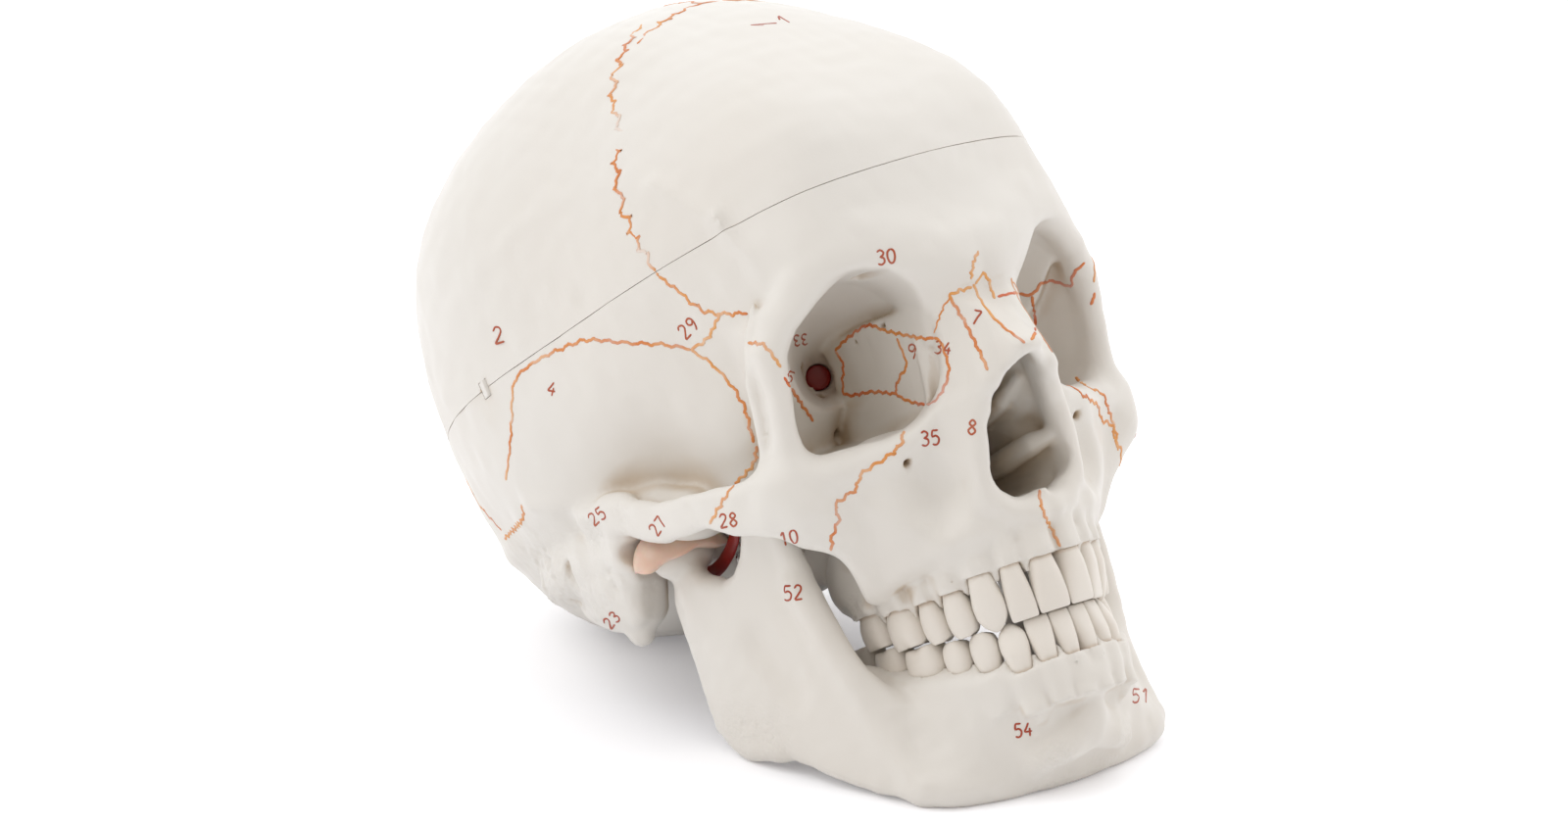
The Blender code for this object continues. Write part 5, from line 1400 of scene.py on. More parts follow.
def add_attribute(mesh: bpy.types.Mesh, name: str, values: Array) -> None:
    """Store one number for each point of a mesh."""
    attribute = mesh.attributes.new(name, "FLOAT", "POINT")
    attribute.data.foreach_set("value", np.ascontiguousarray(values, np.float32))


def add_shade(mesh: bpy.types.Mesh, cavity: Array | float, rough: Array | float = 0.0) -> None:
    """Store how much painted shade a mesh gets at its points, and how rough it is."""
    for name, values in (("cavity", cavity), ("rough", rough)):
        add_attribute(mesh, name, np.broadcast_to(values, len(mesh.vertices)))


def depth_of(surface: Surface, points: Array, normals: Array) -> Array:
    """Return how hollow a surface is at points, for the shade painted there: one less the mean free room over
    them.
    """
    free = 0.0
    for reach, weight in ((1.2, 0.2), (3.0, 0.25), (7.0, 0.3), (15.0, 0.25)):
        free = free + weight * np.clip(surface.sample(points + normals * reach) / reach, -0.2, 1.0)
    return np.clip(1 - free, 0, 1)


# Rough patches of the bone itself: place, reach and height
PITTED_PLACES: list[tuple[Place, float, float]] = [
    ((57, -38, -4), 13.0, 0.42), ((55, -24, -16), 10.0, 0.34), ((56, -52, 4), 9.0, 0.25),
    ((60, -8, -10), 7.0, 0.30), ((36, -64, -14), 14.0, 0.28), ((0, -90, -4), 12.0, 0.25),
    ((59, -46, -6), 10.0, 0.35), ((62, -2, -14), 8.0, 0.30), ((30, 47, -40), 7.0, 0.35),
]
ROUGH_SPOTS: list[tuple[Place, float]] = [
    ((58, -20, -14), 11.0), ((57, -30, -4), 12.0), ((64, -6, 0), 6.0), ((50, -44, -8), 12.0),
    ((30, -70, -12), 16.0), ((0, -92, 0), 14.0), ((64.5, 40, -13), 5.0), ((64.5, 26, -12), 5.0),
    ((52, 14, -60), 8.0), ((52, 22, -64), 8.0), ((8, 66, -95), 7.0), ((12, 78, -92), 6.0),
    ((45, 60, -25), 6.0), ((62, 12, 0), 6.0), ((30, 46, -42), 6.0),
]


def roughness_of(points: Array) -> Array:
    """Return how rough the bone is at points: the largest of bell curves round the places named."""
    folded = points.copy()
    folded[:, 0] = np.abs(folded[:, 0])
    rough = np.zeros(len(points))
    for spot, reach in ROUGH_SPOTS:
        apart = np.linalg.norm(folded - place(spot), axis=1)
        rough = np.maximum(rough, np.exp(-(apart / reach) ** 2))
    return rough


def box_cutter(matrix: Matrix, size: Sequence[float]) -> bpy.types.Object:
    """Make a box for cutting, centred in a frame."""
    corners = np.array([(x, y, z) for x in (-0.5, 0.5) for y in (-0.5, 0.5)
                        for z in (-0.5, 0.5)]) * np.array(size)
    faces = np.array([(0, 1, 3, 2), (4, 6, 7, 5), (0, 4, 5, 1), (2, 3, 7, 6), (0, 2, 6, 4), (1, 5, 7, 3)])
    return new_object("cutter", new_mesh("cutter", placed(corners, matrix), [faces]))


def turned_points(profile: Array, around: int) -> tuple[Array, list[Array]]:
    """Turn a profile of (radius, height) about Z; its first and last points lie on the axis.

    Args:
        profile: Points from the foot's centre to the top's centre.
        around: Number of points in a ring.
    Returns:
        The points and the faces.
    """
    turn = np.linspace(0, 2 * math.pi, around, endpoint=False)
    rings = profile[1:-1]
    points = np.stack([rings[:, :1] * np.cos(turn), rings[:, :1] * np.sin(turn),
                       np.broadcast_to(rings[:, 1:], (len(rings), around))], axis=-1).reshape(-1, 3)
    points = np.concatenate([points, [(0, 0, profile[0, 1])], [(0, 0, profile[-1, 1])]])
    return points, closed_faces(len(rings), around)


def closed_faces(rings: int, around: int) -> list[Array]:
    """Return the quads between rings and the triangles to the two end points that follow them."""
    index = np.arange(rings * around).reshape(rings, around)
    after = np.roll(index, -1, axis=1)
    quads = np.stack([index[:-1], after[:-1], after[1:], index[1:]], axis=-1).reshape(-1, 4)
    foot, top = rings * around, rings * around + 1
    foot_fan = np.stack([np.full(around, foot), after[0], index[0]], axis=1)
    top_fan = np.stack([np.full(around, top), index[-1], after[-1]], axis=1)
    return [quads, foot_fan, top_fan]


def frame_of(origin: Array, up: Array, out: Array) -> Matrix:
    """Return a frame with its Z axis along up and its X axis as near to out as that allows."""
    z = unit(np.array(up, float))
    x = unit(np.array(out, float) - z * (np.array(out, float) @ z))
    y = np.cross(z, x)
    return Matrix.Translation(Vector(origin)) @ Matrix(np.column_stack([x, y, z]).tolist()).to_4x4()


def placed(points: Array, matrix: Matrix) -> Array:
    """Carry points by a matrix."""
    turned = np.array(matrix)
    return points @ turned[:3, :3].T + turned[:3, 3]


def tube(points: Array, radius: float, around: int = 14) -> tuple[Array, list[Array]]:
    """Make a round tube with domed ends along a line.

    Each ring's frame is carried from the one before with the least turn.

    Args:
        points: The line's points.
        radius: Radius of the tube.
        around: Points in a ring.
    Returns:
        The tube's points and faces.
    """
    ways = unit(np.gradient(points, axis=0))
    side = unit(np.cross(ways[0], (0.31, 0.72, 0.62)))
    sides = [side]
    for way in ways[1:]:
        side = unit(side - way * (side @ way))
        sides.append(side)
    sides = np.array(sides)
    others = np.cross(ways, sides)
    turn = np.linspace(0, 2 * math.pi, around, endpoint=False)
    ring = np.cos(turn)[None, :, None] * sides[:, None] + np.sin(turn)[None, :, None] * others[:, None]
    body = points[:, None] + ring * radius
    first, last = (points[end] + ways[end] * sign * radius * 0.55 + ring[end] * radius * 0.75
                   for end, sign in ((0, -1), (-1, 1)))
    rings = np.concatenate([first[None], body, last[None]])
    ends = [points[0] - ways[0] * radius * 0.85, points[-1] + ways[-1] * radius * 0.85]
    return np.concatenate([rings.reshape(-1, 3), ends]), closed_faces(len(rings), around)


# Materials


class Nodes:
    """Adds nodes to a tree and joins them up."""

    def __init__(self, tree: bpy.types.NodeTree) -> None:
        """Keep the tree."""
        self.tree = tree

    def add(self, kind: str, inputs: dict | None = None, **settings: object) -> bpy.types.Node:
        """Add a node.

        Args:
            kind: The node's type, without its common first part.
            inputs: Values, or sockets of other nodes, for its inputs by name or number.
            settings: Values of its own properties.
        Returns:
            The node.
        """
        node = self.tree.nodes.new(kind)
        for name, value in settings.items():
            setattr(node, name, value)
        for name, value in (inputs or {}).items():
            if isinstance(value, bpy.types.NodeSocket):
                self.tree.links.new(value, node.inputs[name])
            else:
                node.inputs[name].default_value = value
        return node

    def noise(self, where: bpy.types.NodeSocket, scale: float, detail: float = 3.0) -> bpy.types.NodeSocket:
        """Add noise and return its value."""
        return self.add("ShaderNodeTexNoise", {"Vector": where, "Scale": scale, "Detail": detail}).outputs[0]

    def between(self, value: object, low: float, high: float, start: float = 0.0, end: float = 1.0
                ) -> bpy.types.NodeSocket:
        """Map a value from one range to another, kept within it."""
        return self.add("ShaderNodeMapRange", {"Value": value, "From Min": low, "From Max": high,
                                               "To Min": start, "To Max": end}).outputs[0]

    def maths(self, operation: str, first: object, second: object = 0.0) -> bpy.types.NodeSocket:
        """Work out one value from two."""
        return self.add("ShaderNodeMath", {0: first, 1: second}, operation=operation).outputs[0]

    def mix(self, share: object, first: object, second: object) -> bpy.types.NodeSocket:
        """Mix two colours."""
        node = self.add("ShaderNodeMix", data_type="RGBA")
        for socket, value in ((node.inputs[0], share), (node.inputs[6], first), (node.inputs[7], second)):
            if isinstance(value, bpy.types.NodeSocket):
                self.tree.links.new(value, socket)
            else:
                socket.default_value = (*value, 1) if isinstance(value, tuple) else value
        return node.outputs[2]


def new_group(name: str, inputs: Sequence[tuple[str, str]], outputs: Sequence[tuple[str, str]]
              ) -> tuple[bpy.types.NodeTree, Nodes, bpy.types.Node, bpy.types.Node]:
    """Make an empty node group with the sockets named.

    Args:
        name: Name of the group.
        inputs: Names and kinds of its inputs.
        outputs: Names and kinds of its outputs.
    Returns:
        The group, its nodes, and its input and output nodes.
    """
    tree = bpy.data.node_groups.new(name, "ShaderNodeTree")
    for label, kind in inputs:
        tree.interface.new_socket(label, in_out="INPUT", socket_type=kind)
    for label, kind in outputs:
        tree.interface.new_socket(label, in_out="OUTPUT", socket_type=kind)
    nodes = Nodes(tree)
    return tree, nodes, nodes.add("NodeGroupInput"), nodes.add("NodeGroupOutput")


def shade_group() -> bpy.types.NodeTree:
    """Make the group that tints a plastic: random patches, painted shade in hollows and fine unevenness."""
    tree, nodes, given, result = new_group(
        "plastic_shade", [("Base", "NodeSocketColor"), ("Shade colour", "NodeSocketColor"),
                          ("Pits", "NodeSocketFloat")],
        [("Colour", "NodeSocketColor"), ("Roughness", "NodeSocketFloat"), ("Height", "NodeSocketFloat")])
    where = nodes.add("ShaderNodeTexCoord").outputs["Object"]
    cavity = nodes.add("ShaderNodeAttribute", attribute_name="cavity").outputs["Fac"]
    rough = nodes.add("ShaderNodeAttribute", attribute_name="rough").outputs["Fac"]
    patches = nodes.between(nodes.noise(where, 34.0, 4.0), 0.35, 0.7)
    clouds = nodes.between(nodes.noise(where, 9.0, 2.0), 0.3, 0.7)
    # Painted shade: hollows darken towards the shade colour, by the hollow amount plus a little of the random
    # patches
    painted_shade = nodes.between(nodes.maths("ADD", cavity, nodes.maths("MULTIPLY", patches, 0.10)), 0.30, 1.0)
    lightly = nodes.mix(nodes.maths("MULTIPLY", clouds, 0.16), given.outputs["Base"], given.outputs["Shade colour"])
    colour = nodes.mix(nodes.maths("MULTIPLY", painted_shade, 0.85), lightly, given.outputs["Shade colour"])
    pits = nodes.between(nodes.noise(where, 900.0, 5.0), 0.45, 0.72)
    dents = nodes.between(nodes.noise(where, 330.0, 3.0), 0.40, 0.75)
    depth = nodes.maths("MULTIPLY", nodes.maths("ADD", nodes.maths("MULTIPLY", pits, 0.6), dents), rough)
    fine = nodes.noise(where, 1500.0, 2.0)
    fine_height = nodes.maths("MULTIPLY", fine, nodes.maths("MULTIPLY", given.outputs["Pits"], 0.05))
    height = nodes.maths("SUBTRACT", fine_height, nodes.maths("MULTIPLY", depth, given.outputs["Pits"]))
    nodes.tree.links.new(colour, result.inputs["Colour"])
    nodes.tree.links.new(nodes.between(patches, 0.0, 1.0, 0.34, 0.46), result.inputs["Roughness"])
    nodes.tree.links.new(height, result.inputs["Height"])
    return tree


def principled(name: str, colour: Colour) -> tuple[bpy.types.Material, Nodes, bpy.types.Node]:
    """Make a material, with its colour in plain views, and return it with its nodes and its shader."""
    material = bpy.data.materials.new(name)
    material.use_nodes = True
    material.diffuse_color = (*colour, 1)
    return material, Nodes(material.node_tree), material.node_tree.nodes["Principled BSDF"]


@dataclass(frozen=True)
class PlasticFinish:
    """A moulded plastic: its colour in the open, the colour of the shade painted in its hollows, how rough it
    is and how deep its pits are.
    """

    name: str
    base: Colour
    # Colour of the shade painted in hollows
    hollow: Colour
    pits: float
    bump: float = 0.5

    def build(self) -> bpy.types.Material:
        """Make the material."""
        material, nodes, shader = principled(self.name, self.base)
        group = nodes.add("ShaderNodeGroup", node_tree=SHADE)
        group.inputs["Base"].default_value = (*self.base, 1)
        group.inputs["Shade colour"].default_value = (*self.hollow, 1)
        group.inputs["Pits"].default_value = self.pits
        bump = nodes.add("ShaderNodeBump", {"Height": group.outputs["Height"], "Strength": self.bump,
                                            "Distance": 0.0006})
        nodes.tree.links.new(group.outputs["Colour"], shader.inputs["Base Color"])
        nodes.tree.links.new(group.outputs["Roughness"], shader.inputs["Roughness"])
        nodes.tree.links.new(bump.outputs["Normal"], shader.inputs["Normal"])
        shader.inputs["IOR"].default_value = 1.46
        return material


@dataclass(frozen=True)
class PaintFinish:
    """Drawn lines: two colours that change over the skull, and a share where the bone shows through."""

    name: str
    first: Colour
    second: Colour
    bone: Colour
    fading: float

    def build(self) -> bpy.types.Material:
        """Make the material."""
        material, nodes, shader = principled(self.name, self.first)
        where = nodes.add("ShaderNodeTexCoord").outputs["Object"]
        tone = nodes.between(nodes.noise(where, 60.0, 2.0), 0.38, 0.62)
        worn = nodes.between(nodes.noise(where, 170.0, 3.0), 0.46, 0.72)
        ink = nodes.mix(tone, self.first, self.second)
        fade = nodes.add("ShaderNodeAttribute", attribute_name="fade").outputs["Fac"]
        share = nodes.maths("MINIMUM", nodes.maths("ADD", nodes.maths("MULTIPLY", worn, self.fading), fade),
                            0.92)
        nodes.tree.links.new(nodes.mix(share, ink, self.bone), shader.inputs["Base Color"])
        shader.inputs["Roughness"].default_value = 0.45
        return material


@dataclass(frozen=True)
class SoftFinish:
    """A soft or clear plastic: its colour, a second shade in patches, and how much light it lets through."""

    name: str
    base: Colour
    second: Colour
    roughness: float
    through: float

    def build(self) -> bpy.types.Material:
        """Make the material."""
        material, nodes, shader = principled(self.name, self.base)
        where = nodes.add("ShaderNodeTexCoord").outputs["Object"]
        patches = nodes.between(nodes.noise(where, 120.0, 3.0), 0.35, 0.7)
        nodes.tree.links.new(nodes.mix(patches, self.base, self.second), shader.inputs["Base Color"])
        uneven = nodes.add("ShaderNodeBump", {"Height": nodes.noise(where, 500.0, 2.0), "Strength": 0.12,
                                              "Distance": 0.0004})
        nodes.tree.links.new(uneven.outputs["Normal"], shader.inputs["Normal"])
        shader.inputs["Roughness"].default_value = self.roughness
        shader.inputs["Subsurface Weight"].default_value = self.through
        shader.inputs["Subsurface Scale"].default_value = 0.003
        return material


@dataclass(frozen=True)
class SteelFinish:
    """Drawn steel: its colour and the roughness range of its fine streaks."""

    name: str
    base: Colour
    low: float
    high: float

    def build(self) -> bpy.types.Material:
        """Make the material."""
        material, nodes, shader = principled(self.name, self.base)
        where = nodes.add("ShaderNodeTexCoord").outputs["Object"]
        streaks = nodes.between(nodes.noise(where, 700.0, 3.0), 0.3, 0.7, self.low, self.high)
        nodes.tree.links.new(streaks, shader.inputs["Roughness"])
        shader.inputs["Base Color"].default_value = (*self.base, 1)
        shader.inputs["Metallic"].default_value = 1.0
        return material


BONE_COLOUR: Colour = (0.80, 0.775, 0.73)
SHADE = shade_group()
# The second colour is painted shade: warm brown that darkens hollows on the bone and the gum line on the
# teeth
BONE = PlasticFinish("bone", BONE_COLOUR, (0.54, 0.40, 0.25), 1.0).build()
TOOTH = PlasticFinish("tooth", (0.83, 0.79, 0.73), (0.58, 0.40, 0.24), 0.25).build()
SUTURE = PaintFinish("suture_paint", (0.78, 0.36, 0.10), (0.66, 0.20, 0.05), BONE_COLOUR, 0.35).build()
DEEP_SUTURE = PaintFinish("deep_suture_paint", (0.66, 0.13, 0.035), (0.74, 0.28, 0.07), BONE_COLOUR,
                          0.15).build()
NUMBER = PaintFinish("number_paint", (0.40, 0.055, 0.018), (0.46, 0.10, 0.035), BONE_COLOUR, 0.1).build()
DISC = SoftFinish("joint_disc", (0.70, 0.50, 0.39), (0.78, 0.61, 0.50), 0.34, 0.5).build()
RED = SoftFinish("red_plastic", (0.30, 0.012, 0.008), (0.20, 0.008, 0.006), 0.34, 0.1).build()
STEEL = SteelFinish("steel", (0.62, 0.62, 0.63), 0.22, 0.36).build()


# Drawn lines


class Layer(Enum):
    """The surface that a line is drawn on, by the name of its body."""

    BASE = "cranium"
    CAP = "calvarium_cap"
    JAW = "jaw"


@dataclass(frozen=True)
class PhotoView:
    """The photograph's camera, or its mirror image, that drawn lines are cast from."""

    place: Array
    ahead: Array
    top: Array
    right: Array

    @classmethod
    def of(cls, mirrored: bool) -> "PhotoView":
        """Return the camera, or its mirror image on the skull's other side."""
        flip = np.array((-1, 1, 1)) if mirrored else np.ones(3)
        turned = -1 if mirrored else 1
        return cls(np.array(CAMERA_PLACE) * flip, np.array(CAMERA_AHEAD) * flip, np.array(CAMERA_TOP) * flip,
                   np.array(CAMERA_RIGHT) * flip * turned)

    def ways(self, pixels: Array) -> Array:
        """Return the unit ways from the camera through pixels."""
        across = pixels[:, :1] - PHOTO_CENTRE_PX[0]
        up = PHOTO_CENTRE_PX[1] - pixels[:, 1:]
        return unit(self.ahead * FOCAL_LENGTH_PX + self.right * across + self.top * up)


@dataclass
class Canvas:
    """The surfaces that lines are drawn on."""

    surfaces: dict[Layer, Surface]
    span: float = 170.0

    def cast(self, view: PhotoView, pixels: Array) -> list[tuple[Layer, Array]]:
        """Cast a line of pixels onto whatever lies nearest.

        Args:
            view: Camera to cast from.
            pixels: The line's pixels.
        Returns:
            Stretches of the line, each with its layer and its points.
        """
        ways = view.ways(pixels)
        middle = np.linalg.norm(view.place)
        layers = list(self.surfaces)
        reaches = np.array([self.surfaces[layer].cast(view.place, ways, middle - self.span, middle
                                                      + self.span)
                            for layer in layers])
        nearest = reaches.argmin(axis=0)
        reach = reaches.min(axis=0)
        points = view.place + ways * reach[:, None]
        met = reach < middle + self.span - 1
        apart = np.linalg.norm(np.diff(points, axis=0), axis=1)
        split = (np.diff(nearest) != 0) | (apart > 4.0) | ~met[1:] | ~met[:-1]
        stretches = []
        for run in np.split(np.arange(len(points)), np.nonzero(split)[0] + 1):
            if len(run) > 2 and met[run[0]]:
                stretches.append((layers[nearest[run[0]]], points[run]))
        return stretches

    def settle(self, layer: Layer, points: Array, rounds: int = 6) -> Array:
        """Move points onto a layer's surface."""
        return self.surfaces[layer].project(points, rounds)


def resample(points: Array, spacing: float) -> Array:
    """Return points evenly spaced along a smooth curve through the given ones.

    Between two points the curve is the cubic whose end slopes are half the difference of the points beside.
    """
    padded = np.concatenate([points[:1] * 2 - points[1:2], points, points[-1:] * 2 - points[-2:-1]])
    share = np.linspace(0, 1, 12, endpoint=False)[:, None]
    parts = []
    for before, start, end, after in zip(padded, padded[1:], padded[2:], padded[3:]):
        parts.append(0.5 * (2 * start + (end - before) * share + (2 * before - 5 * start + 4 * end - after)
                            * share ** 2 + (3 * start - before - 3 * end + after) * share ** 3))
    curve = np.concatenate([*parts, points[-1:]])
    run = np.concatenate([[0], np.cumsum(np.linalg.norm(np.diff(curve, axis=0), axis=1))])
    spots = np.linspace(0, run[-1], max(3, int(run[-1] / spacing) + 1))
    return np.column_stack([np.interp(spots, run, column) for column in curve.T])


def wander(points: Array, normals: Array, height: float, length: float, rng: np.random.Generator) -> Array:
    """Make a line wind like a suture.

    The line moves sideways by waves of about the given length, and along itself by waves of twice the rate,
    which turns the larger waves into loops.
    """
    run = np.concatenate([[0], np.cumsum(np.linalg.norm(np.diff(points, axis=0), axis=1))])
    ways = unit(np.gradient(points, axis=0))
    sides = unit(np.cross(normals, ways))
    drift = np.interp(run, np.linspace(0, run[-1] + 1e-6, 9), rng.uniform(-1.2, 1.2, 9))
    size = np.interp(run, np.linspace(0, run[-1] + 1e-6, 12), rng.uniform(0.45, 1.25, 12))
    phase = 2 * math.pi * run / length + drift
    ends = np.clip(np.minimum(run, run[-1] - run) / length, 0, 1)
    sway = (np.sin(phase) + 0.35 * np.sin(2.7 * phase + 1.0) + 0.18 * np.sin(6.1 * phase)) * size * ends
    back = np.sin(2 * phase + 0.4) * size * ends * 0.42
    return points + sides * (sway * height)[:, None] + ways * (back * height)[:, None]


@dataclass
class Ribbons:
    """Thin raised strips collected into one mesh."""

    points: list[Array] = field(default_factory=list)
    quads: list[Array] = field(default_factory=list)
    fades: list[Array] = field(default_factory=list)
    count: int = 0

    def add(self, surface: Surface, line: Array, width: float, fade: Array | float = 0.0, lift: float = 0.13,
            sink: float = 0.35) -> None:
        """Add a strip along a line on a surface.

        Its section is a low arch: both edges lie sunk in the surface and the middle stands over it.

        Args:
            surface: The surface below.
            line: The strip's middle, on the surface.
            width: Its width.
            fade: How far each point's colour gives way to the bone's.
            lift: Height of its middle.
            sink: Depth of its foot.
        """
        if len(line) < 3:
            return
        normals = surface.normal(line)
        ways = unit(np.gradient(line, axis=0))
        sides = unit(np.cross(normals, ways))
        taper = np.clip(np.minimum(np.arange(len(line)), np.arange(len(line))[::-1]) / 1.5 + 0.35, 0, 1)[:,
                                                                                                         None]
        half = sides * (width / 2) * taper
        rows = [line - half - normals * sink, line - half + normals * lift * 0.35, line - half * 0.5
                + normals * lift, line + half * 0.5 + normals * lift, line + half + normals * lift * 0.35,
                line + half - normals * sink]
        body = np.stack(rows, axis=1)
        steps, around = body.shape[:2]
        index = np.arange(steps * around).reshape(steps, around) + self.count
        after = np.roll(index, -1, axis=1)
        quads = np.stack([index[:-1], index[1:], after[1:], after[:-1]], axis=-1).reshape(-1, 4)
        first, last = index[0], index[-1]
        ends = [first[[0, 1, 2, 5]], first[[5, 2, 3, 4]], last[[5, 2, 1, 0]], last[[4, 3, 2, 5]]]
        self.points.append(body.reshape(-1, 3))
        self.quads.append(np.concatenate([quads, np.array(ends)]))
        self.fades.append(np.repeat(np.broadcast_to(fade, steps), around))
        self.count += steps * around

    def mesh(self, name: str) -> bpy.types.Mesh:
        """Return the strips as one mesh."""
        mesh = new_mesh(name, np.concatenate(self.points), [np.concatenate(self.quads)])
        add_attribute(mesh, "fade", np.concatenate(self.fades))
        return mesh


@dataclass(frozen=True)
class Suture:
    """A suture in the photograph: its pixels, whether it is red, how it winds, and if it is mirrored."""

    pixels: list[tuple[float, float]]
    deep: bool = False
    height: float = 0.5
    length: float = 3.4
    width: float = 0.8
    twin: bool = True


SUTURES: dict[str, Suture] = {
    "coronal": Suture([(655, 25), (640, 45), (628, 75), (625, 105), (632, 130), (628, 165), (632, 200),
                       (640, 225), (655, 255), (672, 282)], height=1.35, length=6.2),
    "coronal_foot": Suture([(672, 282), (690, 295), (720, 318), (763, 320)], height=0.5, length=4.0),
    "sphenoid_side": Suture([(735, 320), (722, 345), (705, 357)], height=0.4),
    "squamous": Suture([(705, 357), (680, 352), (640, 350), (600, 347), (575, 355), (545, 370), (525, 390),
                        (522, 430), (520, 460), (516, 490)], height=0.35, length=5.0),
    "mastoid_side": Suture([(532, 515), (533, 530), (515, 550)], height=0.6, length=3.0),
    "sphenoid_temple": Suture([(705, 357), (730, 375), (757, 410), (769, 452)], height=0.4, length=4.5),
    "cheek_arch": Suture([(772, 455), (768, 475), (745, 500), (724, 535)], height=0.45, length=3.0),
    "cheek_brow": Suture([(763, 350), (780, 353), (797, 375)], height=0.3, length=2.6),
    "orbit_outer": Suture([(800, 385), (815, 408), (830, 430)], True, 0.3, 3.0),
    "cheek_maxilla": Suture([(922, 440), (918, 455), (900, 470), (880, 483), (872, 500), (853, 515),
                             (856, 530), (850, 545), (848, 562)], height=0.55, length=3.4),
    "orbit_inner_top": Suture([(852, 358), (865, 345), (885, 332), (905, 338), (940, 345), (953, 345)],
                              True, 0.3, 3),
    "orbit_inner_low": Suture([(852, 358), (860, 372), (862, 402), (890, 400), (915, 402)], True, 0.3, 3.0),
    "tear_bone": Suture([(915, 345), (925, 372), (918, 385), (915, 402), (937, 412), (955, 408), (968, 380),
                         (960, 350), (953, 345)], True, 0.25, 3.0),
    "brow_maxilla": Suture([(953, 340), (962, 315), (970, 303)], height=0.25, length=2.4, width=0.45),
    "nose_maxilla": Suture([(968, 301), (985, 330), (1000, 360), (1008, 378)], height=0.3, length=3.2),
    "brow_nose": Suture([(968, 301), (980, 296), (992, 293)], height=0.4, length=2.4, twin=False),
    "brow_middle": Suture([(998, 256), (993, 270), (991, 285)], height=0.6, length=2.2, twin=False),
    "between_nose": Suture([(993, 290), (1003, 310), (1020, 330), (1046, 350)], height=0.2, length=4,
                           twin=False),
    "brow_nose_left": Suture([(995, 290), (1005, 280), (1015, 305)], height=0.3, length=3.0, twin=False),
    "left_orbit_top": Suture([(1018, 303), (1035, 299), (1052, 301), (1062, 290), (1075, 287), (1092, 292),
                              (1095, 280), (1107, 268)], True, 0.2, 3.0, twin=False),
    "left_orbit_inner": Suture([(1053, 302), (1056, 325), (1056, 340), (1052, 347)], True, 0.2, 3.0,
                               twin=False),
    "left_cheek": Suture([(1097, 385), (1110, 395), (1125, 402), (1130, 415), (1138, 440), (1141, 460)],
                         height=0.45, length=3.0, twin=False),
    "upper_jaw_middle": Suture([(1060, 497), (1062, 512), (1068, 530), (1082, 558)], height=0.35, length=2.6,
                               twin=False),
}
# Sutures that the photograph doesn't show, as places on the surface, both sides
HIDDEN_SUTURES: dict[str, tuple[Layer, list[Place], float, float]] = {
    "sagittal": (Layer.CAP, [(0, 24, 122), (1, 5, 127), (-1, -20, 124), (0, -45, 113), (0, -66, 99)], 1.6,
                 7.0),
    "coronal_top": (Layer.CAP, [(0, 24, 122), (12, 26, 121), (26, 27, 116)], 1.2, 6.0),
    "lambdoid_cap": (Layer.CAP, [(0, -66, 99), (12, -76, 88), (26, -82, 72), (38, -80, 54), (44, -76, 44)],
                     1.6, 6.0),
    "lambdoid_base": (Layer.BASE, [(45, -76, 36), (52, -66, 24), (56, -56, 12)], 1.2, 5.0),
    "palate_middle": (Layer.BASE, [(0, 78, -38), (0, 62, -36), (0, 46, -35)], 0.15, 3.0),
    "palate_cross": (Layer.BASE, [(0, 52, -35), (8, 51, -36), (15, 49, -37)], 0.15, 3.0),
}

# Digits as single strokes in a box 0.6 wide and 1 high, y up
GLYPHS: dict[str, list[list[tuple[float, float]]]] = {
    "0": [[(0.3, 1), (0.08, 0.8), (0.05, 0.4), (0.2, 0.04), (0.42, 0.08), (0.55, 0.45), (0.5, 0.85),
           (0.3, 1)]],
    "1": [[(0.12, 0.78), (0.32, 1.0), (0.32, 0.5), (0.31, 0.0)]],
    "2": [[(0.06, 0.78), (0.22, 0.99), (0.46, 0.93), (0.5, 0.68), (0.3, 0.36), (0.06, 0.03), (0.3, 0.02),
           (0.56, 0.05)]],
    "3": [[(0.08, 0.88), (0.3, 1.0), (0.52, 0.82), (0.42, 0.6), (0.26, 0.54), (0.5, 0.42), (0.52, 0.16),
           (0.3, 0.0), (0.06, 0.1)]],
    "4": [[(0.36, 1.0), (0.2, 0.66), (0.05, 0.36), (0.3, 0.35), (0.58, 0.37)], [(0.42, 0.62), (0.41, 0.3),
                                                                               (0.4, 0.0)]],
    "5": [[(0.54, 0.98), (0.32, 0.98), (0.14, 0.96), (0.1, 0.58), (0.34, 0.62), (0.53, 0.42), (0.46, 0.1),
           (0.26, 0.0), (0.06, 0.08)]],
    "6": [[(0.46, 0.98), (0.2, 0.74), (0.07, 0.36), (0.14, 0.06), (0.38, 0.0), (0.54, 0.2), (0.46, 0.44),
           (0.24, 0.46), (0.08, 0.28)]],
    "7": [[(0.06, 0.96), (0.3, 0.97), (0.56, 0.96), (0.38, 0.5), (0.24, 0.0)]],
    "8": [[(0.32, 0.54), (0.1, 0.74), (0.28, 1.0), (0.5, 0.78), (0.3, 0.54), (0.06, 0.26), (0.28, 0.0),
           (0.54, 0.24), (0.32, 0.54)]],
    "9": [[(0.5, 0.72), (0.32, 0.52), (0.1, 0.66), (0.16, 0.94), (0.4, 0.98), (0.52, 0.74), (0.46, 0.34),
           (0.3, 0.0)]],
}


@dataclass(frozen=True)
class Mark:
    """A number on the bone: its text, its middle in the photograph, its height and its turn."""

    text: str
    middle: tuple[float, float]
    height: float = 15.0
    turn: float = 0.0
    twin: bool = True

    def strokes(self) -> list[Array]:
        """Return the number's strokes as pixels."""
        strokes = []
        width = 0.72 * len(self.text) - 0.12
        turn = math.radians(self.turn)
        for place_in, digit in enumerate(self.text):
            for stroke in GLYPHS[digit]:
                spots = (np.array(stroke) + (place_in * 0.72 - width / 2, -0.5)) * self.height
                across = spots[:, 0] * math.cos(turn) - spots[:, 1] * math.sin(turn)
                up = spots[:, 0] * math.sin(turn) + spots[:, 1] * math.cos(turn)
                strokes.append(np.column_stack([self.middle[0] + across, self.middle[1] - up]))
        return strokes


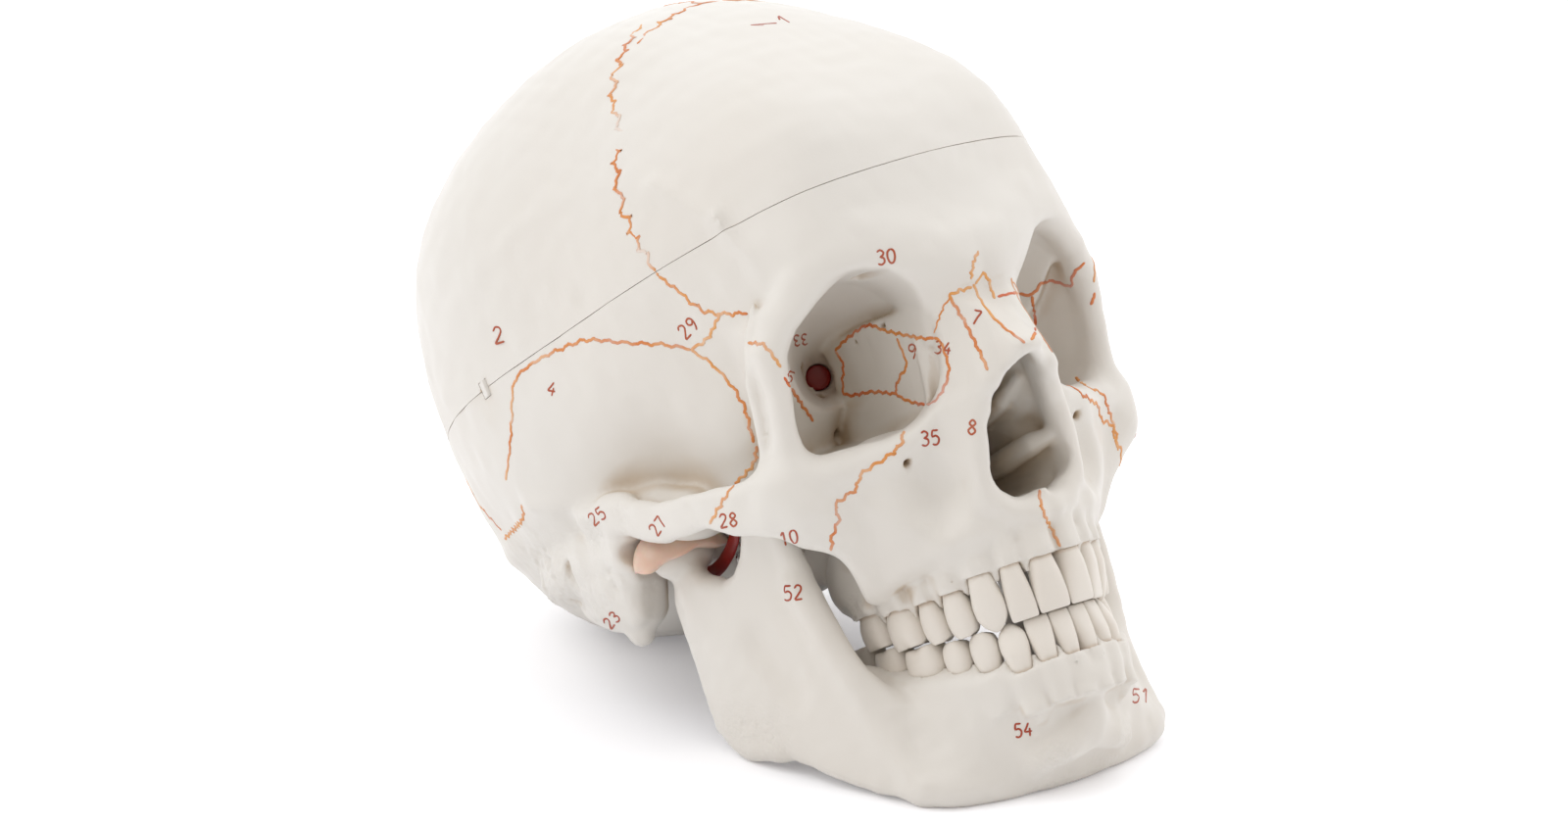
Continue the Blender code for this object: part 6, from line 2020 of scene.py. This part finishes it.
MARKS: list[Mark] = [
    Mark("1", (800, 20), 13, 60), Mark("2", (508, 342), 17, 12), Mark("4", (563, 397), 14, -12),
    Mark("25", (609, 527), 13, 38), Mark("27", (671, 537), 13, 52), Mark("28", (743, 531), 14, 8),
    Mark("10", (805, 549), 14, 14), Mark("52", (809, 605), 15, 4), Mark("23", (624, 633), 12, 48),
    Mark("29", (702, 335), 15, 42), Mark("30", (904, 262), 15, 8, False),
    Mark("33", (817, 347), 11, 188, False), Mark("5", (806, 385), 12, -20, False),
    Mark("9", (931, 359), 15, 8, False), Mark("34", (962, 355), 13, -8, False),
    Mark("7", (996, 324), 15, -14, False), Mark("35", (949, 447), 15, 6, False),
    Mark("8", (992, 436), 15, -6, False), Mark("54", (1044, 745), 14, 6, False),
    Mark("51", (1164, 710), 14, 0, False),
]


class Painter:
    """Draws the sutures and numbers, and keeps them by body and colour."""

    def __init__(self, canvas: Canvas) -> None:
        """Keep the canvas and start with no strips."""
        self.canvas = canvas
        self.rng = np.random.default_rng(11)
        self.strips: dict[tuple[Layer, str], Ribbons] = {}

    def strip(self, layer: Layer, ink: str) -> Ribbons:
        """Return the strips of one body and ink."""
        return self.strips.setdefault((layer, ink), Ribbons())

    def draw(self, layer: Layer, line: Array, ink: str, width: float, height: float, length: float,
             broken: float) -> None:
        """Draw one stretch, winding and fading by chance.

        Args:
            layer: Where it lies.
            line: Its points.
            ink: Its colour's name.
            width: Its width.
            height: How far it winds to each side.
            length: Length of a wave.
            broken: Mean share that fades away.
        """
        surface = self.canvas.surfaces[layer]
        line = resample(self.canvas.settle(layer, line), 0.42)
        if height:
            line = wander(line, surface.normal(line), height, length, self.rng)
        line = self.canvas.settle(layer, line, 3)
        knots = max(4, len(line) // 14)
        fade = np.interp(np.linspace(0, 1, len(line)), np.linspace(0, 1, knots),
                         self.rng.uniform(0, 1, knots))
        self.strip(layer, ink).add(surface, line, width, np.clip((fade - 1 + broken) * 1.6, 0, 0.7))

    def suture(self, drawn: Suture) -> None:
        """Draw a suture from the photograph, and its twin on the left where it has one."""
        pixels = resample(np.array(drawn.pixels, float), 1.5)
        ink = "deep" if drawn.deep else "plain"
        for layer, line in self.canvas.cast(PhotoView.of(False), pixels):
            broken = 0.55 if layer is Layer.CAP else 0.25
            self.draw(layer, line, ink, drawn.width, drawn.height, drawn.length, broken)
            if drawn.twin:
                self.draw(layer, line * (-1, 1, 1), ink, drawn.width, drawn.height, drawn.length, broken)

    def hidden(self, layer: Layer, spots: list[Place], height: float, length: float) -> None:
        """Draw a suture that the photograph doesn't show, on one side or both."""
        for side in (1, -1) if any(spot[0] for spot in spots[1:-1]) and spots[-1][0] else (1,):
            line = resample(np.array([place(spot, side) for spot in spots]), 1.0)
            self.draw(layer, self.canvas.settle(layer, line, 14), "plain", 0.8, height, length, 0.4)

    def mark(self, mark: Mark) -> None:
        """Write a number, and the same number on the left where it has a twin."""
        for mirrored in (False, True) if mark.twin else (False,):
            for stroke in mark.strokes():
                pixels = stroke
                if mirrored:
                    pixels = stroke + (2 * (PHOTO_CENTRE_PX[0] - mark.middle[0]), 0)
                for layer, line in self.canvas.cast(PhotoView.of(mirrored), resample(pixels, 0.8)):
                    surface = self.canvas.surfaces[layer]
                    line = resample(self.canvas.settle(layer, line, 3), 0.3)
                    self.strip(layer, "number").add(surface, line, 0.52)


# Sub-assemblies


@dataclass
class Fitting:
    """What every sub-assembly shares: putting a mesh in the row frame on its body, in its finish."""

    def lay(self, name: str, mesh: bpy.types.Mesh, material: bpy.types.Material) -> bpy.types.Object:
        """Carry a mesh to the row frame, give it its finish and return its object."""
        mesh.transform(LIE.matrix())
        mesh.materials.clear()
        mesh.materials.append(material)
        return new_object(name, mesh)

    def fit(self, name: str, mesh: bpy.types.Mesh, body: str, material: bpy.types.Material, slot: str | None,
            nodes: Sequence[str]) -> bpy.types.Object:
        """Place a finished mesh.

        Args:
            name: Name of the piece.
            mesh: Its mesh, in the skull's frame.
            body: The body that it rides on.
            material: Its finish.
            slot: The record's material slot; not used.
            nodes: The CAD nodes that it stands for.
        Returns:
            The object.
        """
        obj = self.lay(name, mesh, material)
        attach(obj, body)
        if nodes:
            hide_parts(*nodes)
        log.info("%s: %d faces on %s", name, len(mesh.polygons), body)
        return obj


def floor_cutter() -> bpy.types.Object:
    """Make the box under the floor, in the skull's frame."""
    turned = Matrix(LIE.turn.T.tolist()).to_4x4()
    middle = LIE.back(np.array((0.0, 0.0, -CUTTER_SIZE / 2 * MM)))
    return box_cutter(Matrix.Translation(Vector(middle)) @ turned, (CUTTER_SIZE,) * 3)


def cut_cutter(above: bool) -> bpy.types.Object:
    """Make the box on one side of the saw cut."""
    side = 1 if above else -1
    middle = CUT_MIDDLE + CUT_UP * side * (CUTTER_SIZE / 2 - SEEN_CUT_GAP / 2)
    return box_cutter(frame_of(middle, CUT_UP, np.array((1.0, 0, 0))), (CUTTER_SIZE,) * 3)


@dataclass
class RimFitting:
    """A pin, magnet or key on the rim: the CAD node that it stands for, and where that lies."""

    node: str

    def middle(self) -> Array:
        """Return the CAD node's middle, in the skull's frame."""
        low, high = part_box(self.node)
        return LIE.back((np.array(low) + np.array(high)) / 2)

    def outward(self) -> Array:
        """Return the way outwards from the cut's middle."""
        away = self.middle() - CUT_MIDDLE
        return unit(away - CUT_UP * (away @ CUT_UP))

    def frame(self) -> Matrix:
        """Return the fitting's frame: Z out of the cut, X outwards."""
        return frame_of(self.middle(), CUT_UP, self.outward())

    def seat(self) -> bpy.types.Object:
        """Return the cutter of its seat, which is a little larger."""
        if "key" in self.node:
            return box_cutter(self.frame(), [size + SEAT_ROOM for size in KEY_SIZE])
        radius, length = (PIN_RADIUS, PIN_LENGTH) if "pin" in self.node else (MAGNET_RADIUS, MAGNET_LENGTH
                                                                              + 0.5)
        sizes = (radius + SEAT_ROOM, length + 2 * SEAT_ROOM)
        profile = np.array([(0, -0.5), (1, -0.5), (1, 0.5), (0, 0.5)]) * sizes
        points, faces = turned_points(profile, 32)
        return new_object("cutter", new_mesh("cutter", placed(points, self.frame()), faces))


@dataclass
class Calvarium(Fitting):
    """The lift-off cap: an outer and an inner dome, joined by the sawn rim."""

    outer: Callable[[Array], Array]
    inner: Callable[[Array], Array]
    surface: Surface
    around: int = 330
    outer_rows: int = 104
    inner_rows: int = 56
    rim_rows: int = 5

    def dome(self, radius: Callable[[Array], Array], rows: int) -> tuple[Array, Array]:
        """Return a dome's rings from the rim up, and its top point.

        A ring's rise starts where radius times sine of the rise equals the cut's height over the centre.
        """
        centre = place(VAULT_CENTRE)
        turn = np.linspace(0, 2 * math.pi, self.around, endpoint=False)
        first = np.array((1.0, 0, 0))
        second = np.cross(CUT_UP, first)
        flat = np.cos(turn)[:, None] * first + np.sin(turn)[:, None] * second
        height = (CUT_MIDDLE - centre) @ CUT_UP + SEEN_CUT_GAP / 2
        rise = np.full(self.around, 0.1)
        for _ in range(16):
            ways = flat * np.cos(rise)[:, None] + CUT_UP * np.sin(rise)[:, None]
            rise = np.arcsin(height / radius(ways))
        share = np.linspace(0, 1, rows, endpoint=False)[:, None]
        rises = (rise + (math.pi / 2 - rise) * share)[..., None]
        ways = flat * np.cos(rises) + CUT_UP * np.sin(rises)
        top = centre + CUT_UP * radius(CUT_UP[None])[0]
        return centre + ways * radius(ways)[..., None], top

    def build(self, fittings: Sequence[RimFitting]) -> bpy.types.Object:
        """Build the cap with its seats cut out."""
        outer, outer_top = self.dome(self.outer, self.outer_rows)
        inner, inner_top = self.dome(self.inner, self.inner_rows)
        share = np.linspace(0, 1, self.rim_rows + 1, endpoint=False)[1:, None, None]
        rim = inner[0] + (outer[0] - inner[0]) * share
        rows = np.concatenate([inner[::-1], rim, outer])
        uneven = ripples(np.abs(rows[..., 0]), rows[..., 1], rows[..., 2], 0.10, 9.0, 3)
        centre = place(VAULT_CENTRE)
        above = np.clip(((rows - CUT_MIDDLE) @ CUT_UP) / 4, 0, 1)
        rows = rows - unit(rows - centre) * (uneven * above)[..., None]
        points = np.concatenate([rows.reshape(-1, 3), inner_top[None], outer_top[None]])
        obj = new_object("calvarium_form", new_mesh("calvarium_form", points,
                                                    closed_faces(len(rows), self.around)))
        for fitting in fittings:
            carve_mesh(obj, fitting.seat())
        mesh = obj.data
        finish_bone(mesh, self.surface)
        bpy.data.objects.remove(obj)
        return self.fit("calvarium_shell", mesh, Layer.CAP.value, BONE, "bone", ["calvarium"])


def finish_bone(mesh: bpy.types.Mesh, surface: Surface) -> None:
    """Give a bone its painted shade and roughness attributes, and sharp edges where it is sawn."""
    points = points_of(mesh)
    add_shade(mesh, depth_of(surface, points, normals_of(mesh)), roughness_of(points))
    mesh.shade_smooth()
    mesh.set_sharp_from_angle(angle=BONE_EDGE_TURN)


@dataclass
class MouldedBone(Fitting):
    """The skull base or the jaw: a grid's surface, cut flat where it is sawn or stands, and thinned out."""

    name: str
    node: str
    body: str
    grid: BoneGrid
    cutters: list[Callable[[], bpy.types.Object]]

    def build(self) -> bpy.types.Object:
        """Build the bone."""
        self.grid.settle()
        points, quads = self.grid.mesh()
        points = self.grid.project(points, 1)
        obj = new_object(f"{self.name}_form", new_mesh(self.name, points, [quads]))
        log.info("%s: %d quads before cuts", self.name, len(quads))
        for cutter in self.cutters:
            carve_mesh(obj, cutter())
        thin(obj, MOST_TRIANGLES)
        mesh = obj.data
        finish_bone(mesh, self.grid)
        bpy.data.objects.remove(obj)
        return self.fit(self.name, mesh, self.body, BONE, "bone", [self.node])


@dataclass
class TeethSet(Fitting):
    """Both rows of teeth."""

    seats: dict[str, list[ToothSeat]]

    def build(self) -> None:
        """Build every tooth on both sides."""
        for jaw, seats in self.seats.items():
            body = Layer.BASE.value if jaw == "upper" else Layer.JAW.value
            for number, seat in enumerate(seats):
                for side, side_name in ((1, "left"), (-1, "right")):
                    tooth = Tooth(seat, 100 + number * 7 + side)
                    points = tooth.points() * (side, 1, 1)
                    faces = closed_faces(len(points) - 2, tooth.around)
                    if (seat.grow > 0) != (side < 0):
                        faces = [part[:, ::-1] for part in faces]
                    flat = np.concatenate([points[1:-1].reshape(-1, 3), points[0, :1], points[-1, :1]])
                    name = f"{jaw}_{side_name}_{seat.size.name}"
                    mesh = new_mesh(name, flat, faces)
                    height = (flat[:, 2] - seat.spot[2]) * seat.grow
                    # Painted shade, strongest at and below the gum line and gone a little over a millimetre
                    # up the crown
                    add_shade(mesh, np.clip(0.42 - height / 3.0, 0, 0.9))
                    self.fit(f"{name}_crown", mesh, body, TOOTH, "tooth", [name])


def bevelled(radius: float, length: float, bevel: float) -> Array:
    """Return the profile of a short cylinder with bevelled ends, about its middle."""
    half = length / 2
    return np.array([(0, -half), (radius - bevel, -half), (radius - bevel * 0.3, -half + bevel * 0.3),
                     (radius, -half + bevel), (radius, 0), (radius, half - bevel),
                     (radius - bevel * 0.3, half - bevel * 0.3), (radius - bevel, half), (0, half)])


@dataclass
class RimSet(Fitting):
    """The cap's pins, magnets and key."""

    fittings: list[RimFitting]

    def build(self) -> None:
        """Build each fitting at its CAD node's place."""
        for fitting in self.fittings:
            name = fitting.node
            body = Layer.CAP.value if name.startswith("cap_") else Layer.BASE.value
            if "key" in name:
                block = box_cutter(fitting.frame(), KEY_SIZE)
                modify(block, "BEVEL", width=KEY_BEVEL, segments=3)
                mesh = block.data
                bpy.data.objects.remove(block)
                # A low, even amount of painted shade
                add_shade(mesh, 0.1)
                mesh.shade_smooth()
                mesh.set_sharp_from_angle(angle=FITTING_EDGE_TURN)
                self.fit(f"{name}_block", mesh, body, BONE, "bone", [name])
                continue
            sizes = (PIN_RADIUS, PIN_LENGTH, 0.35) if "pin" in name else (MAGNET_RADIUS, MAGNET_LENGTH, 0.2)
            points, faces = turned_points(bevelled(*sizes), 36)
            mesh = new_mesh(name, placed(points, fitting.frame()), faces)
            mesh.set_sharp_from_angle(angle=FITTING_EDGE_TURN)
            self.fit(f"{name}_turned", mesh, body, STEEL, "steel", [name])


def eye_line(centre: Array, along: Array, out: Array) -> Array:
    """Return the line of a wire eye: a shank along a way, then a ring round the centre that nearly closes."""
    turn = np.linspace(0, 2 * math.pi - EYE_OPEN_TURN, 40)[:, None]
    ring = centre + (along * np.cos(turn) + out * np.sin(turn)) * EYE_RADIUS
    foot = centre + along * (EYE_RADIUS + EYE_WIRE)
    shank = np.linspace(foot + along * EYE_SHANK, foot, 12)
    return np.concatenate([shank, ring])


def spring_line(top: Array, foot: Array, out: Array, curl_points: int = 22, hook_points: int = 10) -> Array:
    """Return the line of a spring with a half ring at each end.

    The coil is a circle that moves evenly from top to foot. Each hook is a half circle that stands on its
    end.
    """
    along = unit(foot - top)
    side = unit(np.cross(along, out))
    reach = EYE_RADIUS + SPRING_RADIUS - (EYE_WIRE + SPRING_WIRE) / 2 - FIT_GAP
    start, end = top + along * reach, foot - along * reach
    turn = np.linspace(math.pi, 0, hook_points, endpoint=False)[:, None]
    upper = start + (side * np.cos(turn) - along * np.sin(turn)) * SPRING_RADIUS
    count = SPRING_CURLS * curl_points
    share = np.linspace(0, 1, count + 1)[:, None]
    turn = share * 2 * math.pi * SPRING_CURLS
    coil = start + (end - start) * share + (side * np.cos(turn) + out * np.sin(turn)) * SPRING_RADIUS
    turn = np.linspace(0, math.pi, hook_points + 1)[1:, None]
    lower = end + (side * np.cos(turn) + along * np.sin(turn)) * SPRING_RADIUS
    return np.concatenate([upper, coil, lower])


@dataclass
class JawSpring(Fitting):
    """One side's spring, its red sleeve, the two wire eyes that it hangs between, and the flat red strap."""

    side_name: str
    side: int

    def build(self) -> None:
        """Build the five pieces."""
        top, foot = place(SPRING_TOP, self.side), place(SPRING_FOOT, self.side)
        along = unit(foot - top)
        out = np.array((float(self.side), 0, 0))
        out = unit(out - along * (out @ along))
        points, faces = tube(spring_line(top, foot, out), SPRING_WIRE / 2, 8)
        node = f"jaw_spring_{self.side_name}"
        self.stretch(f"{node}_coil", outward(new_mesh(node, points, faces)), STEEL, "steel", node, top, foot)
        upper = tube(eye_line(top, -along, out), EYE_WIRE / 2)
        lower = tube(eye_line(foot, out, along), EYE_WIRE / 2)
        for node, (points, faces), body in ((f"skull_eye_{self.side_name}", upper, Layer.BASE.value),
                                            (f"jaw_eye_{self.side_name}", lower, Layer.JAW.value)):
            self.fit(f"{node}_wire", outward(new_mesh(node, points, faces)), body, STEEL, "steel", [node])
        self.sleeve(top, foot, along, out)
        self.strap()

    def strap(self) -> None:
        """Hang the flat red strap in the notch of the jaw, clear of condyle, sleeve and ramus.

        A round tube of the strap's width is flattened across the plane in which the strap hangs.
        """
        knots = np.array(NOTCH_STRAP) * (self.side, -1, 1)
        share = np.linspace(0, 1, len(knots))
        finer = np.linspace(0, 1, 60)
        line = np.column_stack([np.interp(finer, share, knots[:, axis]) for axis in range(3)])
        weights = np.exp(-np.linspace(-2, 2, 9) ** 2)
        padded = np.concatenate([np.repeat(line[:1], 4, 0), line, np.repeat(line[-1:], 4, 0)])
        line = np.column_stack([np.convolve(padded[:, axis], weights / weights.sum(), "valid")
                                for axis in range(3)])
        thickness, width = STRAP_SIZE
        points, faces = tube(line, width / 2, 20)
        points[:, 0] = line[0, 0] + (points[:, 0] - line[0, 0]) * thickness / width
        name = f"notch_strap_{self.side_name}"
        self.fit(name, outward(new_mesh(name, points, faces)), Layer.BASE.value, RED, "red_plastic", [])

    def stretch(self, name: str, mesh: bpy.types.Mesh, material: bpy.types.Material, slot: str, node: str,
                top: Array, foot: Array) -> None:
        """Place a piece that stretches between skull and jaw."""
        obj = self.lay(name, mesh, material)
        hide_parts(node)
        tuple(LIE.point(top))
        tuple(LIE.point(foot))
        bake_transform(obj)
        log.info("%s: %d faces between skull and jaw", name, len(mesh.polygons))

    def sleeve(self, top: Array, foot: Array, along: Array, out: Array) -> None:
        """Add the sleeve: a tube with rounded lips and a slight waist."""
        node = f"spring_sleeve_{self.side_name}"
        half = np.linalg.norm(foot - top) / 2 - EYE_RADIUS - EYE_WIRE
        bore = SPRING_RADIUS + SPRING_WIRE / 2 + FIT_GAP
        wall = SLEEVE_WALL
        height = np.linspace(-half, half, 30)
        lip = np.linspace(-math.pi / 2, math.pi / 2, 7)[1:-1]
        waist = 0.12 * np.cos(height / half * math.pi / 2)
        outer = np.column_stack([bore + wall - waist * 0.6, height])
        inner = np.column_stack([bore + 0 * waist, height])[::-1]
        upper_lip = np.column_stack([bore + wall / 2 - wall / 2 * np.sin(lip), half + wall / 2
                                     * np.cos(lip) * 0.8])
        lower_lip = np.column_stack([bore + wall / 2 + wall / 2 * np.sin(lip), -half - wall / 2
                                     * np.cos(lip) * 0.8])
        profile = np.concatenate([outer, upper_lip, inner, lower_lip])
        turn = np.linspace(0, 2 * math.pi, 40, endpoint=False)
        rings = np.stack([profile[:, :1] * np.cos(turn), profile[:, :1] * np.sin(turn),
                          np.broadcast_to(profile[:, 1:], (len(profile), len(turn)))], axis=-1)
        index = np.arange(len(profile) * len(turn)).reshape(len(profile), len(turn))
        after = np.roll(index, -1, axis=1)
        quads = np.stack([index, after, np.roll(after, -1, axis=0), np.roll(index, -1, axis=0)], axis=-1)
        points = placed(rings.reshape(-1, 3), frame_of((top + foot) / 2, along, out))
        mesh = outward(new_mesh(node, points, [quads.reshape(-1, 4)]))
        self.stretch(f"{node}_tube", mesh, RED, "red_plastic", node, top, foot)


def outward(mesh: bpy.types.Mesh) -> bpy.types.Mesh:
    """Turn a closed mesh's faces outwards, if its signed volume is negative."""
    mesh.calc_loop_triangles()
    corners = np.empty(len(mesh.loop_triangles) * 3, np.int32)
    mesh.loop_triangles.foreach_get("vertices", corners)
    a, b, c = np.moveaxis(points_of(mesh)[corners.reshape(-1, 3)], 1, 0)
    if (a * np.cross(b, c)).sum() < 0:
        mesh.flip_normals()
    return mesh


@dataclass
class JointDisc(Fitting):
    """The soft disc over one condyle: a thick cap with a soft uneven edge."""

    side_name: str
    side: int
    around: int = 96
    rows: int = 26

    def build(self) -> None:
        """Build the disc from an inner and an outer part egg, joined by a rounded edge."""
        centre = place(CONDYLE_PLACE, self.side)
        outer = np.array(CONDYLE_RADII) + DISC_THICKNESS + FIT_GAP - 0.05
        inner = np.array(CONDYLE_RADII) + FIT_GAP
        turn = np.linspace(0, 2 * math.pi, self.around, endpoint=False)[None]
        edge = 0.06 * np.sin(3 * turn + 0.6) + 0.04 * np.sin(7 * turn)
        share = np.linspace(0, 1, self.rows, endpoint=False)[:, None]
        skirt = -0.14 * np.clip(np.cos(turn) * self.side, 0, 1) ** 2

        def egg(radii: Array, lift: float) -> Array:
            rise = edge + skirt + lift + (math.pi / 2 - edge - skirt - lift) * share
            spread = np.stack([np.cos(rise) * np.cos(turn), np.cos(rise) * np.sin(turn), np.sin(rise) + 0
                               * turn],
                              axis=-1)
            return spread * radii

        shell_out, shell_in = egg(outer, DISC_LIFTS[0]), egg(inner, DISC_LIFTS[1])
        swell = np.sin(np.linspace(0, math.pi, 7)[1:-1])[:, None]
        across = np.linspace(0, 1, 7)[1:-1][:, None, None]
        lip = shell_in[0] + (shell_out[0] - shell_in[0]) * across
        lip[..., 2] -= swell * 0.5
        rows = np.concatenate([shell_in[::-1], lip, shell_out])
        points = np.concatenate([rows.reshape(-1, 3), [(0, 0, inner[2])], [(0, 0, outer[2])]]) + centre
        name = f"joint_disc_{self.side_name}"
        mesh = outward(new_mesh(name, points, closed_faces(len(rows), self.around)))
        self.fit(f"{name}_pad", mesh, Layer.BASE.value, DISC, "joint_disc", [name])


@dataclass
class OrbitPlug(Fitting):
    """The red plug behind the orbit's apex, with a domed face."""

    side_name: str
    side: int

    def build(self) -> None:
        """Build the plug."""
        start, end = place(ORBIT_APEX, self.side), place(CANAL_END, self.side)
        way = unit(end - start)
        radius = CANAL_RADIUS - FIT_GAP
        bend = np.linspace(0, math.pi / 2, 8)
        face = np.column_stack([radius * np.sin(bend), -0.5 * np.cos(bend)])
        profile = np.concatenate([face, [(radius, PLUG_LENGTH * 0.5), (radius, PLUG_LENGTH - 0.3),
                                         (radius - 0.3, PLUG_LENGTH), (0, PLUG_LENGTH)]])
        points, faces = turned_points(profile, 48)
        name = f"orbit_plug_{self.side_name}"
        matrix = frame_of(start + way * (PLUG_SETBACK + 0.5), way, np.array((0, 0, 1.0)))
        mesh = outward(new_mesh(name, placed(points, matrix), faces))
        self.fit(f"{name}_body", mesh, Layer.BASE.value, RED, "red_plastic", [name])


@dataclass
class Drawing(Fitting):
    """The painted sutures and numbers."""

    painter: Painter

    def build(self) -> None:
        """Draw every line and place one mesh for each body and ink."""
        for drawn in SUTURES.values():
            self.painter.suture(drawn)
        for hidden in HIDDEN_SUTURES.values():
            self.painter.hidden(*hidden)
        for mark in MARKS:
            self.painter.mark(mark)
        inks = {"plain": ("sutures", SUTURE), "deep": ("deep_sutures", DEEP_SUTURE),
                "number": ("numbers", NUMBER)}
        for (layer, ink), strips in self.painter.strips.items():
            label, material = inks[ink]
            name = f"{layer.value}_{label}"
            self.fit(name, strips.mesh(name), layer.value, material, None, [])


# Stage


@dataclass(frozen=True)
class Lamp:
    """A sun lamp: where its light comes from, how strong and how wide it is."""

    name: str
    come_from: Place
    strength: float
    width: float
    colour: Colour = (1, 1, 1)

    def build(self) -> None:
        """Add the lamp."""
        light = bpy.data.lights.new(self.name, "SUN")
        light.energy = self.strength
        light.angle = math.radians(self.width)
        light.color = self.colour
        obj = new_object(self.name, light)
        obj.rotation_euler = Vector(self.come_from).to_track_quat("Z", "Y").to_euler()


LAMPS = [
    Lamp("key", (-0.80, 0.25, 0.75), 0.66, 60, (1.0, 0.99, 0.98)),
    Lamp("fill", (0.70, -0.25, 0.60), 0.55, 80, (1.0, 0.985, 0.97)),
]
# The room's light: brightness on average, how far it changes, and the way in which it is brightest
ROOM_LIGHT = (0.64, 0.58, (0.30, 0.50, 0.62))
# The floor's colour, and how much it glows where it is seen, which makes the shadows on it paler
FLOOR_COLOUR: Colour = (0.965, 0.975, 1.0)
FLOOR_GLOW = 0.2
# The room's colour from the dimmest way to the brightest
ROOM_COLOURS: tuple[Colour, Colour] = ((1.0, 0.79, 0.58), (0.985, 0.99, 1.0))


def build_room() -> None:
    """Add the light from all round, which is brightest from one way."""
    world = bpy.data.worlds.new("room")
    bpy.context.scene.world = world
    world.use_nodes = True
    nodes = Nodes(world.node_tree)
    background = world.node_tree.nodes["Background"]
    average, change, brightest = ROOM_LIGHT
    where = nodes.add("ShaderNodeTexCoord").outputs["Generated"]
    along = nodes.add("ShaderNodeVectorMath", {0: where, 1: unit(np.array(brightest))},
                      operation="DOT_PRODUCT")
    strength = nodes.maths("ADD", nodes.maths("MULTIPLY", along.outputs["Value"], change), average)
    world.node_tree.links.new(nodes.maths("MAXIMUM", strength, 0.08), background.inputs["Strength"])
    tone = nodes.mix(nodes.between(along.outputs["Value"], -1.0, 0.4), *ROOM_COLOURS)
    world.node_tree.links.new(tone, background.inputs["Color"])


def build_floor() -> None:
    """Add the pale floor, which glows a little wherever it is seen."""
    size = 30.0
    points = np.array([(-size, -size, 0), (size, -size, 0), (size, size, 0), (-size, size, 0)])
    mesh = new_mesh("floor", points, [np.array([(0, 1, 2, 3)])])
    material, nodes, shader = principled("floor", FLOOR_COLOUR)
    shader.inputs["Base Color"].default_value = (*FLOOR_COLOUR, 1)
    shader.inputs["Roughness"].default_value = 0.9
    shader.inputs["Specular IOR Level"].default_value = 0.1
    seen = nodes.add("ShaderNodeLightPath").outputs
    direct = nodes.maths("MAXIMUM", seen["Is Camera Ray"], nodes.maths("MAXIMUM", seen["Is Glossy Ray"],
                                                                       seen["Is Transmission Ray"]))
    shader.inputs["Emission Color"].default_value = (0.99, 0.97, 1.0, 1)
    nodes.tree.links.new(nodes.maths("MULTIPLY", direct, FLOOR_GLOW), shader.inputs["Emission Strength"])
    mesh.materials.append(material)
    new_object("floor", mesh)


def build_camera() -> None:
    """Add the photograph's camera."""
    camera = bpy.data.cameras.new("photo")
    camera.lens = LENS_LENGTH
    camera.sensor_width = SENSOR_WIDTH
    camera.clip_end = 100.0
    obj = new_object("photo_camera", camera)
    axes = LIE.way(np.array((CAMERA_RIGHT, CAMERA_TOP, [-value for value in CAMERA_AHEAD])))
    turned = Matrix([list(row) for row in axes]).transposed().to_4x4()
    obj.matrix_world = Matrix.Translation(Vector(LIE.point(np.array(CAMERA_PLACE)))) @ turned
    bpy.context.scene.camera = obj
    bpy.context.scene.view_settings.view_transform = "Standard"


def main() -> None:
    """Build the looks of the skull."""
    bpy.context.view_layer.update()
    outer_radius, inner_radius = both_radii()
    outer, inner = Vault(outer_radius), Vault(inner_radius)
    upper = ToothRow(UPPER_ROW, UPPER_TEETH, -1).seats()
    lower = ToothRow(LOWER_ROW, LOWER_TEETH, 1).seats()
    base = grow_skull_base(outer, inner, upper)
    x, y, z = base.coordinates()
    over_cut = CUT_UP[1] * y + CUT_UP[2] * (z - CUT_HEIGHT) - BASE_OVER_CUT
    base.values = np.maximum(base.values, over_cut.astype(np.float32))
    jaw = grow_jaw(lower)
    rim = [RimFitting(name) for name in frame["nodes"] if "magnet" in name or "pin" in name or "key" in name]
    above = CutSurface(outer, True)
    cap_room = CapRoom(outer, inner)
    Calvarium(outer_radius, inner_radius, cap_room).build(rim)
    MouldedBone("skull_base_moulding", "skull_base", Layer.BASE.value, base,
                [lambda: cut_cutter(True), floor_cutter, *(fitting.seat for fitting in rim)]).build()
    MouldedBone("mandible_moulding", "mandible", Layer.JAW.value, jaw, [floor_cutter]).build()
    TeethSet({"upper": upper, "lower": lower}).build()
    RimSet(rim).build()
    for side_name, side in (("left", 1), ("right", -1)):
        JawSpring(side_name, side).build()
        JointDisc(side_name, side).build()
        OrbitPlug(side_name, side).build()
    canvas = Canvas({Layer.BASE: CutSurface(base, False), Layer.CAP: above, Layer.JAW: jaw})
    Drawing(Painter(canvas)).build()
    build_room()
    build_floor()
    for lamp in LAMPS:
        lamp.build()
    build_camera()


if __name__ == "__main__":
    logging.basicConfig(level=logging.INFO, format="%(message)s")
    main()
